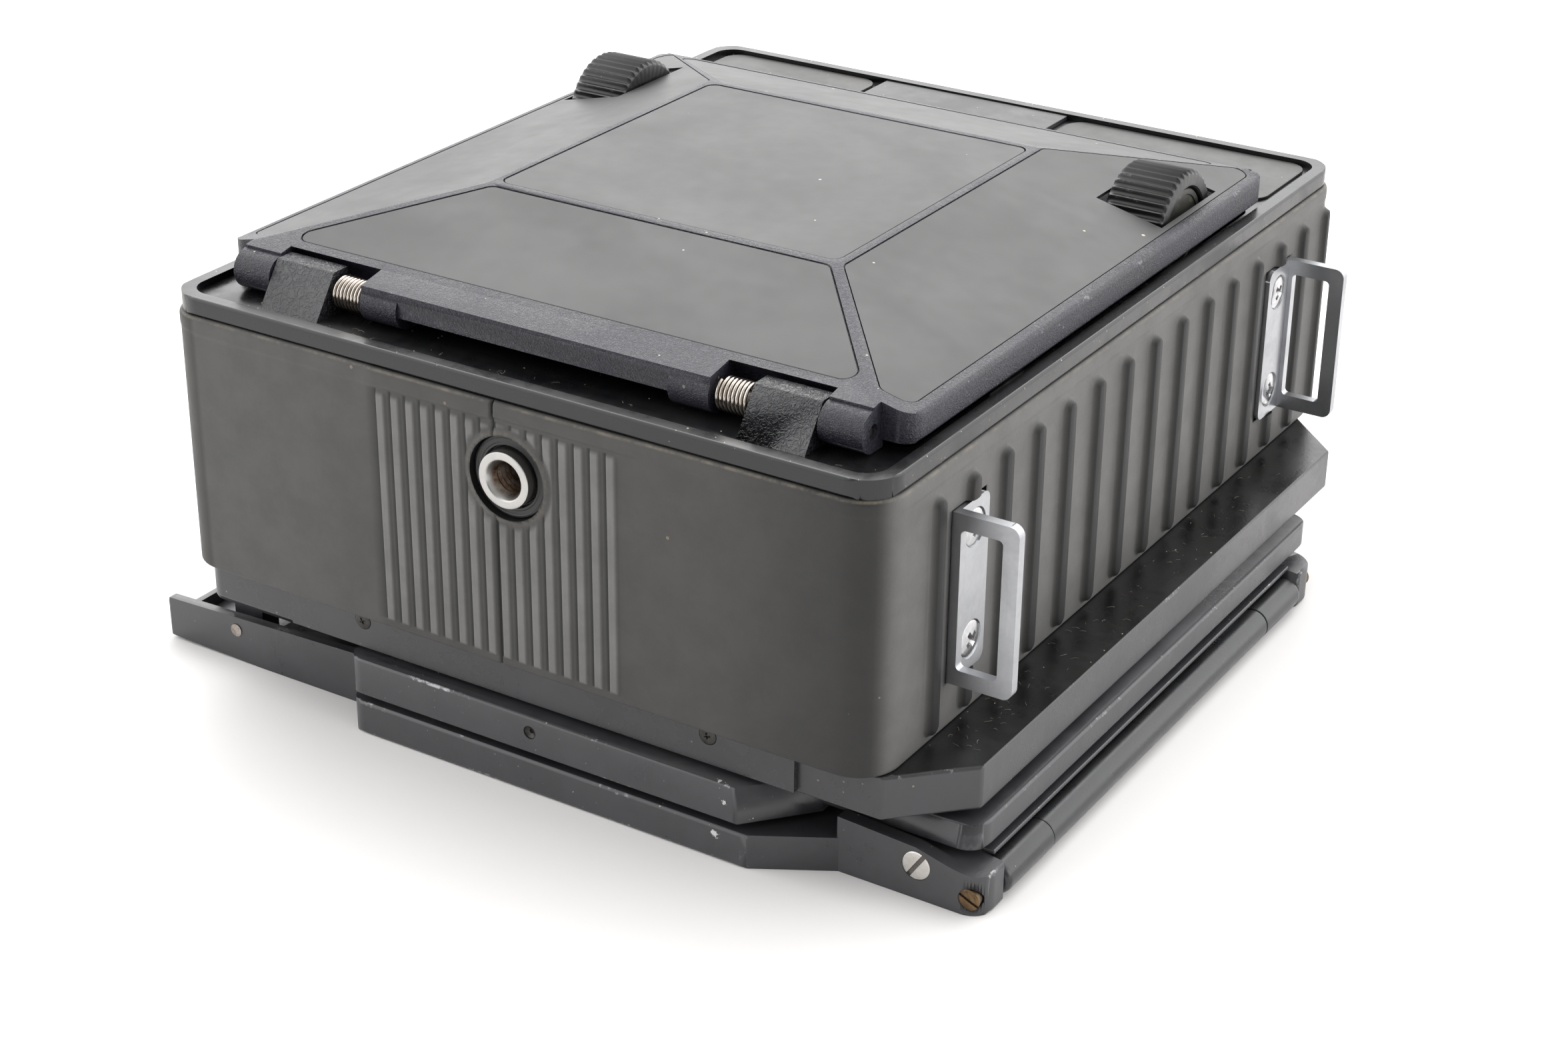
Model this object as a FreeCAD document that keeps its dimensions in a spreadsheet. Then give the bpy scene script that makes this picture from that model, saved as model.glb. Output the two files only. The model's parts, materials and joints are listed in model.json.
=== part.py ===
import FreeCAD, Part
import math
import os
import re
import Sketcher
from FreeCAD import Placement, Rotation, Vector

# Large format field camera, closed and lying on its back.
# +Z points out of the lens door, -Y out of the tripod face, +X out of the strap lug face.
# The origin is below the middle of the bounding box, in the plane that the back rests on.
# Distances called "from the tripod face" run along +Y, and heights called "above the
# casing" run along +Z from the plane where the casing meets the rear frame.

SIZES = {
    # Stack of the back, from the resting plane up
    "glass_depth": (7.7, "depth of the ground glass frame"),
    "back_gap": (1.7, "gap between the ground glass frame and the revolving back"),
    "back_depth": (8.6, "depth of the revolving back at its tabs"),
    "revolve_gap": (0.8, "gap between the revolving back and the rear frame"),
    "rear_depth": (9.6, "depth of the rear frame"),
    # Body
    "body_x": (-2, "middle of the body, from the middle of the back"),
    "body_width": (174, "body over the rubber, X"),
    "body_length": (214, "body over the rubber, Y"),
    "body_corner": (9, "corner radius of the body"),
    "rubber_wall": (2, "thickness of the rubber cover"),
    "rubber_height": (58.5, "height of the rubber cover and the casing"),
    "casing_wall": (2.6, "wall of the casing"),
    "casing_floor": (3, "floor of the casing"),
    "overrun": (1, "how far a cutting shape runs past a face"),
    "part_gap": (0.2, "gap between neighbours that only lie close"),
    "axle_gap": (0.05, "radial running clearance of pins and shafts"),
    "axis_set": (95, "lens axis from the tripod face"),
    # Ribs and treads moulded on the rubber
    "rib_first": (20.6, "first side rib from the tripod face"),
    "rib_pitch": (13.33, "pitch of the side ribs"),
    "rib_half": (2.15, "half width of a side rib"),
    "rib_proud": (1.6, "how far a side rib stands out"),
    "rib_low": (3.7, "lower end centre of a side rib"),
    "rib_high": (50.9, "upper end centre of a side rib"),
    "tread_first": (-30, "first front ridge from the middle"),
    "tread_pitch": (3.75, "pitch of the front ridges"),
    "tread_width": (1.9, "width of a front ridge"),
    "tread_proud": (0.5, "how far a front ridge stands out"),
    "tread_low": (2, "lower end of the front ridges"),
    "tread_high": (55, "upper end of the front ridges"),
    # Tripod socket
    "socket_side": (2.3, "socket axis from the middle of the body"),
    "socket_high": (42.7, "height of the socket axis"),
    "socket_radius": (3.15, "radius of the threaded hole"),
    "socket_depth": (9, "depth of the threaded hole"),
    "bush_radius": (6.1, "radius of the tripod bush"),
    "bush_length": (12, "length of the tripod bush"),
    "bush_proud": (1.5, "how far the bush stands out of the rubber"),
    "boss_radius": (9, "opening in the rubber round the bush"),
    "boss_plate": (1.2, "thickness of the plate round the bush"),
    # Front frame
    "rim_inset": (0.6, "front frame inside the rubber outline"),
    "rim_floor": (60.9, "height of the sunk floor of the front frame"),
    "rim_top": (62.5, "height of the lip of the front frame"),
    "rim_lip": (3.2, "width of the lip"),
    "mouth_half": ("=body_width / 2 - 6.1", "half width of the front opening"),
    "mouth_front": (20.5, "front edge of the opening from the tripod face"),
    "mouth_far": ("=body_length - 37.6", "far edge of the opening from the tripod face"),
    "deck_skin": (0.95, "thickness of the deck over the focusing carriage"),
    "deck_pocket_half": (41, "half width of the pocket under the deck"),
    "deck_pocket_far": ("=body_length - 7.5", "far end of the pocket under the deck"),
    "deck_near": ("=body_length - 33", "near edge of the deck pads"),
    "deck_end": ("=body_length - 4", "far edge of the deck pads"),
    "deck_pad_outer": ("=body_width / 2 - 6", "outer edge of the deck pads from the middle"),
    "deck_pad_left": (36.5, "inner edge of the left deck pad"),
    "deck_pad_right": (19, "inner edge of the right deck pad"),
    "deck_pad_thick": (0.6, "thickness of a deck pad"),
    "deck_pad_corner": (5, "corner radius of a deck pad"),
    "deck_plate_left": (34.5, "left edge of the bare deck plate"),
    "deck_plate_right": (17, "right edge of the bare deck plate"),
    "deck_plate_thick": (1.2, "thickness of the bare deck plate"),
    # Bed hinge
    "hinge_set": (15, "hinge axis from the tripod face"),
    "hinge_high": (65.5, "height of the hinge axis"),
    "hinge_pin": (1.5, "radius of the hinge pins"),
    "barrel_radius": (4.3, "radius of the hinge barrels"),
    "barrel_in": (33, "inner end of the centre barrels from the middle"),
    "barrel_out": (42.3, "outer end of the centre barrels"),
    "lug_in": (51, "inner side of a hinge lug"),
    "lug_out": (66, "outer side of a hinge lug"),
    "lug_foot": (7.2, "front foot of a hinge lug from the tripod face"),
    "lug_brow": (13.5, "front top edge of a hinge lug from the tripod face"),
    "lug_back": (17.8, "back of a hinge lug from the tripod face"),
    "lug_top": ("=hinge_high + 4.4", "height of a hinge lug"),
    "lug_side_gap": (0.4, "side gap between a lug and the outer barrel"),
    "end_barrel": ("=body_width / 2 - 11", "outer end of the outer barrels"),
    "pin_start": (33.5, "inner end of a hinge pin"),
    "pin_end": ("=body_width / 2 - 12", "outer end of a hinge pin"),
    "bar_front": (11.5, "front face of the centre bar from the tripod face"),
    "bar_under": ("=hinge_high - 0.9", "underside of the centre bar"),
    "slot_radius": (6.3, "radius of the slots round the hinge lugs"),
    "coil_radius": (3.1, "mean radius of a hinge spring"),
    "coil_wire": (0.4, "wire radius of a hinge spring"),
    "coil_start": (43.3, "inner end of a hinge spring"),
    "coil_pitch": (1.15, "pitch of a hinge spring"),
    # Bed, the lens door
    "bed_half": ("=body_width / 2 - 4", "half width of the bed"),
    "bed_front": (17.6, "front edge of the bed from the tripod face"),
    "bed_far": ("=body_length - 36", "far edge of the bed from the tripod face"),
    "bed_corner": (4, "corner radius of the bed"),
    "bed_low": ("=hinge_high - 2.4", "lower edge of the bed"),
    "bed_edge": ("=hinge_high + 3.5", "height where the bed's slopes begin"),
    "bed_top": ("=hinge_high + 12.8", "height of the bed's flat top"),
    "bed_wall": (2.6, "side wall of the bed"),
    "bed_skin": (2.5, "skin of the bed under its flat top"),
    "bed_edge_skin": (3, "skin of the bed at its edge"),
    "slope_front": (8, "foot of the front slope from the tripod face"),
    "slope_far": ("=body_length - 33", "foot of the far slope from the tripod face"),
    "flat_half": (43.3, "half width of the flat top"),
    "flat_front": (56.5, "front edge of the flat top from the tripod face"),
    "flat_far": ("=body_length - 72.5", "far edge of the flat top from the tripod face"),
    # Pads let into the bed
    "pad_gap": (0.3, "gap round a bed pad"),
    "pad_sunk": (0.1, "pad surface below the paint"),
    "pad_thick": (0.8, "depth of a pad recess"),
    "pad_corner": (2.5, "corner radius of a bed pad"),
    "centre_half": (42, "half width of the centre pad"),
    "centre_near": (57.9, "near edge of the centre pad"),
    "centre_far": ("=body_length - 74", "far edge of the centre pad"),
    "front_near": (21, "near edge of the front pad"),
    "front_far": (55.2, "far edge of the front pad"),
    "front_wide": ("=body_width / 2 - 17.2", "half width of the front pad at its near edge"),
    "front_narrow": (41.9, "half width of the front pad at its far edge"),
    "far_near": ("=body_length - 70.2", "near edge of the far pad"),
    "far_far": ("=body_length - 39", "far edge of the far pad"),
    "far_wide": ("=body_width / 2 - 11.8", "half width of the far pad at its far edge"),
    "far_narrow": (41.9, "half width of the far pad at its near edge"),
    "side_in": (44.4, "inner edge of a side pad"),
    "side_out": ("=body_width / 2 - 6.8", "outer edge of a side pad"),
    "side_near_in": (56.8, "near inner corner of a side pad"),
    "side_near_out": (21.6, "near outer corner of a side pad"),
    "side_toe": ("=body_width / 2 - 13.4", "inner end of a side pad's near edge"),
    "side_far_in": ("=body_length - 71.4", "far inner corner of a side pad"),
    "side_far_out": ("=body_length - 35.6", "far outer corner of a side pad"),
    # Focusing drive
    "pinion_set": ("=body_length - 68.5", "pinion axis from the tripod face"),
    "pinion_high": ("=hinge_high - 0.8", "height of the pinion axis"),
    "shaft_radius": (2, "radius of the pinion shaft"),
    "shaft_half": ("=body_width / 2 - 10.6", "half length of the pinion shaft"),
    "tooth_size": (0.6, "gear module"),
    "tooth_rise": (0.5, "tooth above the pitch line"),
    "tooth_fall": (0.68, "tooth below the pitch line"),
    "tooth_play": (0.14, "play taken off each tooth"),
    "gear_in": (24.3, "inner side of a pinion gear"),
    "gear_out": (28.7, "outer side of a pinion gear"),
    "rack_in": (24, "inner side of a rack"),
    "rack_out": (29, "outer side of a rack"),
    "knob_in": ("=body_width / 2 - 23.1", "inner side of a focusing knob"),
    "knob_out": ("=body_width / 2 - 8.8", "outer side of a focusing knob"),
    "knob_radius": (13.6, "radius of a focusing knob"),
    "knurl_depth": (0.8, "depth of the knurling"),
    "knob_slot": ("=knob_radius + 0.3", "half length of the knob opening in the bed"),
    "knob_slot_gap": (0.8, "side gap in the knob opening"),
    "cap_radius": (9.4, "radius of a knob cap"),
    "cap_thick": (1, "thickness of a knob cap"),
    "cap_recess": (1.7, "depth of the recess in a knob"),
    "block_in": (43, "inner side of a bearing block"),
    "block_out": (49, "outer side of a bearing block"),
    "block_half": (6, "half length of a bearing block"),
    "block_low": ("=hinge_high - 5.5", "lower face of a bearing block"),
    "block_top": ("=hinge_high + 9", "upper face of a bearing block"),
    # Bed track and carriage
    "track_near": (35, "near end of the bed track"),
    "track_far": ("=body_length - 50", "far end of the bed track"),
    "track_half": (42, "half width of the track plate"),
    "track_plate_low": ("=hinge_high + 1.7", "underside of the track plate"),
    "track_plate_top": ("=hinge_high + 3.5", "top of the track plate"),
    "track_low": ("=hinge_high - 12.1", "lower face of the bed rails"),
    "rail_in": (38.4, "inner face of a rail web"),
    "rail_out": (41.4, "outer face of a rail web"),
    "ledge_in": (34.4, "inner edge of the carrying ledge"),
    "keeper_in": (36, "inner edge of the keeping ledge"),
    "ledge_thick": (1, "thickness of the ledges"),
    "carriage_near": (36, "near end of the carriage"),
    "carriage_far": ("=body_length - 62", "far end of the carriage"),
    "carriage_thick": (2.8, "thickness of the carriage"),
    "post_side": (30, "posts of the track from the middle"),
    "post_radius": (3.5, "radius of a post"),
    # Bed struts
    "strut_set": (60, "strut pivot from the tripod face"),
    "strut_high": ("=hinge_high - 5", "height of the strut pivot"),
    "strut_reach": ("=pinion_set - knob_radius - strut_set - 4.9", "strut from pivot to tip"),
    "strut_half": (4, "half width of a strut"),
    "strut_in": ("=body_width / 2 - 11.4", "inner face of a strut"),
    "strut_thick": (1.6, "thickness of a strut"),
    "strut_pin": (1.5, "radius of a strut pin"),
    "bracket_out": ("=body_width / 2 - 6.8", "outer face of a strut bracket"),
    "bracket_half": (7, "half length of a strut bracket"),
    "bracket_low": ("=hinge_high - 9.5", "lower face of a strut bracket"),
    "bracket_top": ("=hinge_high + 0.5", "upper face of a strut bracket"),
    "guide_in": ("=body_width / 2 - 9.2", "inner face of a strut guide"),
    "guide_near": (38, "near end of a strut guide"),
    "guide_far": ("=body_length - 88", "far end of a strut guide"),
    "guide_low": (44.8, "lower face of a strut guide"),
    "guide_top": (55.4, "upper face of a strut guide"),
    "guide_slot": (2.1, "half height of the slot in a strut guide"),
    "guide_slot_depth": (2, "depth of the slot in a strut guide"),
    # Bed latch
    "catch_in": (50, "inner side of a catch"),
    "catch_out": (56, "outer side of a catch"),
    "catch_near": ("=body_length - 42.6", "near side of a catch"),
    "catch_far": ("=body_length - 40.2", "far side of a catch"),
    "catch_low": ("=hinge_high - 20.5", "lower end of a catch"),
    "catch_top": ("=hinge_high + 0.8", "upper end of a catch"),
    "tongue_tip": ("=body_length - 36.4", "tip of a latch tongue"),
    "tongue_low": (44.5, "lower face of the latch bar"),
    "tongue_top": (49, "upper face of the latch bar"),
    "latch_near": ("=body_length - 8", "near side of the latch bar"),
    "latch_far": ("=body_length - 5.2", "far side of the latch bar"),
    "button_high": (46.7, "height of the latch button"),
    "button_radius": (4.5, "radius of the latch button"),
    "button_proud": (1.5, "how far the latch button stands out"),
    "button_hole": (5.6, "radius of the rubber's opening round the button"),
    # Strap lugs
    "lug_boss": (1.2, "boss of the casing under a strap lug"),
    "strap_plate": (1.8, "thickness of a strap lug's base"),
    "strap_near": (26.6, "outer face of the front loop from the tripod face"),
    "strap_far": ("=body_length - 26.8", "outer face of the far loop from the tripod face"),
    "strap_thick": (2.2, "thickness of a loop"),
    "strap_base": (13.2, "width of a base with its loop"),
    "strap_base_low": (10.4, "lower end of a base"),
    "strap_base_top": (47.4, "upper end of a base"),
    "strap_low": (10.4, "lower edge of a loop"),
    "strap_top": (47.4, "upper edge of a loop"),
    "strap_reach": (15.2, "loop from the boss to its outer edge"),
    "strap_bar": (3.4, "width of a loop's bar"),
    "strap_root": (2.8, "inner edge of the strap slot from the boss"),
    "strap_corner": (2.2, "corner radius of a loop"),
    "screw_low": (16.8, "height of the lower lug screw"),
    "screw_top": (41.2, "height of the upper lug screw"),
    "screw_head": (4.1, "radius of a lug screw's head"),
    "screw_sunk": (1.5, "depth of a lug screw's head"),
    "screw_shank": (1.8, "radius of a lug screw's shank"),
    "screw_length": (3.4, "length of a lug screw's shank"),
    # Rear frame
    "rear_left": ("=body_width / 2 - 2.4", "left edge of the rear frame from the middle"),
    "rear_right": ("=body_width / 2 + 13.4", "right edge of the rear frame from the middle"),
    "rear_bevel": (14.2, "bevel of the rear frame's right corners"),
    "rear_near": (4, "front face of the rear frame from the tripod face"),
    "rear_far": ("=body_length - 9.5", "far face of the rear frame from the tripod face"),
    "rear_corner": (4, "corner radius of the rear frame"),
    "lip_radius": (79, "radius of the lip that carries the back"),
    "lip_depth": (4, "depth of the lip that carries the back"),
    "seat_radius": (81, "radius of the bore over the lip"),
    "strip_left": (59.5, "left end of the cover strip"),
    "strip_right": (67.4, "right end of the cover strip"),
    "strip_thick": (1.2, "thickness of the cover strip"),
    "strip_edge": (0.6, "cover strip inside the rear frame's depth"),
    "strip_screw_left": (39.6, "left screw of the cover strip"),
    "strip_screw_right": (47.4, "right screw of the cover strip"),
    "strip_screw_drop": (2.6, "cover strip screws below the casing"),
    "strip_screw_head": (2, "radius of a cover strip screw"),
    "strip_screw_proud": (0.4, "how far a cover strip screw stands out"),
    # Bellows and front standard
    "gate_half": (60.5, "half width of the film gate"),
    "gate_rise": (48, "half height of the film gate"),
    "light_half": (64, "half width of the casing's rear opening"),
    "light_rise": (52, "half height of the casing's rear opening"),
    "shelf_half": (76, "half width of the bellows' rear frame"),
    "shelf_rise": (64, "half height of the bellows' rear frame"),
    "shelf_thick": (2, "thickness of the bellows' rear frame"),
    "bellows_half": (70, "half width of the bellows at the back"),
    "bellows_rise": (58, "half height of the bellows at the back"),
    "bellows_front": (49, "half width and height of the bellows at the front"),
    "fold_depth": (7, "depth of a bellows fold"),
    "bellows_skin": (1.2, "thickness of the bellows"),
    "bellows_end": (31.4, "front end of the bellows"),
    "panel_half": (51.5, "half size of the lens panel"),
    "panel_low": (31.6, "back of the lens panel"),
    "panel_top": (37, "front of the lens panel"),
    "board_half": (40, "half size of the lens board"),
    "board_thick": (2, "thickness of the lens board"),
    "board_sunk": (1, "lens board sunk into the panel"),
    "board_hole": (17.4, "radius of the shutter hole"),
    "light_trap": (34, "half size of the opening behind the lens board"),
    "arm_in": (54, "inner face of the standard's arms"),
    "arm_out": (58, "outer face of the standard's arms"),
    "arm_low": (33, "back of the standard's arms"),
    "arm_top": (39, "front of the standard's arms"),
    "arm_end": (150, "upper end of the standard's arms"),
    "sill_near": (23.2, "near side of the standard's sill"),
    "sill_far": (31, "far side of the standard's sill"),
    "foot_low": (24, "back of the standard's foot"),
    "foot_top": (46, "front of the standard's foot"),
    "rails_top": (50, "front end of the inner rails"),
    "rails_back": (19.6, "foot's sliding face from the tripod face"),
    "foot_thick": (3.6, "thickness of the standard's foot"),
    "tilt_radius": (5.5, "radius of the standard's knobs"),
    "tilt_length": (7, "length of the standard's knobs"),
    "tilt_stem": (2, "radius of the knobs' stems"),
    "tilt_high": (36, "height of the knobs' axis"),
    "latch_half": (22, "half width of the board latch"),
    "latch_low": (38, "near edge of the board latch from the lens axis"),
    "latch_high": (46.6, "far edge of the board latch from the lens axis"),
    "latch_thick": (2, "thickness of the board latch"),
    "latch_guide": (3, "width of a guide of the board latch"),
    # Revolving back
    "back_left": (94.6, "left edge of the revolving back"),
    "back_right": (102.6, "right edge of the revolving back"),
    "back_near": (13.8, "front edge of the revolving back"),
    "back_far": (176, "far edge of the revolving back"),
    "back_corner": (5, "corner radius of the revolving back"),
    "plate_under": (2, "plate's underside above the tab's underside"),
    "plate_thick": (5.6, "thickness of the revolving back's plate"),
    "tab_left": (42.6, "left end of the tabs"),
    "tab_right": (55.4, "right end of the tabs"),
    "tab_bevel_x": (12, "length of the tabs' bevel"),
    "tab_bevel_y": (14, "depth of the tabs' bevel"),
    "tab_root": (20, "tabs' root from the tripod face"),
    "tab_corner": (4, "corner radius of the tabs"),
    "pad_half": (75, "half width of the raised pad round the gate"),
    "pad_rise": (62, "half height of the raised pad round the gate"),
    "collar_in": (77.4, "inner radius of the collar"),
    "collar_out": (78.9, "outer radius of the collar"),
    "collar_high": (6, "height of the collar over the plate"),
    "ring_in": (76.4, "inner radius of the turntable ring"),
    "ring_out": (80.9, "outer radius of the turntable ring"),
    "ring_thick": (2.6, "thickness of the turntable ring"),
    "ear_half": (4, "half width of a pivot ear"),
    "ear_thick": (5.2, "thickness of a pivot ear"),
    "ear_drop": (7.2, "drop of a pivot ear below the plate"),
    "pivot_side": (82.6, "glass frame pivot from the middle of the body"),
    "pivot_drop": (20.7, "glass frame pivot below the casing"),
    "pivot_pin": (1.5, "radius of the pivot pins"),
    "slide_half": (44, "half length of a lock slide"),
    "slide_near": (52, "inner edge of a lock slide from the lens axis"),
    "slide_far": (58, "outer edge of a lock slide from the lens axis"),
    "slide_thick": (1.8, "thickness of a lock slide"),
    "slide_travel": (6, "travel of a lock slide"),
    # Ground glass frame
    "back_half": (105.1, "half width of the back over its grip rod"),
    "glass_near": (9.5, "front side of the glass frame"),
    "glass_far": (172, "far side of the glass frame"),
    "glass_left": (75, "left edge of the glass frame's plate"),
    "glass_right": (92, "right edge of the glass frame's plate"),
    "bar_right": (57.4, "right end of the front bar"),
    "bar_bevel": (73.8, "foot of the front bar's bevel"),
    "window_half": (59.5, "half width of the viewing window"),
    "window_rise": (47, "half height of the viewing window"),
    "glass_half": (62.3, "half width of the ground glass"),
    "glass_rise": (49.8, "half height of the ground glass"),
    "glass_thick": (2, "thickness of the ground glass"),
    "wing_wall": (2.2, "wall of the left wing"),
    "wing_floor": (2, "floor of the left wing"),
    "wing_right": (44, "right end of the left wing's walls"),
    "wing_high": (12.2, "height of the left wing at its right end"),
    "wing_low": (10.2, "height of the left wing at its left end"),
    "wing_far": (6, "height of the left wing's far wall at its left end"),
    "pivot_boss": (3, "radius of the boss round a pivot pin"),
    "wing_lift": (0.8, "underside of the left wing's end over the floor"),
    "arm_thick": (9, "thickness of the right arms"),
    "arm_cheek": (3.2, "thickness of the raised cheek of an arm"),
    "arm_left": (73.4, "left end of the right arms"),
    "arm_reach": (106.2, "tip of a right arm from the middle"),
    "arm_high": (12.6, "height of an arm at its left end"),
    "arm_mid": (11.6, "height of an arm at its shoulder"),
    "arm_tip": (8.6, "height of an arm at its tip"),
    "arm_back": (9.6, "height of an arm behind its cheek"),
    "arm_shoulder": (91, "shoulder of an arm from the middle"),
    "arm_neck": (99, "neck of an arm from the middle"),
    "arm_corner": (5, "corner radius of an arm in plan"),
    "rod_high": (3.7, "height of the grip rod over the floor"),
    "rod_screw_side": (103, "rod screw from the middle of the body"),
    "rod_radius": (3.7, "radius of the grip rod"),
    "bracket_left": (92.2, "left edge of the rod bracket"),
    "bracket_thick": (1, "thickness of the rod bracket"),
    "bracket_high": (9.2, "underside of the rod bracket over the floor"),
    "arm_screw_side": (91.2, "arm screw from the middle of the body"),
    "arm_screw_high": (7.4, "height of an arm screw over the floor"),
    "arm_screw_radius": (3.1, "radius of an arm screw's head"),
    "rod_screw_radius": (2.3, "radius of a rod screw"),
    "screw_grip": (3, "depth of the arm and rod screws"),
    "clip_half": (4, "half length of a glass clip"),
    "clip_width": (4, "width of a glass clip"),
    "clip_thick": (0.6, "thickness of a glass clip"),
}

TREAD_COUNT = 16
COIL_TURNS = 6
KNURL_COUNT = 38
PINION_TEETH = 18
FOLD_COUNT = 7
PRESSURE_ANGLE = math.radians(20)
SIDES = (-1, 1)
SIDE_NAMES = {-1: "left", 1: "right"}

doc = FreeCAD.newDocument("FieldCamera")
sheet = doc.addObject("Spreadsheet::Sheet", "Sizes")
for row, (alias, (value, note)) in enumerate(SIZES.items(), start=1):
    sheet.set(f"A{row}", note)
    sheet.set(f"B{row}", str(value))
    sheet.setAlias(f"B{row}", alias)
doc.recompute()

NODES = []
TURNS = {
    "X": Rotation(Vector(0, 1, 0), 90),
    "Y": Rotation(Vector(1, 0, 0), -90),
    "Z": Rotation(),
}

# Named planes and places, as formulas on the sheet
CASING = "(glass_depth + back_gap + back_depth + revolve_gap + rear_depth)"
LEFT_FACE = "(body_x - body_width / 2)"
RIGHT_FACE = "(body_x + body_width / 2)"
FRONT_FACE = "(0 - body_length / 2)"
FAR_FACE = "(body_length / 2)"
LUG_SEAT = f"({RIGHT_FACE} - rubber_wall + lug_boss)"
BACK_LOW = "(glass_depth + back_gap)"
PLATE_LOW = f"({BACK_LOW} + plate_under)"
PLATE_TOP = f"({PLATE_LOW} + plate_thick)"
AXIS_Y = f"({FRONT_FACE} + axis_set)"
CARRIAGE_LOW = "(track_low + ledge_thick + part_gap)"
CARRIAGE_TOP = f"({CARRIAGE_LOW} + carriage_thick)"
ROD_X = "(back_half - rod_radius)"


def formula(text):
    """Point every name of the sheet in a formula to its cell."""
    def point(match):
        word = match.group()
        return f"Sizes.{word}" if word in SIZES else word
    return re.sub(r"[a-z][a-z_]*", point, str(text))


def size(alias):
    """Read one driving dimension from the sheet."""
    return float(sheet.get(alias))


def bind(item, prop, text):
    item.setExpression(prop, formula(text))


def high(text):
    """Height above the casing's rear plane, as a formula."""
    return f"({CASING} + ({text}))"


def deep(text):
    """Distance from the tripod face, as a formula."""
    return f"({FRONT_FACE} + ({text}))"


def across(side, text):
    """Distance from the middle of the body to one side, as a formula."""
    return f"(body_x + {side} * ({text}))"


def span(side, inner, outer):
    """Low and high X of a piece between two distances on one side."""
    ends = (across(side, inner), across(side, outer))
    return ends if side > 0 else ends[::-1]


def centred(half):
    return (across(-1, half), across(1, half))


def round_axis(half):
    """Low and high Y of a piece centred on the lens axis."""
    return (f"{AXIS_Y} - ({half})", f"{AXIS_Y} + ({half})")


def block(name, xs, ys, zs):
    """A box between two formulas on each axis."""
    item = doc.addObject("Part::Box", name)
    for prop, letter, (low, top) in zip(("Length", "Width", "Height"), "xyz", (xs, ys, zs)):
        bind(item, prop, f"({top}) - ({low})")
        bind(item, "Placement.Base." + letter, low)
    return item


def rod(name, axis, radius, low, top, other):
    """A cylinder along one axis between two formulas; other gives its two remaining places."""
    item = doc.addObject("Part::Cylinder", name)
    item.Placement = Placement(Vector(), TURNS[axis])
    bind(item, "Radius", radius)
    bind(item, "Height", f"({top}) - ({low})")
    places = list(other)
    places.insert("XYZ".index(axis), low)
    for letter, text in zip("xyz", places):
        bind(item, "Placement.Base." + letter, text)
    return item


def prism(name, plane, outline, low, top, rounds=None):
    """A pad of a polygon whose points are formulas; rounds maps a corner to its radius."""
    body = doc.addObject("PartDesign::Body", name)
    sketch = body.newObject("Sketcher::SketchObject", name + "_outline")
    planes = body.Origin.OriginFeatures
    sketch.AttachmentSupport = (next(p for p in planes if p.Role == plane + "_Plane"), [""])
    sketch.MapMode = "FlatFace"
    count = len(outline)
    start = [Vector(50 * math.cos(2 * math.pi * k / count), 50 * math.sin(2 * math.pi * k / count), 0)
             for k in range(count)]
    for k in range(count):
        sketch.addGeometry(Part.LineSegment(start[k], start[(k + 1) % count]), False)
    for k in range(count):
        sketch.addConstraint(Sketcher.Constraint("Coincident", k, 2, (k + 1) % count, 1))
    for k, point in enumerate(outline):
        for kind, text, first in zip(("DistanceX", "DistanceY"), point, start[k]):
            place = sketch.addConstraint(Sketcher.Constraint(kind, -1, 1, k, 1, first))
            bind(sketch, f"Constraints[{place}]", text)
    flip = "-1 * " if plane == "XZ" else ""
    bind(sketch, "AttachmentOffset.Base.z", f"{flip}({low})")
    pad = body.newObject("PartDesign::Pad", name + "_pad")
    pad.Profile = sketch
    pad.Reversed = plane == "XZ"
    bind(pad, "Length", f"({top}) - ({low})")
    doc.recompute()
    for radius in sorted(set((rounds or {}).values())):
        corners = [k for k, text in rounds.items() if text == radius]
        round_corners(body, sketch, corners, radius)
    return body


def round_corners(body, sketch, corners, radius):
    """Fillet the pad's edges that stand on the given corners of its sketch."""
    shape = body.Tip.Shape
    turn = sketch.Placement
    normal = turn.Rotation.multVec(Vector(0, 0, 1))
    spots = [turn.multVec(sketch.Geometry[k].StartPoint) for k in corners]
    names = []
    for index, edge in enumerate(shape.Edges, start=1):
        ends = [vertex.Point for vertex in edge.Vertexes]
        if len(ends) < 2 or (ends[1] - ends[0]).normalize().cross(normal).Length > 1e-6:
            continue
        if any((spot - ends[0]).cross(normal).Length < 1e-4 for spot in spots):
            names.append(f"Edge{index}")
    fillet = body.newObject("PartDesign::Fillet", f"{body.Name}_round")
    fillet.Base = (body.Tip if body.Tip != fillet else fillet.BaseFeature, names)
    bind(fillet, "Radius", radius)
    body.Tip = fillet
    doc.recompute()


def rounded(name, xs, ys, zs, radius):
    """A box whose four upright edges are rounded."""
    outline = [(xs[0], ys[0]), (xs[1], ys[0]), (xs[1], ys[1]), (xs[0], ys[1])]
    return prism(name, "XY", outline, zs[0], zs[1], {k: radius for k in range(4)})


def wedge(name, foot_xs, foot_ys, top_xs, top_ys, low, top):
    """A frustum from one rectangle to another; its own Y axis is stood along +Z."""
    item = doc.addObject("Part::Wedge", name)
    item.Placement = Placement(Vector(), Rotation(Vector(1, 0, 0), 90))
    for prop, text in (("Xmin", foot_xs[0]), ("Xmax", foot_xs[1]), ("X2min", top_xs[0]), ("X2max", top_xs[1]),
                       ("Ymin", "0"), ("Ymax", f"({top}) - ({low})"),
                       ("Zmin", f"0 - ({foot_ys[1]})"), ("Zmax", f"0 - ({foot_ys[0]})"),
                       ("Z2min", f"0 - ({top_ys[1]})"), ("Z2max", f"0 - ({top_ys[0]})")):
        bind(item, prop, text)
    bind(item, "Placement.Base.z", low)
    return item


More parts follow.
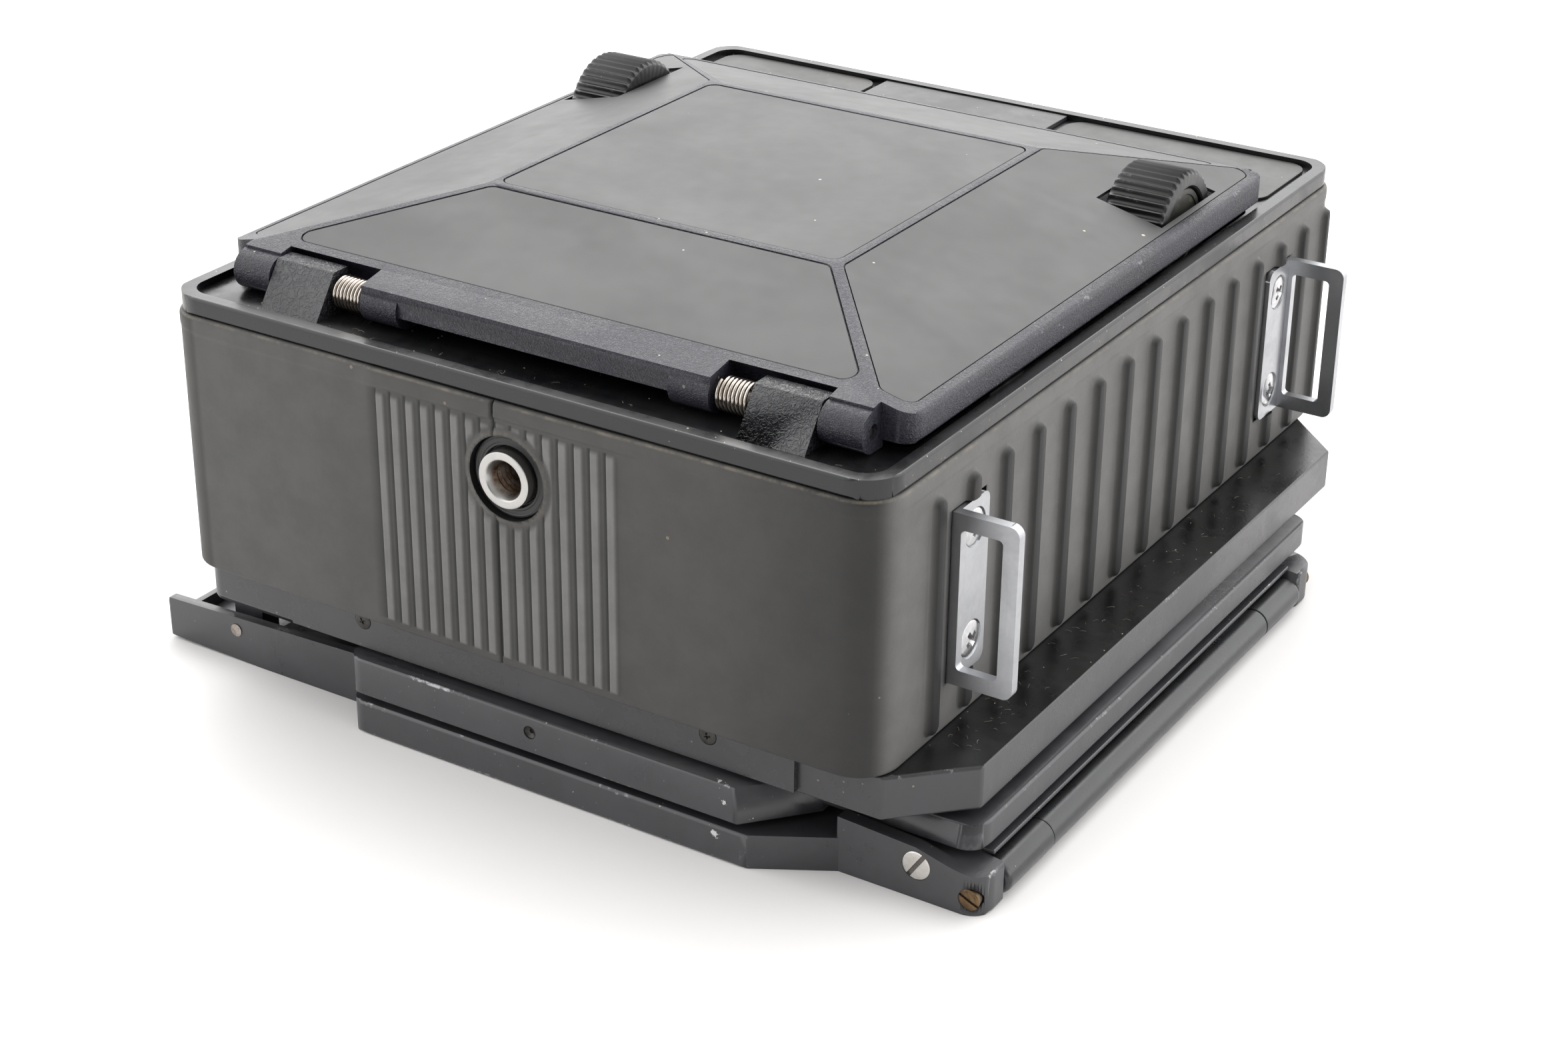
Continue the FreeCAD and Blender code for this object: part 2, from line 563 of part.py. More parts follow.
def join(name, items):
    item = doc.addObject("Part::MultiFuse", name)
    item.Shapes = list(items)
    item.Refine = True
    return item


def cut(name, base, tools):
    item = doc.addObject("Part::Cut", name)
    item.Base = base
    item.Tool = tools[0] if len(tools) == 1 else join(name + "_tools", tools)
    item.Refine = True
    return item


def common(name, items):
    item = doc.addObject("Part::MultiCommon", name)
    item.Shapes = list(items)
    item.Refine = True
    return item


def group(name, items):
    item = doc.addObject("Part::Compound", name)
    item.Links = list(items)
    return item


def solid(name, shape):
    """A feature for a form that is worked out from a rule."""
    item = doc.addObject("Part::Feature", name)
    item.Shape = shape
    return item


def keep(label, item):
    """Name a finished sub-part after its node."""
    item.Label = label
    NODES.append(item)
    return item


def body_xs(inset):
    return (f"{LEFT_FACE} + {inset}", f"{RIGHT_FACE} - ({inset})")


def body_ys(inset):
    return (f"{FRONT_FACE} + {inset}", f"{FAR_FACE} - ({inset})")


def body_box(name, inset, zs):
    """The body's outline, drawn in by an inset."""
    return rounded(name, body_xs(inset), body_ys(inset), zs, f"body_corner - ({inset})")


# Body

def make_casing():
    inner = "(rubber_wall + casing_wall)"
    shell = cut("casing_shell", body_box("casing_outer", "rubber_wall", (high("0"), high("rubber_height"))),
                [body_box("casing_inner", inner, (high("casing_floor"), high("rubber_height + overrun")))])
    socket = (across(1, "socket_side"), high("socket_high"))
    boss = rod("socket_boss", "Y", "boss_radius", deep("rubber_wall + casing_wall / 2"),
               deep("bush_length - bush_proud - part_gap"), socket)
    seats = []
    for place, low in strap_places():
        seats.append(block(f"lug_seat_{place}", (f"{RIGHT_FACE} - rubber_wall - casing_wall / 2", LUG_SEAT),
                           (low, f"{low} + strap_base"), (high("strap_base_low"), high("strap_base_top"))))
    holes = [
        block("rear_opening", centred("light_half"), round_axis("light_rise"),
              (high("0 - overrun"), high("casing_floor + overrun"))),
        rod("bush_hole", "Y", "bush_radius + axle_gap", deep("0"), deep("bush_length + overrun"), socket),
        rod("button_hole", "Y", "button_radius + axle_gap", f"{FAR_FACE} - {inner} - overrun",
            FAR_FACE, (across(1, "0"), high("button_high"))),
    ]
    for place, low in strap_places():
        for name, text in (("low", "screw_low"), ("top", "screw_top")):
            holes.append(rod(f"shank_hole_{place}_{name}", "X", "screw_shank + axle_gap",
                             f"{LUG_SEAT} + strap_plate - screw_sunk - screw_length - overrun",
                             f"{LUG_SEAT} + overrun", (screw_y(place, low), high(text))))
    keep("main_casing", cut("casing", join("casing_body", [shell, boss] + seats), holes))


def strap_places():
    """The front and the far strap lug, each with the low Y of its base."""
    return (("front", deep("strap_near")), ("far", deep("strap_far - strap_base")))


def screw_y(place, low):
    """Y of a lug's screws, which stand beside its loop."""
    middle = "(strap_base - strap_thick) / 2"
    return f"{low} + strap_thick + {middle}" if place == "front" else f"{low} + {middle}"


def make_rubber():
    tube = cut("rubber_tube", body_box("rubber_outer", "0", (high("0"), high("rubber_height"))),
               [body_box("rubber_inner", "rubber_wall", (high("0 - overrun"), high("rubber_height + overrun")))])
    raised = [tube]
    ribs = int((size("body_length") - size("rib_first") - 2 * size("rib_half")) // size("rib_pitch")) + 1
    for side in SIDES:
        face = RIGHT_FACE if side > 0 else LEFT_FACE
        ends = (f"{face} - {side} * rubber_wall / 2", f"{face} + {side} * rib_proud")
        xs = ends if side > 0 else ends[::-1]
        for k in range(ribs):
            middle = deep(f"rib_first + {k} * rib_pitch")
            name = f"rib_{SIDE_NAMES[side]}_{k + 1}"
            raised.append(block(name, xs, (f"{middle} - rib_half", f"{middle} + rib_half"),
                                (high("rib_low"), high("rib_high"))))
            for end in ("rib_low", "rib_high"):
                raised.append(rod(f"{name}_{end}", "X", "rib_half", xs[0], xs[1], (middle, high(end))))
    for k in range(TREAD_COUNT):
        low = f"{across(1, 'tread_first')} + {k} * tread_pitch"
        raised.append(block(f"tread_{k + 1}", (low, f"{low} + tread_width"),
                            (deep("0 - tread_proud"), deep("rubber_wall / 2")),
                            (high("tread_low"), high("tread_high"))))
    openings = [rod("boss_opening", "Y", "boss_radius", deep("0 - overrun"), deep("rubber_wall + overrun"),
                    (across(1, "socket_side"), high("socket_high"))),
                rod("button_opening", "Y", "button_hole", f"{FAR_FACE} - rubber_wall - overrun",
                    f"{FAR_FACE} + overrun", (across(1, "0"), high("button_high")))]
    for place, low in strap_places():
        openings.append(block(f"lug_opening_{place}",
                              (f"{RIGHT_FACE} - rubber_wall - overrun", f"{RIGHT_FACE} + rib_proud + overrun"),
                              (f"{low} - part_gap", f"{low} + strap_base + part_gap"),
                              (high("strap_low - part_gap"), high("strap_base_top + part_gap"))))
    keep("rubber_cover", cut("rubber", join("rubber_body", raised), openings))


def make_front_frame():
    frame = body_box("rim_outer", "rim_inset", (high("rubber_height"), high("rim_top")))
    lugs = []
    for side in SIDES:
        low, top = span(side, "lug_in", "lug_out")
        outline = [(deep("lug_foot"), high("rim_floor - overrun")), (deep("lug_back"), high("rim_floor - overrun")),
                   (deep("lug_back"), high("lug_top")), (deep("lug_brow"), high("lug_top")),
                   (deep("lug_foot"), high("rim_floor"))]
        lugs.append(prism(f"lug_{SIDE_NAMES[side]}", "YZ", outline, low, top, {3: "overrun"}))
    sunk = cut("rim_sunk", frame, [
        body_box("rim_recess", "rim_inset + rim_lip", (high("rim_floor"), high("rim_top + overrun"))),
        rounded("mouth", centred("mouth_half"), (deep("mouth_front"), deep("mouth_far")),
                (high("rubber_height - overrun"), high("rim_top + overrun")), "bed_corner"),
        block("deck_pocket", centred("deck_pocket_half"), (deep("mouth_far - overrun"), deep("deck_pocket_far")),
              (high("rubber_height - overrun"), high("rim_floor - deck_skin"))),
    ])
    bore = rod("lug_bore", "X", "hinge_pin + axle_gap", across(-1, "lug_out + overrun"),
               across(1, "lug_out + overrun"), (deep("hinge_set"), high("hinge_high")))
    keep("front_frame", cut("rim", join("rim_body", [sunk] + lugs), [bore]))


def make_deck():
    ys = (deep("deck_near"), deep("deck_end"))
    for side, inner in ((-1, "deck_pad_left"), (1, "deck_pad_right")):
        pad = rounded(f"deck_pad_{SIDE_NAMES[side]}_body", span(side, inner, "deck_pad_outer"), ys,
                      (high("rim_floor"), high("rim_floor + deck_pad_thick")), "deck_pad_corner")
        keep(f"deck_pad_{SIDE_NAMES[side]}", pad)
    keep("deck_plate", block("deck_plate_body", (across(-1, "deck_plate_left"), across(1, "deck_plate_right")), ys,
                             (high("rim_floor"), high("rim_floor + deck_plate_thick"))))


def make_tripod_socket():
    socket = (across(1, "socket_side"), high("socket_high"))
    plate = rod("boss_disc", "Y", "boss_radius - part_gap", deep("rubber_wall - boss_plate"), deep("rubber_wall"), socket)
    hole = rod("boss_disc_hole", "Y", "bush_radius + axle_gap", deep("0"), deep("rubber_wall + overrun"), socket)
    keep("tripod_plate", cut("tripod_disc", plate, [hole]))
    bush = rod("bush_outer", "Y", "bush_radius", deep("0 - bush_proud"), deep("bush_length - bush_proud"), socket)
    thread = rod("bush_thread", "Y", "socket_radius", deep("0 - bush_proud - overrun"),
                 deep("socket_depth - bush_proud"), socket)
    keep("tripod_bush", cut("bush", bush, [thread]))


def make_strap_lugs():
    screws = []
    for place, low in strap_places():
        top = f"{low} + strap_base"
        base = prism(f"lug_base_{place}", "YZ",
                     [(low, high("strap_base_low")), (top, high("strap_base_low")),
                      (top, high("strap_base_top")), (low, high("strap_base_top"))],
                     LUG_SEAT, f"{LUG_SEAT} + strap_plate",
                     {k: "strap_corner" for k in ((1, 2) if place == "front" else (0, 3))})
        near = low if place == "front" else f"{top} - strap_thick"
        outer = f"{LUG_SEAT} + strap_reach"
        loop = prism(f"lug_loop_{place}", "XZ",
                     [(LUG_SEAT, high("strap_low")), (outer, high("strap_low")),
                      (outer, high("strap_top")), (LUG_SEAT, high("strap_top"))],
                     near, f"{near} + strap_thick", {1: "strap_corner", 2: "strap_corner"})
        slot = rounded_slot(f"lug_slot_{place}", near)
        holes = [slot]
        for name, text in (("low", "screw_low"), ("top", "screw_top")):
            at = (screw_y(place, low), high(text))
            face = f"{LUG_SEAT} + strap_plate"
            holes.append(rod(f"sink_{place}_{name}", "X", "screw_head + axle_gap", f"{face} - screw_sunk",
                             f"{face} + overrun", at))
            holes.append(rod(f"shank_way_{place}_{name}", "X", "screw_shank + axle_gap", f"{LUG_SEAT} - overrun",
                             face, at))
            head = rod(f"head_{place}_{name}", "X", "screw_head", f"{face} - screw_sunk", face, at)
            shank = rod(f"shank_{place}_{name}", "X", "screw_shank", f"{face} - screw_sunk - screw_length",
                        f"{face} - screw_sunk / 2", at)
            screws.append(join(f"lug_screw_{place}_{name}", [head, shank]))
        keep(f"strap_lug_{place}", cut(f"strap_{place}", join(f"lug_body_{place}", [base, loop]), holes))
    keep("lug_screws", group("lug_screw_group", screws))


def rounded_slot(name, near):
    """The strap's way through a loop."""
    inner, outer = f"{LUG_SEAT} + strap_root", f"{LUG_SEAT} + strap_reach - strap_bar"
    low, top = high("strap_low + strap_bar"), high("strap_top - strap_bar")
    return prism(name, "XZ", [(inner, low), (outer, low), (outer, top), (inner, top)],
                 f"{near} - overrun", f"{near} + strap_thick + overrun", {k: "overrun" for k in range(4)})


# Rear frame and revolving back

def make_rear_frame():
    low, top = high("0 - rear_depth"), high("0")
    right, left = across(1, "rear_right"), across(-1, "rear_left")
    outline = [(left, deep("rear_near")), (f"{right} - rear_bevel", deep("rear_near")),
               (right, deep("rear_near + rear_bevel")), (right, deep("rear_far - rear_bevel")),
               (f"{right} - rear_bevel", deep("rear_far")), (left, deep("rear_far"))]
    plate = prism("rear_plate", "XY", outline, low, top, {0: "rear_corner", 5: "rear_corner"})
    lip = rod("rear_lip", "Z", "lip_radius", f"{low} - overrun", f"{top} + overrun", (across(1, "0"), AXIS_Y))
    seat = rod("rear_seat", "Z", "seat_radius", f"{low} + lip_depth", f"{top} + overrun", (across(1, "0"), AXIS_Y))
    keep("rear_frame", cut("rear", plate, [lip, seat]))
    strip = block("strip", (across(-1, "strip_left"), across(1, "strip_right")),
                  (deep("rear_near - strip_thick"), deep("rear_near")),
                  (f"{low} + strip_edge", f"{top} - strip_edge"))
    screws, holes = [], []
    for side, text in ((-1, "strip_screw_left"), (1, "strip_screw_right")):
        at = (across(side, text), high("0 - strip_screw_drop"))
        name = SIDE_NAMES[side]
        face = "rear_near - strip_thick"
        holes.append(rod(f"strip_hole_{name}", "Y", "strip_screw_head + axle_gap", deep(f"{face} - overrun"),
                         deep("rear_near + overrun"), at))
        screws.append(rod(f"strip_screw_{name}", "Y", "strip_screw_head", deep(f"{face} - strip_screw_proud"),
                          deep("rear_near"), at))
    keep("rear_cover_strip", cut("cover_strip", strip, holes))
    keep("cover_strip_screws", group("strip_screw_group", screws))


def mirrored_deep(text):
    """Place on the far side that mirrors one on the near side about the lens axis."""
    return deep(f"2 * axis_set - ({text})")


def make_back_frame():
    plate = rounded("back_plate", (across(-1, "back_left"), across(1, "back_right")),
                    (deep("back_near"), deep("back_far")), (PLATE_LOW, PLATE_TOP), "back_corner")
    pieces = [plate, block("gate_pad", centred("pad_half"), round_axis("pad_rise"), (BACK_LOW, PLATE_TOP))]
    for place, y_of in (("front", deep), ("far", mirrored_deep)):
        left, right = across(-1, "tab_left"), across(1, "tab_right")
        outline = [(left, y_of("0")), (right, y_of("0")), (f"{right} + tab_bevel_x", y_of("tab_bevel_y")),
                   (f"{right} + tab_bevel_x", y_of("tab_root")), (left, y_of("tab_root"))]
        pieces.append(prism(f"tab_{place}", "XY", outline, BACK_LOW, f"{BACK_LOW} + back_depth", {0: "tab_corner"}))
    ears = []
    for place, low in (("front", deep("back_near")), ("far", glass_mirror("back_near + ear_thick"))):
        ears.append(block(f"ear_{place}", (across(-1, "pivot_side + ear_half"), across(-1, "pivot_side - ear_half")),
                          (low, f"{low} + ear_thick"), (f"{PLATE_LOW} - ear_drop", PLATE_TOP)))
    axis = (across(1, "0"), AXIS_Y)
    collar_top = f"{PLATE_TOP} + collar_high"
    collar = cut("collar", rod("collar_outer", "Z", "collar_out", PLATE_TOP, collar_top, axis),
                 [rod("collar_bore", "Z", "collar_in", f"{PLATE_TOP} - overrun", f"{collar_top} + overrun", axis)])
    holes = [block("film_gate", centred("gate_half"), round_axis("gate_rise"),
                   (f"{BACK_LOW} - overrun", f"{PLATE_TOP} + overrun")),
             rod("pivot_hole", "Y", "pivot_pin + part_gap / 10", deep("0"), glass_mirror("0"),
                 (across(-1, "pivot_side"), high("0 - pivot_drop")))]
    for place, sign in (("front", -1), ("far", 1)):
        ys = slide_ys(sign, "part_gap")
        holes.append(block(f"slide_groove_{place}",
                           (across(-1, "slide_half + part_gap"), across(1, "slide_half + slide_travel + part_gap")),
                           ys, (f"{BACK_LOW} - overrun", f"{BACK_LOW} + slide_thick + 2 * part_gap")))
    keep("back_frame", cut("back", join("back_body", pieces + ears + [collar]), holes))
    ring = cut("ring", rod("ring_outer", "Z", "ring_out", collar_top, f"{collar_top} + ring_thick", axis),
               [rod("ring_bore", "Z", "ring_in", f"{collar_top} - overrun",
                    f"{collar_top} + ring_thick + overrun", axis)])
    keep("turntable_ring", ring)
    pins = []
    for place, y_of in (("front", deep), ("far", glass_mirror)):
        ends = [y_of("glass_near - part_gap"), y_of("back_near + ear_thick")]
        pins.append(rod(f"pivot_pin_{place}", "Y", "pivot_pin", *(ends if place == "front" else ends[::-1]),
                        (across(-1, "pivot_side"), high("0 - pivot_drop"))))
    keep("pivot_pins", group("pivot_pin_group", pins))
    for place, sign in (("front", -1), ("far", 1)):
        slide = block(f"slide_{place}", centred("slide_half"), slide_ys(sign, "0"),
                      (f"{BACK_LOW} + part_gap", f"{BACK_LOW} + part_gap + slide_thick"))
        keep(f"lock_slide_{place}", slide)


def slide_ys(sign, margin):
    """Low and high Y of a lock slide or its groove."""
    ends = (f"{AXIS_Y} + {sign} * (slide_near - ({margin}))", f"{AXIS_Y} + {sign} * (slide_far + ({margin}))")
    return ends if sign > 0 else ends[::-1]


def glass_mirror(text):
    """Place on the glass frame's far side that mirrors one on its near side."""
    return deep(f"glass_near + glass_far - ({text})")


def make_glass_frame():
    left, right = across(-1, "tab_left"), across(1, "bar_right")
    near, far = deep("glass_near"), deep("glass_far")
    foot = across(1, "bar_bevel")
    outline = [(across(-1, "glass_left"), near), (left, near), (left, deep("0")), (right, deep("0")), (foot, near),
               (across(1, "glass_right"), near), (across(1, "glass_right"), far), (foot, far),
               (right, glass_mirror("0")), (left, glass_mirror("0")), (left, far), (across(-1, "glass_left"), far)]
    pieces = [prism("glass_plate", "XY", outline, "0", "glass_depth", {2: "tab_corner", 9: "tab_corner"})]
    end = "(0 - back_half)"
    for place, y_of in (("front", deep), ("far", glass_mirror)):
        ys = [y_of("glass_near"), y_of("glass_near + wing_wall")]
        low, top = ys if place == "front" else ys[::-1]
        tops = ("wing_high", "wing_low") if place == "front" else ("glass_depth", "wing_far")
        outline = [(end, "wing_lift"), (across(-1, "glass_left"), "0"), (across(-1, "wing_right"), "0"),
                   (across(-1, "wing_right"), tops[0]), (end, tops[1])]
        pieces.append(prism(f"wing_{place}", "XZ", outline, low, top, {4: "overrun"}))
        pieces.append(rod(f"wing_boss_{place}", "Y", "pivot_boss", low, top,
                          (across(-1, "pivot_side"), high("0 - pivot_drop"))))
        pieces.append(make_arm(place, y_of))
    pieces.append(block("wing_end", (end, f"{end} + wing_wall"), (near, far), ("wing_lift", "wing_far")))
    pieces.append(block("wing_base", (f"{end} + wing_wall / 2", across(-1, "glass_left - overrun")),
                        (near, far), ("wing_lift", "wing_lift + wing_floor")))
    ledge = "glass_depth - glass_thick - part_gap"
    holes = [block("window", centred("window_half"), round_axis("window_rise"),
                   ("0 - overrun", "glass_depth + overrun")),
             block("glass_seat", centred("glass_half + part_gap"), round_axis("glass_rise + part_gap"),
                   (ledge, "glass_depth + overrun")),
             rod("wing_pivot_hole", "Y", "pivot_pin + axle_gap", deep("0"), glass_mirror("0"),
                 (across(-1, "pivot_side"), high("0 - pivot_drop")))]
    rod_screws, arm_screws = [], []
    for place, y_of in (("front", deep), ("far", glass_mirror)):
        for name, side, rise, radius, store in (("rod", "rod_screw_side", "rod_high", "rod_screw_radius", rod_screws),
                                                ("arm", "arm_screw_side", "arm_screw_high", "arm_screw_radius",
                                                 arm_screws)):
            at = (across(1, side), rise)
            ends = [y_of("glass_near - overrun"), y_of("glass_near + screw_grip")]
            low, top = ends if place == "front" else ends[::-1]
            holes.append(rod(f"{name}_screw_hole_{place}", "Y", f"{radius} + axle_gap", low, top, at))
            ends = [y_of("glass_near"), y_of("glass_near + screw_grip")]
            low, top = ends if place == "front" else ends[::-1]
            store.append(rod(f"{name}_screw_{place}", "Y", radius, low, top, at))
    keep("glass_frame", cut("glass_body", join("glass_pieces", pieces), holes))
    keep("ground_glass", block("glass", centred("glass_half"), round_axis("glass_rise"),
                               (ledge, f"{ledge} + glass_thick")))
    clips = []
    for side in SIDES:
        for sign in SIDES:
            ys = (f"{AXIS_Y} + {sign} * glass_rise / 2 - clip_half", f"{AXIS_Y} + {sign} * glass_rise / 2 + clip_half")
            clips.append(block(f"clip_{SIDE_NAMES[side]}_{'near' if sign < 0 else 'far'}",
                               span(side, "glass_half - clip_width / 2", "glass_half + clip_width / 2"), ys,
                               ("glass_depth", "glass_depth + clip_thick")))
    keep("glass_clips", group("clip_group", clips))
    rod_ys = (deep("glass_near + arm_thick + part_gap"), glass_mirror("glass_near + arm_thick + part_gap"))
    keep("grip_rod", rod("grip", "Y", "rod_radius", rod_ys[0], rod_ys[1], (ROD_X, "rod_high")))
    keep("rod_bracket", block("bracket", (across(1, "bracket_left"), ROD_X), rod_ys,
                              ("bracket_high", "bracket_high + bracket_thick")))
    keep("rod_screws", group("rod_screw_group", rod_screws))
    keep("arm_screws", group("arm_screw_group", arm_screws))


def make_arm(place, y_of):
    """One right arm of the glass frame, rounded in plan; the front one has a raised cheek."""
    left, tip = across(1, "arm_left"), across(1, "arm_reach")
    ys = [y_of("glass_near"), y_of("glass_near + arm_thick")]
    low, top = ys if place == "front" else ys[::-1]
    pieces = [prism(f"arm_lower_{place}", "XZ",
                    [(left, "0"), (tip, "0"), (tip, "arm_tip"), (across(1, "arm_neck"), "arm_back"),
                     (left, "arm_back")], low, top)]
    if place == "front":
        pieces.append(prism("arm_cheek_front", "XZ",
                            [(left, "0"), (tip, "0"), (tip, "arm_tip"), (across(1, "arm_neck"), "arm_back"),
                             (across(1, "arm_shoulder"), "arm_mid"), (left, "arm_high")],
                            low, f"{low} + arm_cheek"))
    plan = prism(f"arm_plan_{place}", "XY", [(left, ys[0]), (tip, ys[0]), (tip, ys[1]), (left, ys[1])],
                 "0", "arm_high + overrun", {1: "arm_corner"})
    form = join("arm_pair", pieces) if len(pieces) > 1 else pieces[0]
    return common(f"arm_{place}", [form, plan])


# Bellows, inner rails and front standard

def rectangle(half_x, half_y, z):
    """A closed rectangle about the lens axis."""
    middle_x = size("body_x")
    middle_y = size("axis_set") - size("body_length") / 2
    corners = [Vector(middle_x + sx * half_x, middle_y + sy * half_y, z)
               for sx, sy in ((-1, -1), (1, -1), (1, 1), (-1, 1))]
    return Part.makePolygon(corners + corners[:1])


def casing_plane():
    return sum(size(name) for name in ("glass_depth", "back_gap", "back_depth", "revolve_gap", "rear_depth"))


def pleats(inset):
    """A ruled loft through the crests and valleys of the folded bellows."""
    low = casing_plane() + size("casing_floor") + size("shelf_thick")
    top = casing_plane() + size("bellows_end")
    steps = 2 * FOLD_COUNT
    wires = []
    for k in range(steps + 1):
        share = k / steps
        half_x = size("bellows_half") + share * (size("bellows_front") - size("bellows_half"))
        half_y = size("bellows_rise") + share * (size("bellows_front") - size("bellows_rise"))
        drawn_in = inset + (size("fold_depth") if k % 2 else 0)
        wires.append(rectangle(half_x - drawn_in, half_y - drawn_in, low + share * (top - low)))
    return Part.makeLoft(wires, True, True)


def make_bellows():
    keep("bellows", solid("bellows_body", pleats(0).cut(pleats(size("bellows_skin")))))
    shelf = block("shelf", centred("shelf_half"), round_axis("shelf_rise"),
                  (high("casing_floor"), high("casing_floor + shelf_thick")))
    inner = "bellows_half - bellows_skin - fold_depth", "bellows_rise - bellows_skin - fold_depth"
    window = block("shelf_window", centred(inner[0]), round_axis(inner[1]),
                   (high("0"), high("casing_floor + shelf_thick + overrun")))
    keep("bellows_rear_frame", cut("shelf_frame", shelf, [window]))


def make_inner_rails():
    ledge_top = "rails_back - part_gap"
    keeper_low = "rails_back + foot_thick + part_gap"
    rails = []
    for side in SIDES:
        zs = (high("casing_floor"), high("rails_top"))
        name = SIDE_NAMES[side]
        parts = [
            block(f"inner_web_{name}", span(side, "rail_in", "rail_out"),
                  (deep("rubber_wall + casing_wall"), deep(f"{keeper_low} + ledge_thick")), zs),
            block(f"inner_ledge_{name}", span(side, "ledge_in", "rail_in"),
                  (deep(f"{ledge_top} - ledge_thick"), deep(ledge_top)), zs),
            block(f"inner_keeper_{name}", span(side, "keeper_in", "rail_in"),
                  (deep(keeper_low), deep(f"{keeper_low} + ledge_thick")), zs),
        ]
        rails.append(join(f"inner_rail_{name}", parts))
    keep("inner_rails", group("inner_rail_group", rails))


def make_standard():
    slide_half = "rail_in - part_gap"
    foot = block("foot", centred(slide_half), (deep("rails_back"), deep("rails_back + foot_thick")),
                 (high("foot_low"), high("foot_top")))
    keep("standard_foot", foot)
    zs = (high("arm_low"), high("arm_top"))
    sill = block("sill", centred("arm_out"), (deep("sill_near"), deep("sill_far")), zs)
    sill_cut = block("sill_cut", centred("rail_out + part_gap"),
                     (deep("sill_near - overrun"), deep("rails_back + foot_thick + 2 * part_gap + ledge_thick")), zs)
    neck = block("sill_neck", centred("keeper_in - part_gap"), (deep("rails_back + foot_thick"), deep("sill_far")), zs)
    arms = [block(f"arm_{SIDE_NAMES[side]}", span(side, "arm_in", "arm_out"),
                  (deep("sill_near"), deep("arm_end")), zs) for side in SIDES]
    hole = rod("stem_hole", "X", "tilt_stem + axle_gap", across(-1, "arm_out + overrun"),
               across(1, "arm_out + overrun"), (AXIS_Y, high("tilt_high")))
    frame = join("u_frame_body", [cut("sill_shape", sill, [sill_cut]), neck] + arms)
    keep("standard_frame", cut("u_frame", frame, [hole]))
    panel = block("panel", centred("panel_half"), round_axis("panel_half"), (high("panel_low"), high("panel_top")))
    seat = block("board_seat", centred("board_half + part_gap"), round_axis("board_half + part_gap"),
                 (high("panel_top - board_sunk"), high("panel_top + overrun")))
    trap = block("light_trap_hole", centred("light_trap"), round_axis("light_trap"),
                 (high("panel_low - overrun"), high("panel_top + overrun")))
    guides = [block(f"latch_guide_{SIDE_NAMES[side]}",
                    span(side, "latch_half + part_gap", "latch_half + part_gap + latch_guide"),
                    (deep("axis_set + board_half + 2 * part_gap"), deep("axis_set + panel_half")),
                    (high("panel_top - overrun"), high("panel_top + board_sunk + part_gap + latch_thick")))
              for side in SIDES]
    holes = [seat, trap]
    knobs = []
    for side in SIDES:
        name = SIDE_NAMES[side]
        low, top = span(side, "panel_half - 4 * overrun", "arm_out + part_gap + overrun")
        knob_low, knob_top = span(side, "arm_out + part_gap", "arm_out + part_gap + tilt_length")
        at = (AXIS_Y, high("tilt_high"))
        holes.append(rod(f"stem_socket_{name}", "X", "tilt_stem + axle_gap",
                         *span(side, "panel_half - 4 * overrun - part_gap", "panel_half + overrun"), at))
        knobs.append(join(f"tilt_knob_{name}", [rod(f"tilt_stem_{name}", "X", "tilt_stem", low, top, at),
                                                rod(f"tilt_grip_{name}", "X", "tilt_radius", knob_low, knob_top, at)]))
    keep("lens_panel", cut("panel_body", join("panel_pieces", [panel] + guides), holes))
    keep("standard_knobs", group("tilt_knob_group", knobs))
    board_low = "panel_top - board_sunk"
    board = rounded("board", centred("board_half"), round_axis("board_half"),
                    (high(board_low), high(f"{board_low} + board_thick")), "overrun")
    shutter = rod("shutter_hole", "Z", "board_hole", high("panel_low"), high("panel_top + board_thick"),
                  (across(1, "0"), AXIS_Y))
    keep("lens_board", cut("board_body", board, [shutter]))
    latch_z = f"{board_low} + board_thick + part_gap"
    keep("board_latch", rounded("board_latch_body", centred("latch_half"), (f"{AXIS_Y} + latch_low", f"{AXIS_Y} + latch_high"),
                                (high(latch_z), high(f"{latch_z} + latch_thick")), "overrun"))


# Bed

def bed_slopes(name, drop):
    """The bed's faceted top as a frustum, lowered by a drop."""
    return wedge(name, centred("bed_half"), (deep("slope_front"), deep("slope_far")),
                 centred("flat_half"), (deep("flat_front"), deep("flat_far")),
                 high(f"bed_edge - ({drop})"), high(f"bed_top - ({drop})"))


def bed_inside(name):
    """The room under the bed's skin: a straight block and a frustum above it."""
    floor = "bed_edge - bed_edge_skin"
    xs = centred("bed_half - bed_wall")
    ys = (deep("hinge_set + slot_radius + bed_wall"), deep("bed_far - bed_wall"))
    return [block(f"{name}_low", xs, ys, (high("block_low - overrun"), high(floor))),
            wedge(f"{name}_slope", xs, ys, centred("flat_half"), (deep("flat_front"), deep("flat_far")),
                  high(floor), high("bed_top - bed_skin"))]


def pad_outlines():
    """Corners of the five bed pads: side, distance from the middle, distance from the tripod face."""
    outlines = {
        "centre": [(-1, "centre_half", "centre_near"), (1, "centre_half", "centre_near"),
                   (1, "centre_half", "centre_far"), (-1, "centre_half", "centre_far")],
        "front": [(-1, "front_wide", "front_near"), (1, "front_wide", "front_near"),
                  (1, "front_narrow", "front_far"), (-1, "front_narrow", "front_far")],
        "far": [(-1, "far_narrow", "far_near"), (1, "far_narrow", "far_near"),
                (1, "far_wide", "far_far"), (-1, "far_wide", "far_far")],
    }
    for side in SIDES:
        outlines[SIDE_NAMES[side]] = [(side, "side_toe", "side_near_out"), (side, "side_out", "side_near_out"),
                                      (side, "side_out", "side_far_out"), (side, "side_in", "side_far_in"),
                                      (side, "side_in", "side_near_in")]
    return outlines


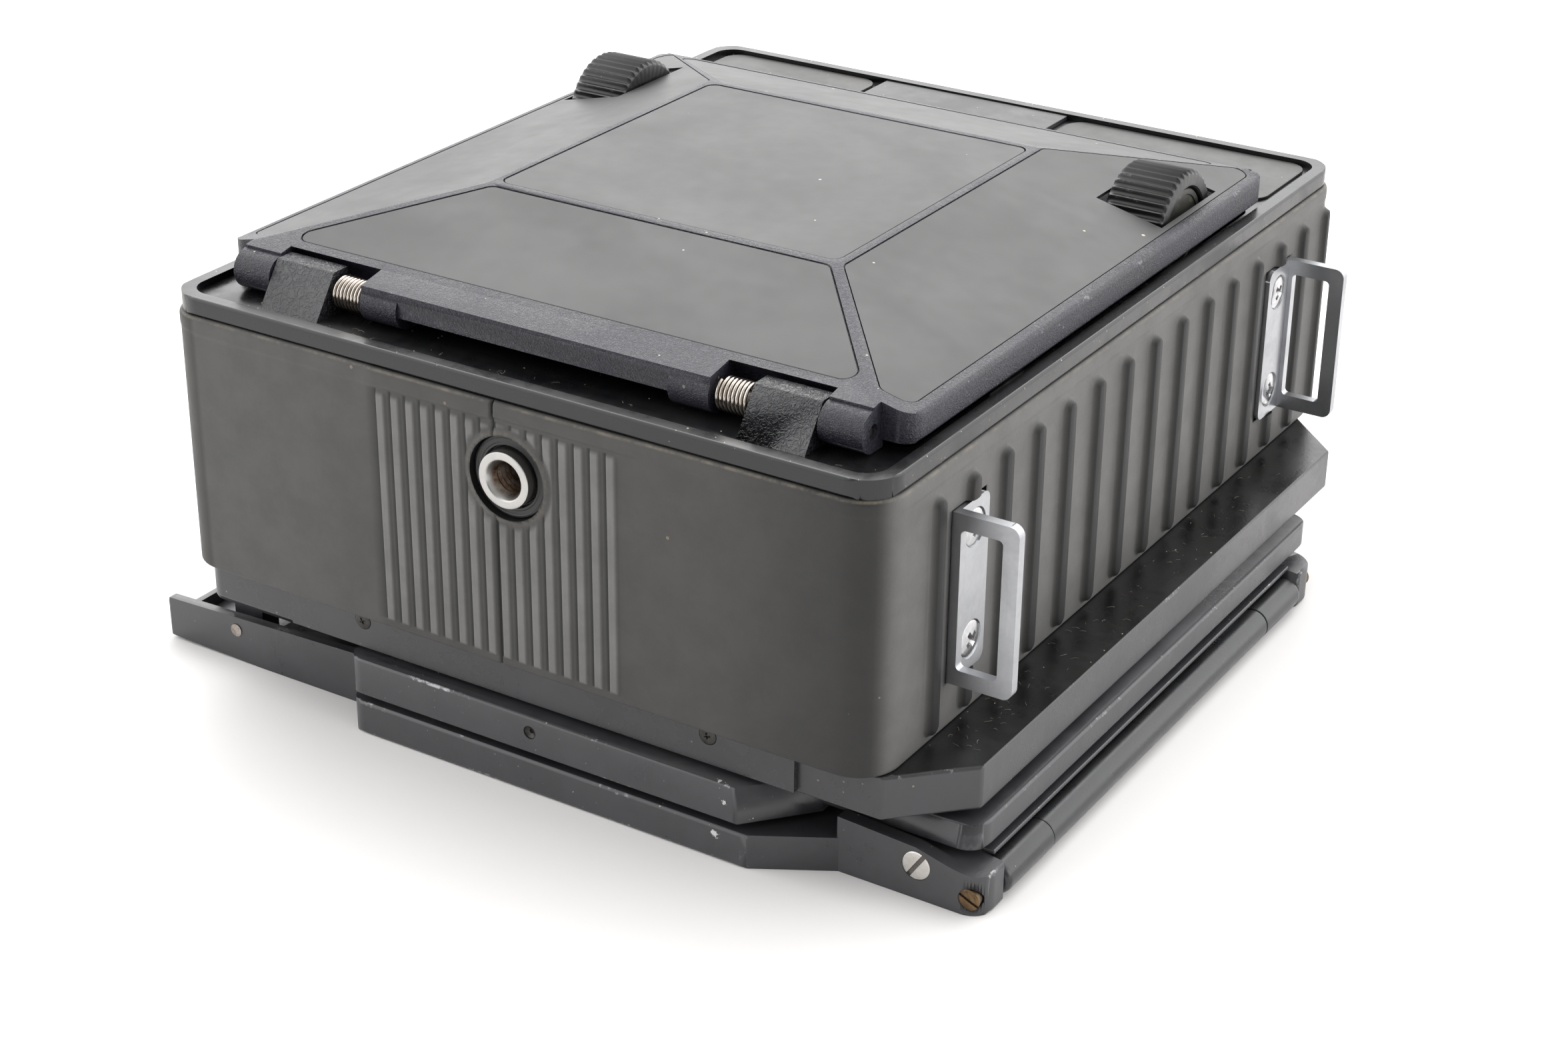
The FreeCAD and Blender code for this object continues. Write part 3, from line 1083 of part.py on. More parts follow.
def spread(points):
    """How far each corner moves, per millimetre, when every side moves outwards."""
    spots = [Vector(side * size(x), size(y), 0) for side, x, y in points]
    count = len(spots)
    turn = 1 if sum(spots[k].cross(spots[(k + 1) % count]).z for k in range(count)) > 0 else -1
    normals = []
    for k in range(count):
        run = (spots[(k + 1) % count] - spots[k]).normalize()
        normals.append(Vector(run.y, -run.x, 0) * turn)
    return [(normals[k - 1] + normals[k]) * (2 / (normals[k - 1] + normals[k]).Length ** 2) for k in range(count)]


def knob_openings(name):
    ys = (deep("pinion_set - knob_slot"), deep("pinion_set + knob_slot"))
    zs = (high("bed_low - overrun"), high("bed_top + overrun"))
    return [block(f"{name}_{SIDE_NAMES[side]}", span(side, "knob_in - knob_slot_gap", "knob_out + knob_slot_gap"),
                  ys, zs) for side in SIDES]


def make_bed():
    top = high("bed_top + overrun")
    axis = (deep("hinge_set"), high("hinge_high"))
    barrel_low = high("hinge_high - barrel_radius")
    plans = [rounded("bed_plan", centred("bed_half"), (deep("bed_front"), deep("bed_far")),
                     (high("bed_low"), top), "bed_corner"),
             block("hinge_bar", centred("barrel_out"), (deep("bar_front"), deep("bed_front + overrun")),
                   (high("bar_under"), top))]
    barrels, slots = [], []
    for side in SIDES:
        name = SIDE_NAMES[side]
        for place, ends in (("inner", span(side, "barrel_in", "barrel_out")),
                            ("outer", span(side, "lug_out + lug_side_gap", "end_barrel"))):
            barrels.append(rod(f"barrel_{place}_{name}", "X", "barrel_radius", ends[0], ends[1], axis))
            plans.append(block(f"barrel_web_{place}_{name}", ends, (deep("hinge_set"), deep("bed_front + overrun")),
                               (barrel_low, top)))
        slots.append(rod(f"hinge_slot_{name}", "X", "slot_radius", *span(side, "barrel_out", "lug_out + lug_side_gap"),
                         axis))
    form = join("bed_form", [bed_slopes("bed_slope", "0"),
                             block("bed_band", centred("bed_half"), (deep("slope_front"), deep("bed_far")),
                                   (barrel_low, high("bed_edge")))])
    outer = common("bed_outer", [join("bed_plans", plans), form])
    shell = cut("bed_shell", outer, bed_inside("bed_hollow") + slots)
    pin_way = rod("pin_way", "X", "hinge_pin + axle_gap / 2", across(-1, "end_barrel + overrun"),
                  across(1, "end_barrel + overrun"), axis)
    recesses = [prism(f"recess_{name}", "XY",
                      [(f"{across(side, x)} + ({move.x:.4f}) * pad_gap", f"{deep(y)} + ({move.y:.4f}) * pad_gap")
                       for (side, x, y), move in zip(points, spread(points))],
                      high("bed_edge - pad_thick"), top, {k: "pad_corner + pad_gap" for k in range(len(points))})
                for name, points in pad_outlines().items()]
    sunk = cut("pad_recesses", join("recess_group", recesses), [bed_slopes("pad_floor", "pad_thick")])
    keep("bed_plate", cut("bed", join("bed_body", [shell] + barrels), [sunk, pin_way] + knob_openings("knob_way")))
    surface, under = bed_slopes("pad_surface", "pad_sunk"), bed_slopes("pad_under", "pad_thick")
    for name, points in pad_outlines().items():
        plan = prism(f"pad_plan_{name}", "XY", [(across(side, x), deep(y)) for side, x, y in points],
                     high("bed_low"), top, {k: "pad_corner" for k in range(len(points))})
        tools = [under] + (knob_openings(f"pad_way_{name}") if name in SIDE_NAMES.values() else [])
        keep(f"bed_pad_{name}", cut(f"pad_{name}", common(f"pad_form_{name}", [plan, surface]), tools))


def make_hinge_pins():
    axis = (deep("hinge_set"), high("hinge_high"))
    pins = [rod(f"hinge_pin_{SIDE_NAMES[side]}", "X", "hinge_pin", *span(side, "pin_start", "pin_end"), axis)
            for side in SIDES]
    keep("hinge_pins", group("hinge_pin_group", pins))


def arc_from(start, tangent, end):
    """The arc that leaves start along tangent and ends at end."""
    chord = end - start
    along = Vector(chord).normalize()
    lift = tangent - along * tangent.dot(along)
    bend = math.atan2(lift.Length, tangent.dot(along))
    middle = (start + end) * 0.5 + lift.normalize() * (chord.Length / 2 * math.tan(bend / 2))
    return Part.Arc(start, middle, end).toShape()


def coil_path(centre, radius, pitch, turns, side):
    """A coil about X as quarter turns of two tangent arcs each, and points along it."""
    steps = 4 * turns
    reach = pitch / (2 * math.pi)

    def point(angle):
        return centre + Vector(side * reach * angle, radius * math.cos(angle), radius * math.sin(angle))

    def heading(angle):
        return Vector(side * reach, -radius * math.sin(angle), radius * math.cos(angle)).normalize()
    edges, points = [], []
    for k in range(steps):
        first, last = k * math.pi / 2, (k + 1) * math.pi / 2
        a, b, ta, tb = point(first), point(last), heading(first), heading(last)
        v, t = b - a, ta + tb
        spread = 2 * (1 - ta.dot(tb))
        length = (-v.dot(t) + math.sqrt(v.dot(t) ** 2 + spread * v.dot(v))) / spread
        joint = (a + b + (ta - tb) * length) * 0.5
        first_arc = arc_from(a, ta, joint)
        reverse = arc_from(b, tb * -1, joint)
        edges += [first_arc, Part.Arc(joint, reverse.valueAt((reverse.FirstParameter + reverse.LastParameter) / 2),
                                      b).toShape()]
        points += [point(first + j * math.pi / 16) for j in range(8)]
    return edges, points, heading(0)


def make_hinge_springs():
    y = size("hinge_set") - size("body_length") / 2
    z = casing_plane() + size("hinge_high")
    wire = size("coil_wire")
    coils = []
    for side in SIDES:
        centre = Vector(size("body_x") + side * size("coil_start"), y, z)
        edges, points, heading = coil_path(centre, size("coil_radius"), size("coil_pitch"), COIL_TURNS, side)
        start = centre + Vector(0, size("coil_radius"), 0)
        section = Part.Wire(Part.makeCircle(wire, start, heading))
        coils.append(solid(f"coil_{SIDE_NAMES[side]}", Part.Wire(edges).makePipeShell([section], True, False)))
        turn = len(points) // COIL_TURNS
        gap = min((points[j] - points[k]).Length for j in range(len(points))
                  for k in range(j + turn // 2, len(points))) - 2 * wire
        print(f"hinge spring {SIDE_NAMES[side]}: least gap to itself {gap:.2f} mm")
    keep("hinge_springs", group("coil_group", coils))


def make_bed_track():
    web_ys = (deep("track_near"), deep("track_far"))
    keeper_low = f"{CARRIAGE_TOP} + part_gap"
    pieces = [block("track_plate", centred("track_half"), web_ys, (high("track_plate_low"), high("track_plate_top")))]
    for side in SIDES:
        name = SIDE_NAMES[side]
        pieces.append(block(f"bed_web_{name}", span(side, "rail_in", "rail_out"), web_ys,
                            (high("track_low"), high("track_plate_low"))))
        pieces.append(block(f"bed_ledge_{name}", span(side, "ledge_in", "rail_in"), web_ys,
                            (high("track_low"), high("track_low + ledge_thick"))))
        pieces.append(block(f"bed_keeper_{name}", span(side, "keeper_in", "rail_in"), web_ys,
                            (high(keeper_low), high(f"{keeper_low} + ledge_thick"))))
        for k in range(3):
            y = deep(f"(flat_front + flat_far) / 2 + ({k - 1}) * (flat_far - flat_front - 4 * post_radius) / 2")
            pieces.append(rod(f"post_{name}_{k + 1}", "Z", "post_radius", high("track_plate_top"),
                              high("bed_top - bed_skin"), (across(side, "post_side"), y)))
    clearances = [rod("shaft_way", "X", "shaft_radius + axle_gap", across(-1, "track_half + overrun"),
                      across(1, "track_half + overrun"), (deep("pinion_set"), high("pinion_high")))]
    reach = f"{PINION_TEETH} * tooth_size / 2 + tooth_rise + overrun"
    for side in SIDES:
        clearances.append(block(f"gear_window_{SIDE_NAMES[side]}", span(side, "gear_in - overrun", "gear_out + overrun"),
                                (deep(f"pinion_set - ({reach})"), deep(f"pinion_set + ({reach})")),
                                (high("track_plate_low - overrun"), high("track_plate_top + overrun"))))
    keep("bed_track", cut("track", join("track_body", pieces), clearances))


def make_bearing_blocks():
    blocks = []
    for side in SIDES:
        name = SIDE_NAMES[side]
        body = block(f"bearing_{name}", span(side, "block_in", "block_out"),
                     (deep("pinion_set - block_half"), deep("pinion_set + block_half")),
                     (high("block_low"), high("block_top")))
        bore = rod(f"bearing_bore_{name}", "X", "shaft_radius + axle_gap",
                   *span(side, "block_in - overrun", "block_out + overrun"), (deep("pinion_set"), high("pinion_high")))
        room = join(f"bearing_room_{name}", bed_inside(f"bearing_inside_{name}"))
        blocks.append(cut(f"bearing_block_{name}", common(f"bearing_form_{name}", [body, room]), [bore]))
    keep("bearing_blocks", group("bearing_group", blocks))


def make_struts():
    brackets, pins = [], []
    at = (deep("strut_set"), high("strut_high"))
    for side in SIDES:
        name = SIDE_NAMES[side]
        inner = "strut_in + strut_thick + part_gap"
        body = block(f"strut_bracket_{name}", span(side, inner, "bracket_out"),
                     (deep("strut_set - bracket_half"), deep("strut_set + bracket_half")),
                     (high("bracket_low"), high("bracket_top")))
        hole = rod(f"bracket_hole_{name}", "X", "strut_pin + axle_gap / 2",
                   *span(side, f"{inner} - overrun", "bracket_out + overrun"), at)
        brackets.append(cut(f"bracket_{name}", body, [hole]))
        pins.append(rod(f"strut_pin_{name}", "X", "strut_pin", *span(side, "strut_in - part_gap", "bracket_out"), at))
        ends = span(side, "strut_in", "strut_in + strut_thick")
        pieces = [block(f"strut_bar_{name}", ends, (deep("strut_set"), deep("strut_set + strut_reach")),
                        (high("strut_high - strut_half"), high("strut_high + strut_half"))),
                  rod(f"strut_heel_{name}", "X", "strut_half", ends[0], ends[1], at),
                  rod(f"strut_toe_{name}", "X", "strut_half", ends[0], ends[1],
                      (deep("strut_set + strut_reach"), high("strut_high"))),
                  rod(f"strut_peg_{name}", "X", "strut_pin", *span(side, "strut_in - overrun", "strut_in + part_gap"),
                      (deep("strut_set + strut_reach"), high("strut_high")))]
        eye = rod(f"strut_eye_{name}", "X", "strut_pin + axle_gap",
                  *span(side, "strut_in - overrun", "strut_in + strut_thick + overrun"), at)
        keep(f"strut_{name}", cut(f"strut_body_{name}", join(f"strut_pieces_{name}", pieces), [eye]))
    keep("strut_brackets", group("bracket_group", brackets))
    keep("strut_pins", group("strut_pin_group", pins))
    guides = []
    for side in SIDES:
        name = SIDE_NAMES[side]
        inner_wall = "body_width / 2 - rubber_wall - casing_wall"
        rail = block(f"guide_{name}", span(side, "guide_in", inner_wall), (deep("guide_near"), deep("guide_far")),
                     (high("guide_low"), high("guide_top")))
        middle = "(guide_low + guide_top) / 2"
        slot = block(f"guide_slot_{name}", span(side, "guide_in - overrun", "guide_in + guide_slot_depth"),
                     (deep("guide_near + bracket_half"), deep("guide_far - bracket_half")),
                     (high(f"{middle} - guide_slot"), high(f"{middle} + guide_slot")))
        guides.append(cut(f"strut_guide_{name}", rail, [slot]))
    keep("strut_guides", group("guide_group", guides))


def make_latch():
    catches = [block(f"catch_{SIDE_NAMES[side]}", span(side, "catch_in", "catch_out"),
                     (deep("catch_near"), deep("catch_far")), (high("catch_low"), high("catch_top")))
               for side in SIDES]
    keep("bed_catches", group("catch_group", catches))
    zs = (high("tongue_low"), high("tongue_top"))
    pieces = [block("latch_beam", centred("catch_out"), (deep("latch_near"), deep("latch_far")), zs)]
    for side in SIDES:
        pieces.append(block(f"tongue_{SIDE_NAMES[side]}", span(side, "catch_in", "catch_out"),
                            (deep("tongue_tip"), deep("latch_near")), zs))
    keep("latch_bar", join("latch", pieces))
    keep("latch_button", rod("button", "Y", "button_radius", deep("latch_far"), f"{FAR_FACE} + button_proud",
                             (across(1, "0"), high("button_high"))))


# Focusing drive

def gear_outline(teeth, module, rise, fall, play):
    """Outline of an involute gear with one tooth along +Y, as a list of points."""
    pitch = module * teeth / 2
    base = pitch * math.cos(PRESSURE_ANGLE)
    root, tip = pitch - fall, pitch + rise

    def involute(radius):
        angle = math.acos(min(1, base / radius))
        return math.tan(angle) - angle
    half_tooth = math.pi / (2 * teeth) - play / (2 * pitch)
    radii = [base + j * (tip - base) / 4 for j in range(5)]
    flank = [(r, half_tooth + involute(pitch) - involute(r)) for r in radii]
    flank = [(root, flank[0][1])] + flank
    points = []
    for k in range(teeth):
        middle = math.pi / 2 + 2 * math.pi * k / teeth
        points += [(r, middle - a) for r, a in flank] + [(r, middle + a) for r, a in reversed(flank)]
    return [(r * math.cos(a), r * math.sin(a)) for r, a in points]


def extruded(outline, low_x, length, y, z):
    """A solid along X from an outline in the YZ plane."""
    corners = [Vector(low_x, y + a, z + b) for a, b in outline]
    return Part.Face(Part.makePolygon(corners + corners[:1])).extrude(Vector(length, 0, 0))


def make_drive():
    y = size("pinion_set") - size("body_length") / 2
    z = casing_plane() + size("pinion_high")
    middle = size("body_x")
    at = (deep("pinion_set"), high("pinion_high"))
    keep("pinion_shaft", rod("shaft", "X", "shaft_radius", *centred("shaft_half"), at))
    outline = gear_outline(PINION_TEETH, size("tooth_size"), size("tooth_rise"), size("tooth_fall"),
                           size("tooth_play"))
    bore = Part.makeCylinder(size("shaft_radius") + size("axle_gap") / 2, 2 * size("knob_out"),
                             Vector(middle - size("knob_out"), y, z), Vector(1, 0, 0))
    gears = []
    for side in SIDES:
        low = middle + min(side * size("gear_in"), side * size("gear_out"))
        gear = extruded([(a, -b) for a, b in outline], low, size("gear_out") - size("gear_in"), y, z).cut(bore)
        gears.append(solid(f"gear_{SIDE_NAMES[side]}", gear))
    keep("pinion_gears", group("gear_group", gears))
    ridge = math.pi / KNURL_COUNT
    knurl = []
    for k in range(KNURL_COUNT):
        for step, drop in ((-0.62, 1), (-0.34, 0), (0.34, 0), (0.62, 1)):
            angle = 2 * ridge * k + step * ridge
            radius = size("knob_radius") - drop * size("knurl_depth")
            knurl.append((radius * math.cos(angle), radius * math.sin(angle)))
    caps = []
    for side in SIDES:
        name = SIDE_NAMES[side]
        low = middle + min(side * size("knob_in"), side * size("knob_out"))
        drum = solid(f"knob_drum_{name}", extruded(knurl, low, size("knob_out") - size("knob_in"), y, z).cut(bore))
        hollow = rod(f"knob_recess_{name}", "X", "cap_radius + part_gap",
                     *span(side, "knob_out - cap_recess", "knob_out + overrun"), at)
        keep(f"focus_knob_{name}", cut(f"knob_{name}", drum, [hollow]))
        caps.append(rod(f"cap_{name}", "X", "cap_radius", *span(side, "knob_out - cap_recess",
                                                                "knob_out - cap_recess + cap_thick"), at))
    keep("knob_caps", group("cap_group", caps))


def rack_outline(near, far, low, pitch_line, middle):
    """Outline of a rack that meets a pinion's tooth with one of its gaps."""
    module, play = size("tooth_size"), size("tooth_play")
    step = math.pi * module
    rise, fall = size("tooth_rise"), size("tooth_fall")
    slope = math.tan(PRESSURE_ANGLE)
    half = step / 4 - play / 2
    first = math.ceil((near - middle + half + fall * slope) / step - 0.5)
    last = math.floor((far - middle - half - fall * slope) / step - 0.5)
    points = [(near, low), (near, pitch_line - fall)]
    for k in range(first, last + 1):
        centre = middle + (k + 0.5) * step
        points += [(centre - half - fall * slope, pitch_line - fall), (centre - half + rise * slope, pitch_line + rise),
                   (centre + half - rise * slope, pitch_line + rise), (centre + half + fall * slope, pitch_line - fall)]
    return points + [(far, pitch_line - fall), (far, low)]


def make_carriage():
    plate = block("carriage", centred("rail_in - part_gap"), (deep("carriage_near"), deep("carriage_far")),
                  (high(CARRIAGE_LOW), high(CARRIAGE_TOP)))
    keep("focus_carriage", plate)
    y = size("pinion_set") - size("body_length") / 2
    front = -size("body_length") / 2
    top = casing_plane() + size("track_low") + size("ledge_thick") + size("part_gap") + size("carriage_thick")
    pitch_line = casing_plane() + size("pinion_high") - size("tooth_size") * PINION_TEETH / 2
    inset = size("overrun")
    outline = rack_outline(front + size("carriage_near") + inset, front + size("carriage_far") - inset, top,
                           pitch_line, y)
    racks = []
    for side in SIDES:
        low = size("body_x") + min(side * size("rack_in"), side * size("rack_out"))
        racks.append(solid(f"rack_{SIDE_NAMES[side]}", extruded(outline, low, size("rack_out") - size("rack_in"), 0, 0)))
    keep("focus_racks", group("rack_group", racks))


BUILDERS = (make_casing, make_rubber, make_front_frame, make_deck, make_tripod_socket, make_strap_lugs,
            make_rear_frame, make_back_frame, make_glass_frame, make_bellows, make_inner_rails, make_standard,
            make_bed, make_hinge_pins, make_hinge_springs, make_bed_track, make_bearing_blocks, make_struts,
            make_latch, make_drive, make_carriage)

for builder in BUILDERS:
    builder()
doc.recompute()

failed = [item.Label for item in doc.Objects if {"Invalid", "Error"} & set(item.State)]
if failed:
    raise SystemExit("failed objects: " + ", ".join(failed))
for node in NODES:
    if node.Shape.isNull() or not node.Shape.isValid() or not node.Shape.Solids:
        raise SystemExit(f"{node.Label} has no valid solid")

os.makedirs("parts", exist_ok=True)
for node in NODES:
    node.Shape.exportStep(f"parts/{node.Label}.step")
print(f"{len(NODES)} nodes written")
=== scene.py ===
"""Looks of a large format field camera, lying closed on its back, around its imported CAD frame.

Design millimetres are used throughout: x from the middle of the body, y from the tripod face and
z above the rear plane of the casing. ``at`` turns them into the metres of the frame.
"""

import json
import logging
import math
from dataclasses import dataclass, field
from enum import Enum
from typing import Callable, Iterable, Optional, Sequence, Union

import bmesh
import bpy
import numpy as np
from bmesh.types import BMesh
from bpy.types import Material, Node, NodeSocket, NodeTree, Object
from mathutils import Matrix, Vector

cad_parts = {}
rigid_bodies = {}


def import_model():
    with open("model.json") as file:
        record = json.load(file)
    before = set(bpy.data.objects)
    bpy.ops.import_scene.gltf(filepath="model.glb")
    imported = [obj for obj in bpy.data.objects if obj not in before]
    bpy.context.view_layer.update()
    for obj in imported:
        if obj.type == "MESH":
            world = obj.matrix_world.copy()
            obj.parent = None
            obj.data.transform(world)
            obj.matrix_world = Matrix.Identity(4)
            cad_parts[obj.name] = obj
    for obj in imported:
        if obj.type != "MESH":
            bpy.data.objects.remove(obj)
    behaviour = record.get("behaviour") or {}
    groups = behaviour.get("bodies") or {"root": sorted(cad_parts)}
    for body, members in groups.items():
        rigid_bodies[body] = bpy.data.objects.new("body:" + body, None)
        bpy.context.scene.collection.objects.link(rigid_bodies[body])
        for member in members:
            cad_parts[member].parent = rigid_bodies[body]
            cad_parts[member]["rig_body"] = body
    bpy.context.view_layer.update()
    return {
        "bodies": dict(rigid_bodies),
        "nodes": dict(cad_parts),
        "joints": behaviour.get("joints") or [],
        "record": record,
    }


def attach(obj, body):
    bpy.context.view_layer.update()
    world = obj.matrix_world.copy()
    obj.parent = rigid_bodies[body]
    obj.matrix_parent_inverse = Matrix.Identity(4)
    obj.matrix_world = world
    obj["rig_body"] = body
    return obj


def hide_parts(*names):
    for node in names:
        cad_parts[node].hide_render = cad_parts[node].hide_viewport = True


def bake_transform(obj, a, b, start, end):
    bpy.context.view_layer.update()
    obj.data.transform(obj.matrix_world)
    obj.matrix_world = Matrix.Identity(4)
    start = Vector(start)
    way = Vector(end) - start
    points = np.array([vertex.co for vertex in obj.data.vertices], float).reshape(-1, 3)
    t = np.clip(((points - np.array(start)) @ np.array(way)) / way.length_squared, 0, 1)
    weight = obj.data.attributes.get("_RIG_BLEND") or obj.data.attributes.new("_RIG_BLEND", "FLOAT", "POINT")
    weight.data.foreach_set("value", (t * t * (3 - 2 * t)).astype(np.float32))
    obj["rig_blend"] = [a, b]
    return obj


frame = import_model()

LOG = logging.getLogger("field_camera")
FRAME_SHIFT = (-2.0, -107.0, 28.4)
SOCKET_X, SOCKET_Z = 2.3, 42.7
BUTTON_Z = 46.7

Colour = tuple[float, float, float]
Feed = Union[float, tuple, NodeSocket]
Point = tuple[float, float, float]


def at(x: float, y: float, z: float) -> Vector:
    """Turn design millimetres into metres of the frame.

    Args:
        x: distance from the middle of the body.
        y: distance from the tripod face.
        z: height above the rear plane of the casing.

    Returns:
        The point in metres.
    """
    return Vector((x + FRAME_SHIFT[0], y + FRAME_SHIFT[1], z + FRAME_SHIFT[2])) / 1000


def design(place: Vector) -> Point:
    """Turn metres of the frame back into design millimetres."""
    return tuple(place[i] * 1000 - FRAME_SHIFT[i] for i in range(3))


def smoothstep(low: float, high: float, value: np.ndarray) -> np.ndarray:
    """Ease from 0 to 1 between two values.

    Args:
        low: value where the result is 0.
        high: value where the result is 1.
        value: what is eased.

    Returns:
        The eased values.
    """
    t = np.clip((value - low) / (high - low), 0, 1)
    return t * t * (3 - 2 * t)


# Shading


class Grain(Enum):
    """The fine relief of a surface."""

    PEEL = "peel"
    WRINKLE = "wrinkle"
    CAST = "cast"
    BRUSHED = "brushed"
    LEATHER = "leather"
    FROST = "frost"


class Graph:
    """A node tree with short ways to add and join its nodes."""

    def __init__(self, tree: NodeTree) -> None:
        """Take over a tree and empty it."""
        self.tree = tree
        tree.nodes.clear()

    def feed(self, socket: NodeSocket, value: Feed) -> None:
        """Give a socket a value or a link.

        Args:
            socket: the socket.
            value: the number, the colour or the output that goes into it.
        """
        if isinstance(value, NodeSocket):
            self.tree.links.new(value, socket)
        elif isinstance(value, tuple) and len(value) == 3 and len(socket.default_value) == 4:
            socket.default_value = (*value, 1)
        else:
            socket.default_value = value

    def add(self, kind: str, inputs: Optional[dict] = None, **settings: object) -> Node:
        """Add a node.

        Args:
            kind: the node's type name without its ShaderNode prefix.
            inputs: what goes into the node's sockets, by name or number.
            settings: properties of the node.

        Returns:
            The new node.
        """
        node = self.tree.nodes.new(kind if kind.startswith("Node") else f"ShaderNode{kind}")
        for key, value in settings.items():
            setattr(node, key, value)
        for key, value in (inputs or {}).items():
            self.feed(node.inputs[key], value)
        return node

    def math(self, operation: str, a: Feed, b: Feed = 0.0, clamp: bool = False) -> NodeSocket:
        """Add a math node and return its result."""
        return self.add("Math", {0: a, 1: b}, operation=operation, use_clamp=clamp).outputs[0]

    def plus(self, a: Feed, b: Feed, clamp: bool = False) -> NodeSocket:
        """Add two numbers and return the result."""
        return self.math("ADD", a, b, clamp=clamp)

    def minus(self, a: Feed, b: Feed) -> NodeSocket:
        """Subtract a number and return the result."""
        return self.math("SUBTRACT", a, b)

    def times(self, a: Feed, b: Feed, clamp: bool = False) -> NodeSocket:
        """Multiply two numbers and return the result."""
        return self.math("MULTIPLY", a, b, clamp=clamp)

    def mix(self, factor: Feed, a: Feed, b: Feed) -> NodeSocket:
        """Mix two numbers and return the result."""
        return self.add("Mix", {0: factor, 2: a, 3: b}, data_type="FLOAT").outputs[0]

    def blend(self, factor: Feed, a: Feed, b: Feed) -> NodeSocket:
        """Mix two colours and return the result."""
        return self.add("Mix", {0: factor, 6: a, 7: b}, data_type="RGBA").outputs[2]

    def ease(self, value: Feed, low: float, high: float, start: float = 0, end: float = 1) -> NodeSocket:
        """Map a value smoothly between two limits and return the result."""
        inputs = {0: value, 1: low, 2: high, 3: start, 4: end}
        return self.add("MapRange", inputs, interpolation_type="SMOOTHSTEP").outputs[0]

    def noise(self, scale: Feed, detail: float = 2, rough: float = 0.5, place: Optional[Feed] = None,
              warp: float = 0) -> NodeSocket:
        """Add noise.

        Args:
            scale: lumps in a metre.
            detail: octaves of the noise.
            rough: weight of the finer octaves.
            place: coordinates, or none for the piece's own.
            warp: distortion.

        Returns:
            The noise's value.
        """
        inputs = {"Scale": scale, "Detail": detail, "Roughness": rough, "Distortion": warp,
                  "Vector": self.place() if place is None else place}
        return self.add("TexNoise", inputs).outputs[0]

    def place(self) -> NodeSocket:
        """Return the piece's own coordinates."""
        return self.add("TexCoord").outputs["Object"]

    def mask(self, attribute: str) -> NodeSocket:
        """Return a number stored on the piece's mesh."""
        return self.add("Attribute", attribute_name=attribute, attribute_type="GEOMETRY").outputs["Fac"]


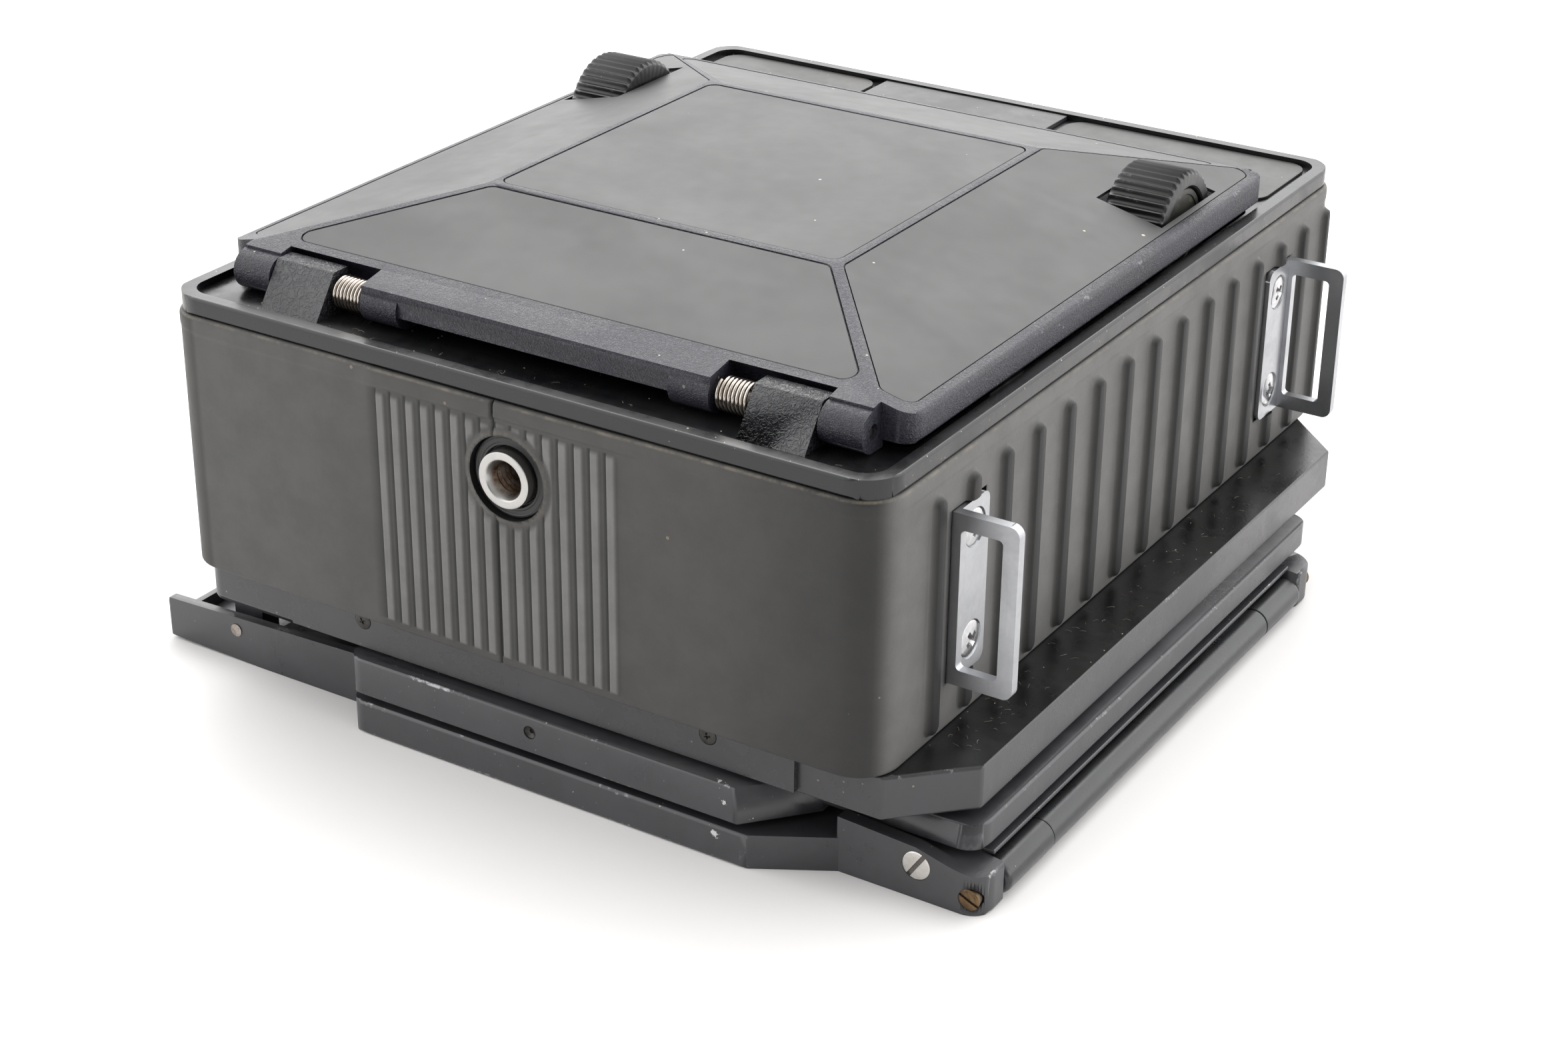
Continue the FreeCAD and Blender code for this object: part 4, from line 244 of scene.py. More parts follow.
class Effects:
    """Shader node groups for wear, dust, slow changes of tone and the grains, each built once."""

    _built: dict[str, NodeTree] = {}

    @classmethod
    def group(cls, name: str) -> NodeTree:
        """Return a group by name, built the first time that it is asked for."""
        if name not in cls._built:
            cls._built[name] = getattr(cls, f"_{name}")()
        return cls._built[name]

    @staticmethod
    def _open(name: str, inputs: dict[str, float], outputs: Sequence[str]) -> tuple[Graph, Node, Node]:
        """Start a group.

        Args:
            name: name of the group.
            inputs: its number inputs with their default values.
            outputs: its number outputs.

        Returns:
            The graph, its input node and its output node.
        """
        tree = bpy.data.node_groups.new(name, "ShaderNodeTree")
        for key, value in inputs.items():
            socket = tree.interface.new_socket(key, in_out="INPUT", socket_type="NodeSocketFloat")
            socket.default_value = value
        for key in outputs:
            tree.interface.new_socket(key, in_out="OUTPUT", socket_type="NodeSocketFloat")
        graph = Graph(tree)
        return graph, graph.add("NodeGroupInput"), graph.add("NodeGroupOutput")

    @classmethod
    def _edge_wear(cls) -> NodeTree:
        """Rubbed paint on the rounded edges, broken up by noise.

        Returns:
            The group.
        """
        graph, given, out = cls._open("edge_wear", {"Amount": 0.3, "Scale": 400}, ["Mask"])
        fine = graph.noise(given.outputs["Scale"], 4, 0.65)
        coarse = graph.noise(graph.times(given.outputs["Scale"], 0.11), 2)
        value = graph.plus(graph.times(fine, 0.55), graph.times(coarse, 0.45))
        level = graph.minus(0.72, graph.times(given.outputs["Amount"], 0.36))
        rubbed = graph.times(graph.minus(value, level), 14, clamp=True)
        graph.feed(out.inputs["Mask"], graph.times(rubbed, graph.mask("edge")))
        return graph.tree

    @classmethod
    def _dust(cls) -> NodeTree:
        """A film on what faces up and in corners, and scattered specks.

        Returns:
            The group.
        """
        graph, given, out = cls._open("dust", {"Film": 0.3, "Specks": 0.3, "Scale": 900}, ["Film", "Specks"])
        up = graph.add("SeparateXYZ", {0: graph.add("TexCoord").outputs["Normal"]}).outputs[2]
        lying = graph.ease(up, 0.2, 0.95)
        cloud = graph.ease(graph.noise(70, 5, 0.65), 0.35, 0.75)
        corner = graph.times(graph.mask("hollow"), 1.4)
        lain = graph.plus(graph.times(lying, cloud), corner)
        film = graph.times(lain, given.outputs["Film"], clamp=True)
        inputs = {"Vector": graph.place(), "Scale": given.outputs["Scale"]}
        cells = graph.add("TexVoronoi", inputs, feature="F1").outputs
        pick = graph.add("SeparateXYZ", {0: cells["Color"]}).outputs
        dot = graph.math("LESS_THAN", cells["Distance"], graph.times(pick[1], 0.17))
        chosen = graph.math("LESS_THAN", pick[0], graph.times(given.outputs["Specks"], 0.3))
        faint = graph.mix(lying, 0.35, 1.0)
        graph.feed(out.inputs["Film"], film)
        graph.feed(out.inputs["Specks"], graph.times(graph.times(dot, chosen), faint))
        return graph.tree

    @classmethod
    def _mottle(cls) -> NodeTree:
        """Slow change of tone over a surface.

        Returns:
            The group.
        """
        graph, given, out = cls._open("mottle", {"Scale": 40}, ["Value"])
        slow = graph.noise(given.outputs["Scale"], 3, 0.6, warp=0.6)
        quick = graph.noise(graph.times(given.outputs["Scale"], 9), 3, 0.6)
        value = graph.plus(graph.times(slow, 0.72), graph.times(quick, 0.28))
        graph.feed(out.inputs["Value"], graph.ease(value, 0.32, 0.68))
        return graph.tree

    @classmethod
    def _peel(cls) -> NodeTree:
        """Soft round bumps of sprayed paint.

        Returns:
            The group.
        """
        graph, given, out = cls._open("peel", {"Scale": 1500}, ["Height"])
        graph.feed(out.inputs["Height"], graph.noise(given.outputs["Scale"], 2, 0.4))
        return graph.tree

    @classmethod
    def _wrinkle(cls) -> NodeTree:
        """Short wormy folds of stoved wrinkle paint.

        Returns:
            The group.
        """
        graph, given, out = cls._open("wrinkle", {"Scale": 1500}, ["Height"])
        base = graph.noise(given.outputs["Scale"], 1.5, 0.5, warp=1.2)
        fold = graph.math("ABSOLUTE", graph.minus(base, 0.5))
        worms = graph.ease(fold, 0.0, 0.16)
        fine = graph.noise(graph.times(given.outputs["Scale"], 3), 2)
        height = graph.plus(graph.times(worms, 0.75), graph.times(fine, 0.35))
        graph.feed(out.inputs["Height"], height)
        return graph.tree

    @classmethod
    def _cast(cls) -> NodeTree:
        """Fine moulded texture of plastic and rubber.

        Returns:
            The group.
        """
        graph, given, out = cls._open("cast", {"Scale": 1500}, ["Height"])
        scale = given.outputs["Scale"]
        cells = graph.add("TexVoronoi", {"Vector": graph.place(), "Scale": scale}, feature="SMOOTH_F1")
        fine = graph.noise(graph.times(scale, 0.6), 3, 0.7)
        height = graph.plus(graph.times(cells.outputs["Distance"], 0.6), graph.times(fine, 0.5))
        graph.feed(out.inputs["Height"], height)
        return graph.tree

    @classmethod
    def _brushed(cls) -> NodeTree:
        """Long fine lines along the height of a piece.

        Returns:
            The group.
        """
        graph, given, out = cls._open("brushed", {"Scale": 1500}, ["Height"])
        lines = graph.add("Mapping", {"Vector": graph.place(), "Scale": (1, 1, 0.03)}).outputs[0]
        graph.feed(out.inputs["Height"], graph.noise(given.outputs["Scale"], 3, 0.6, lines))
        return graph.tree

    @classmethod
    def _leather(cls) -> NodeTree:
        """Pebbled grain of bellows leather with its creases.

        Returns:
            The group.
        """
        graph, given, out = cls._open("leather", {"Scale": 1500}, ["Height"])
        warped = graph.noise(graph.times(given.outputs["Scale"], 0.3), 2)
        inputs = {"Vector": graph.place(), "Scale": given.outputs["Scale"], "Randomness": 0.9}
        cells = graph.add("TexVoronoi", inputs, feature="DISTANCE_TO_EDGE")
        pebble = graph.ease(cells.outputs["Distance"], 0.0, 0.22)
        height = graph.plus(graph.times(pebble, 0.7), graph.times(warped, 0.4))
        graph.feed(out.inputs["Height"], height)
        return graph.tree

    @classmethod
    def _frost(cls) -> NodeTree:
        """Even fine frosting of ground glass and blasted metal.

        Returns:
            The group.
        """
        graph, given, out = cls._open("frost", {"Scale": 1500}, ["Height"])
        graph.feed(out.inputs["Height"], graph.noise(given.outputs["Scale"], 4, 0.8))
        return graph.tree


@dataclass(frozen=True)
class Finish:
    """A finish: its colours, gloss, grain, wear, dirt and the painted shade that metal takes in hollows.
    Lengths are in millimetres.
    """

    name: str
    colour: Colour
    second: Colour
    roughness: float = 0.5
    spread: float = 0.08
    metallic: float = 0.0
    specular: float = 0.5
    mottle: float = 45.0
    grain: Grain = Grain.PEEL
    grain_scale: float = 1500.0
    grain_depth: float = 0.02
    wear: float = 0.0
    wear_scale: float = 420.0
    wear_colour: Colour = (0.34, 0.34, 0.35)
    wear_metal: float = 0.8
    wear_roughness: float = 0.34
    film: float = 0.1
    specks: float = 0.1
    speck_scale: float = 900.0
    dust_colour: Colour = (0.22, 0.20, 0.17)
    speck_colour: Colour = (0.42, 0.38, 0.30)
    # Painted shade: the dark colour that metal finishes take in hollows, inner roundings and screw recesses.
    recess_shade_colour: Colour = (0.05, 0.045, 0.035)

    def start(self) -> tuple[Material, Graph, Node]:
        """Make the material with its shader.

        Returns:
            The material, its graph and its Principled node.
        """
        material = bpy.data.materials.new(self.name)
        material.use_nodes = True
        graph = Graph(material.node_tree)
        shader = graph.add("BsdfPrincipled")
        shader.inputs["Specular IOR Level"].default_value = self.specular
        output = graph.add("OutputMaterial", {"Surface": shader.outputs[0]})
        output.is_active_output = True
        return material, graph, shader

    def effect(self, graph: Graph, name: str, inputs: dict) -> Node:
        """Place an effect in the material.

        Args:
            graph: the material's graph.
            name: name of the effect.
            inputs: this finish's values for it.

        Returns:
            The group's node.
        """
        node = graph.add("Group", node_tree=Effects.group(name))
        for key, value in inputs.items():
            graph.feed(node.inputs[key], value)
        return node

    def ground(self, graph: Graph) -> tuple[NodeSocket, NodeSocket]:
        """Return the bare colour and the tone mask that varies it."""
        tone = self.effect(graph, "mottle", {"Scale": self.mottle}).outputs[0]
        return graph.blend(tone, self.colour, self.second), tone

    def height(self, graph: Graph) -> NodeSocket:
        """Return the height of the grain."""
        return self.effect(graph, self.grain.value, {"Scale": self.grain_scale}).outputs[0]

    def build(self) -> Material:
        """Build the whole material.

        Returns:
            The material.
        """
        material, graph, shader = self.start()
        colour, tone = self.ground(graph)
        rough = graph.plus(graph.times(graph.minus(tone, 0.5), self.spread * 2), self.roughness)
        metal: Feed = self.metallic
        # Painted shade: metal turns dark and loses its shine in hollows, inner roundings and screw recesses.
        if self.metallic > 0.5:
            painted_shade = graph.times(graph.mask("hollow"), 0.85)
            colour = graph.blend(painted_shade, colour, self.recess_shade_colour)
            metal = graph.times(graph.minus(1, painted_shade), self.metallic)
        if self.wear > 0:
            worn = self.effect(graph, "edge_wear", {"Amount": self.wear, "Scale": self.wear_scale}).outputs[0]
            colour = graph.blend(worn, colour, self.wear_colour)
            metal = graph.mix(worn, metal, self.wear_metal)
            rough = graph.mix(worn, rough, self.wear_roughness)
        if self.film > 0 or self.specks > 0:
            inputs = {"Film": self.film, "Specks": self.specks, "Scale": self.speck_scale}
            film, specks = self.effect(graph, "dust", inputs).outputs
            colour = graph.blend(graph.times(film, 0.55), colour, self.dust_colour)
            colour = graph.blend(specks, colour, self.speck_colour)
            rough = graph.plus(rough, graph.times(film, 0.35), clamp=True)
            if self.metallic > 0 or self.wear > 0:
                metal = graph.times(metal, graph.minus(1, specks))
        graph.feed(shader.inputs["Base Color"], colour)
        graph.feed(shader.inputs["Roughness"], rough)
        graph.feed(shader.inputs["Metallic"], metal)
        depth = self.grain_depth / 1000
        bump = graph.add("Bump", {"Height": self.height(graph), "Distance": depth, "Strength": 1.0})
        graph.feed(shader.inputs["Normal"], bump.outputs[0])
        self.extra(graph, shader)
        return material

    def extra(self, graph: Graph, shader: Node) -> None:
        """Add what only a special finish has."""


@dataclass(frozen=True)
class RubberFinish(Finish):
    """Old black rubber gone chalky; its bloom mask also carries painted light and shade."""

    bloom_and_shade: Colour = (0.160, 0.158, 0.153)
    brown: Colour = (0.045, 0.036, 0.032)
    cream: Colour = (0.24, 0.21, 0.16)

    def ground(self, graph: Graph) -> tuple[NodeSocket, NodeSocket]:
        """Turn the rubber chalky by its bloom and painted shade, brown on the ribs and cream where it frays.

        Args:
            graph: the material's graph.

        Returns:
            The rubber's colour and the tone mask.
        """
        base, tone = super().ground(graph)
        cloud = graph.ease(graph.noise(110, 6, 0.66), 0.28, 0.72, 0.80, 1.0)
        # The bloom mask holds chalky bloom and painted light and shade; where it is low the rubber stays
        # dark.
        chalk_and_shade = graph.times(graph.mask("bloom_and_shade"), cloud, clamp=True)
        colour = graph.blend(chalk_and_shade, base, self.bloom_and_shade)
        rust = graph.times(graph.ease(graph.noise(32, 3, 0.6), 0.55, 0.78), graph.mask("relief"))
        colour = graph.blend(graph.times(rust, 0.5), colour, self.brown)
        frayed = graph.times(graph.mask("fray"), graph.ease(graph.noise(260, 5, 0.7), 0.36, 0.7))
        return graph.blend(graph.times(frayed, 0.8), colour, self.cream), tone


@dataclass(frozen=True)
class GlassFinish(Finish):
    """Ground glass: frosted, a little green and mostly clear."""

    clear: float = 0.75
    refraction: float = 1.52

    def extra(self, graph: Graph, shader: Node) -> None:
        """Let light through the glass."""
        shader.inputs["Transmission Weight"].default_value = self.clear
        shader.inputs["IOR"].default_value = self.refraction


@dataclass(frozen=True)
class CapFinish(Finish):
    """Black cap in a knob's recess, with greenish crust from old cleaning wax."""

    crust: Colour = (0.16, 0.17, 0.10)

    def ground(self, graph: Graph) -> tuple[NodeSocket, NodeSocket]:
        """Return the cap's colour with its crust, and the crust's patches as the tone mask."""
        colour, _ = super().ground(graph)
        patch = graph.ease(graph.noise(260, 4, 0.7), 0.52, 0.66)
        return graph.blend(graph.times(patch, 0.8), colour, self.crust), patch


@dataclass(frozen=True)
class TurnedFinish(Finish):
    """Turned steel with brown dirt in its bore, whose axis runs along Y."""

    centre: Point = (0.0, 0.0, 0.0)
    bore: float = 3.6
    dirt: Colour = (0.13, 0.075, 0.04)

    def ground(self, graph: Graph) -> tuple[NodeSocket, NodeSocket]:
        """Stain the steel brown inside its bore.

        Args:
            graph: the material's graph.

        Returns:
            The steel's colour and the tone mask.
        """
        colour, tone = super().ground(graph)
        inputs = {0: graph.place(), 1: tuple(at(*self.centre))}
        away = graph.add("VectorMath", inputs, operation="SUBTRACT").outputs[0]
        parts = graph.add("SeparateXYZ", {0: away}).outputs
        squares = graph.plus(graph.math("POWER", parts[0], 2), graph.math("POWER", parts[2], 2))
        radius = graph.math("SQRT", squares)
        inside = graph.ease(radius, (self.bore - 0.15) / 1000, (self.bore + 0.5) / 1000, 1, 0)
        stain = graph.times(inside, graph.ease(graph.noise(500, 4, 0.7), 0.3, 0.62, 0.35, 1))
        return graph.blend(stain, colour, self.dirt), tone


@dataclass(frozen=True)
class LedgeFinish(Finish):
    """Paint with painted shade on level ledges: faces that point up are blended to near black, and upright
    sides keep the dull paint colour.
    """

    painted_shade: Colour = (0.0015, 0.0015, 0.0018)

    def ground(self, graph: Graph) -> tuple[NodeSocket, NodeSocket]:
        """Return the paint's colour, with painted shade on up-facing ledges, and the tone mask."""
        colour, tone = super().ground(graph)
        up = graph.add("SeparateXYZ", {0: graph.add("TexCoord").outputs["Normal"]}).outputs[2]
        # Painted shade: up-facing faces go near black.
        return graph.blend(graph.ease(up, 0.5, 0.95), colour, self.painted_shade), tone


@dataclass(frozen=True)
class ChippedFinish(Finish):
    """Paint that is knocked off in a few places, down to bright metal."""

    chips: tuple[tuple[Point, float], ...] = ()
    metal: Colour = (0.55, 0.55, 0.55)

    def ground(self, graph: Graph) -> tuple[NodeSocket, NodeSocket]:
        """Knock the paint off round each chip's centre.

        Args:
            graph: the material's graph.

        Returns:
            The paint's colour and the tone mask.
        """
        colour, tone = super().ground(graph)
        ragged = graph.noise(900, 5, 0.75)
        for centre, radius in self.chips:
            inputs = {0: graph.place(), 1: tuple(at(*centre))}
            away = graph.add("VectorMath", inputs, operation="DISTANCE").outputs["Value"]
            near = graph.ease(away, 0.0, radius / 1000, 0.30, 0.0)
            bare = graph.times(graph.minus(graph.plus(ragged, near), 0.70), 30, clamp=True)
            colour = graph.blend(bare, colour, self.metal)
        return colour, tone


PAINT: Colour = (0.010, 0.0105, 0.014)
RUBBER = RubberFinish(
    "rubber_cover", (0.010, 0.0098, 0.0098), (0.016, 0.0156, 0.0153), roughness=0.5, spread=0.06,
    specular=0.22, mottle=26, grain=Grain.CAST, grain_scale=2600, grain_depth=0.03, film=0.06,
    specks=0.10, speck_scale=420, dust_colour=(0.12, 0.115, 0.105), speck_colour=(0.36, 0.30, 0.20))
RIM_PAINT = Finish(
    "front_frame_paint", (0.004, 0.0042, 0.005), (0.006, 0.0063, 0.0075), roughness=0.28,
    spread=0.1, grain_scale=700, grain_depth=0.006, wear=0.22, wear_scale=1300,
    wear_colour=(0.07, 0.074, 0.082), wear_metal=0.1, film=0.04, specks=0.62, speck_scale=760)
LUG_PAINT = Finish(
    "hinge_lug_paint", PAINT, (0.014, 0.0145, 0.018), roughness=0.38, specular=0.6,
    grain=Grain.WRINKLE, grain_scale=900, grain_depth=0.2, wear=0.25, film=0.06, specks=0.12)
BED_PAINT = Finish(
    "bed_paint", (0.012, 0.012, 0.020), (0.018, 0.018, 0.029), roughness=0.4, spread=0.06,
    grain=Grain.WRINKLE, grain_scale=1400, grain_depth=0.11, wear=0.36, wear_scale=900,
    wear_colour=(0.16, 0.16, 0.17), wear_metal=0.35, film=0.08, specks=0.26, speck_scale=520)
PAD = Finish(
    "bed_pad_plastic", (0.021, 0.0208, 0.0205), (0.028, 0.0277, 0.0275), roughness=0.45,
    specular=0.44, spread=0.05, mottle=22, grain=Grain.CAST, grain_scale=4200, grain_depth=0.006,
    film=0.08, specks=0.10, speck_scale=330, dust_colour=(0.13, 0.125, 0.115))
DECK_PAD = Finish(
    "deck_pad_plastic", (0.030, 0.030, 0.029), (0.040, 0.040, 0.038), roughness=0.48,
    grain=Grain.CAST, grain_scale=3500, grain_depth=0.008, film=0.10, specks=0.12)
DECK_PLATE = Finish(
    "deck_plate_paint", (0.022, 0.022, 0.024), (0.030, 0.030, 0.033), roughness=0.4,
    grain_scale=2400, grain_depth=0.01, wear=0.2, film=0.10, specks=0.15)
# The rear frame's paint, with painted shade on its up-facing ledges.
REAR_PAINT = LedgeFinish(
    "rear_frame_paint", (0.028, 0.0282, 0.031), (0.036, 0.0362, 0.040), roughness=0.3, specular=0.6,
    grain_scale=1300, grain_depth=0.022, wear=0.34, wear_scale=1100, wear_colour=(0.17, 0.17, 0.18),
    wear_metal=0.4, film=0.10, specks=0.42, speck_scale=700, dust_colour=(0.11, 0.10, 0.085))
CHIPS: tuple[tuple[Point, float], ...] = (
    ((52.0, 0.3, -9.5), 2.2), ((52.6, 0.3, -14.5), 1.6), ((51.0, 0.2, -22.5), 2.0),
    ((-41.5, 0.3, -6.2), 1.3), ((102.0, 6.0, -6.0), 1.6))
BACK_PAINT = ChippedFinish(
    "back_paint", (0.030, 0.0302, 0.034), (0.039, 0.0392, 0.044), roughness=0.34, specular=0.7,
    grain_scale=1800, grain_depth=0.022, wear=0.40, wear_scale=700, wear_colour=(0.30, 0.30, 0.31),
    wear_metal=0.7, film=0.06, specks=0.12, chips=CHIPS)
CASING_PAINT = Finish(
    "casing_paint", (0.014, 0.014, 0.016), (0.020, 0.020, 0.022), roughness=0.55, grain_scale=1600,
    grain_depth=0.02, wear=0.15, film=0.15, specks=0.1)
LUG_METAL = Finish(
    "strap_lug_metal", (0.43, 0.44, 0.46), (0.37, 0.375, 0.39), roughness=0.36, spread=0.06,
    metallic=1.0, grain=Grain.BRUSHED, grain_scale=2600, grain_depth=0.010, wear=0.5,
    wear_scale=900, wear_colour=(0.70, 0.71, 0.73), wear_metal=1.0, film=0.03, specks=0.03,
    mottle=90)
SCREW_STEEL = Finish(
    "lug_screw_steel", (0.56, 0.56, 0.57), (0.42, 0.42, 0.43), roughness=0.2, spread=0.08,
    metallic=1.0, grain=Grain.BRUSHED, grain_scale=1800, grain_depth=0.004, film=0.0, specks=0.0,
    mottle=500)
BUSH_STEEL = TurnedFinish(
    "tripod_bush_steel", (0.44, 0.435, 0.42), (0.40, 0.395, 0.385), roughness=0.34, spread=0.03,
    metallic=1.0, grain=Grain.FROST, grain_scale=5000, grain_depth=0.002, film=0.0, specks=0.0,
    mottle=160, centre=(SOCKET_X, 0, SOCKET_Z))
BOSS_PAINT = Finish(
    "boss_plate_paint", (0.008, 0.008, 0.0085), (0.014, 0.0135, 0.013), roughness=0.42,
    grain_scale=2200, grain_depth=0.02, wear=0.6, wear_scale=900, wear_colour=(0.12, 0.11, 0.10),
    wear_metal=0.3, film=0.2, specks=0.1)
BLACK_SCREW = Finish(
    "blackened_screw", (0.035, 0.035, 0.033), (0.07, 0.068, 0.062), roughness=0.38, metallic=0.85,
    mottle=700, grain_scale=2500, grain_depth=0.008, wear=0.3, wear_scale=1500, film=0.05, specks=0)
SPRING_NICKEL = Finish(
    "spring_nickel", (0.60, 0.56, 0.51), (0.42, 0.36, 0.31), roughness=0.24, spread=0.08,
    metallic=1.0, grain=Grain.FROST, grain_scale=3000, grain_depth=0.002, film=0.0, specks=0.02,
    mottle=420)
PIN_STEEL = Finish(
    "pin_steel", (0.40, 0.37, 0.35), (0.24, 0.20, 0.17), roughness=0.36, metallic=1.0,
    grain=Grain.FROST, grain_scale=2200, grain_depth=0.01, film=0.1, specks=0.1, mottle=500)
BRIGHT_STEEL = Finish(
    "bright_steel", (0.30, 0.30, 0.30), (0.25, 0.25, 0.25), roughness=0.3, metallic=1.0,
    grain=Grain.BRUSHED, grain_scale=1600, grain_depth=0.006, film=0.05, specks=0.05, mottle=200)
ARM_NICKEL = Finish(
    "arm_screw_nickel", (0.66, 0.64, 0.61), (0.56, 0.53, 0.50), roughness=0.24, spread=0.05,
    metallic=1.0, grain=Grain.FROST, grain_scale=3000, grain_depth=0.003, film=0.0, specks=0.05,
    mottle=600, recess_shade_colour=(0.045, 0.028, 0.02))
ROD_BRASS = Finish(
    "rod_screw_brass", (0.20, 0.13, 0.07), (0.06, 0.042, 0.028), roughness=0.4, metallic=1.0,
    grain=Grain.FROST, grain_scale=1800, grain_depth=0.01, film=0.05, specks=0.1, mottle=420,
    recess_shade_colour=(0.02, 0.014, 0.01))
RACK_BRASS = Finish(
    "rack_brass", (0.56, 0.42, 0.20), (0.46, 0.33, 0.15), roughness=0.34, metallic=1.0,
    grain=Grain.BRUSHED, grain_scale=1500, grain_depth=0.006, film=0.08, specks=0.05, mottle=150)
KNOB_PLASTIC = Finish(
    "knob_plastic", (0.006, 0.006, 0.0068), (0.010, 0.010, 0.011), roughness=0.36, grain_scale=2600,
    grain_depth=0.01, wear=0.4, wear_scale=900, wear_colour=(0.075, 0.08, 0.085), wear_metal=0.0,
    film=0.08, specks=0.2, mottle=150)
CAP_METAL = CapFinish(
    "knob_cap_metal", (0.030, 0.030, 0.028), (0.055, 0.054, 0.046), roughness=0.4, metallic=0.3,
    grain_scale=2000, grain_depth=0.02, film=0.2, specks=0.3, mottle=300)
ROD_PLASTIC = Finish(
    "grip_rod_plastic", (0.022, 0.023, 0.025), (0.032, 0.033, 0.035), roughness=0.3, spread=0.07,
    grain_scale=1500, grain_depth=0.01, film=0.08, specks=0.08, mottle=60)
GLASS = GlassFinish(
    "ground_glass", (0.82, 0.86, 0.84), (0.76, 0.80, 0.78), roughness=0.48, spread=0.03,
    grain=Grain.FROST, grain_scale=6000, grain_depth=0.004, film=0.0, specks=0.0, mottle=60)
BELLOWS_LEATHER = Finish(
    "bellows_leather", (0.018, 0.017, 0.016), (0.030, 0.028, 0.026), roughness=0.6,
    grain=Grain.LEATHER, grain_scale=950, grain_depth=0.05, wear=0.25,
    wear_colour=(0.07, 0.065, 0.06), wear_metal=0.0, film=0.15, specks=0.12)
RAIL_METAL = Finish(
    "rail_metal", (0.150, 0.150, 0.155), (0.130, 0.130, 0.135), roughness=0.36, metallic=1.0,
    grain=Grain.BRUSHED, grain_scale=1400, grain_depth=0.008, wear=0.4, wear_colour=(0.5, 0.5, 0.5),
    wear_metal=1.0, film=0.05, specks=0.08, mottle=30)
STANDARD_PAINT = Finish(
    "standard_paint", (0.020, 0.020, 0.022), (0.028, 0.028, 0.031), roughness=0.42,
    grain=Grain.WRINKLE, grain_scale=1700, grain_depth=0.02, wear=0.25, film=0.1, specks=0.12)
BOARD_METAL = Finish(
    "lens_board_metal", (0.035, 0.035, 0.037), (0.050, 0.050, 0.052), roughness=0.4, metallic=0.6,
    grain_scale=2600, grain_depth=0.008, wear=0.3, film=0.08, specks=0.08)
RING_METAL = Finish(
    "ring_metal", (0.050, 0.050, 0.052), (0.075, 0.075, 0.078), roughness=0.35, metallic=0.8,
    grain=Grain.FROST, grain_scale=3500, grain_depth=0.004, wear=0.4, wear_colour=(0.5, 0.5, 0.5),
    film=0.1, specks=0.1)
SLIDE_METAL = Finish(
    "slide_metal", (0.17, 0.17, 0.175), (0.14, 0.14, 0.145), roughness=0.38, metallic=1.0,
    grain=Grain.BRUSHED, grain_scale=1400, grain_depth=0.006, wear=0.3, wear_colour=(0.6, 0.6, 0.6),
    film=0.08, specks=0.05, mottle=180)
LINT = Finish(
    "ledge_lint_fibre", (0.26, 0.23, 0.18), (0.40, 0.36, 0.30), roughness=0.8, grain=Grain.FROST,
    grain_scale=4000, grain_depth=0.004, film=0, specks=0, mottle=300)
FLOOR_PAPER = Finish(
    "floor_paper", (0.88, 0.865, 0.855), (0.86, 0.845, 0.835), roughness=0.85, grain_scale=900,
    grain_depth=0.02, specular=0.2, mottle=3, film=0, specks=0)


# Meshes


@dataclass(frozen=True)
class Rim:
    """The outer bounds of a part, whose edges get a wider rounding. Lengths are in millimetres.

    With ``fresh``, the other edges are rounded in a fresh bmesh, which keeps the faces in the same
    order in each run. A part that is cut afterwards gets its order from the cut.
    """

    left: float
    right: float
    near: float
    far: float
    width: float = 0.8
    reach: float = 0.5
    segments: int = 4
    fresh: bool = True

    def holds(self, place: Vector) -> bool:
        """Say whether a point in metres lies on the rim."""
        x, y, _ = design(place)
        sideways = x < self.left + self.reach or x > self.right - self.reach
        return sideways or y < self.near + self.reach or y > self.far - self.reach


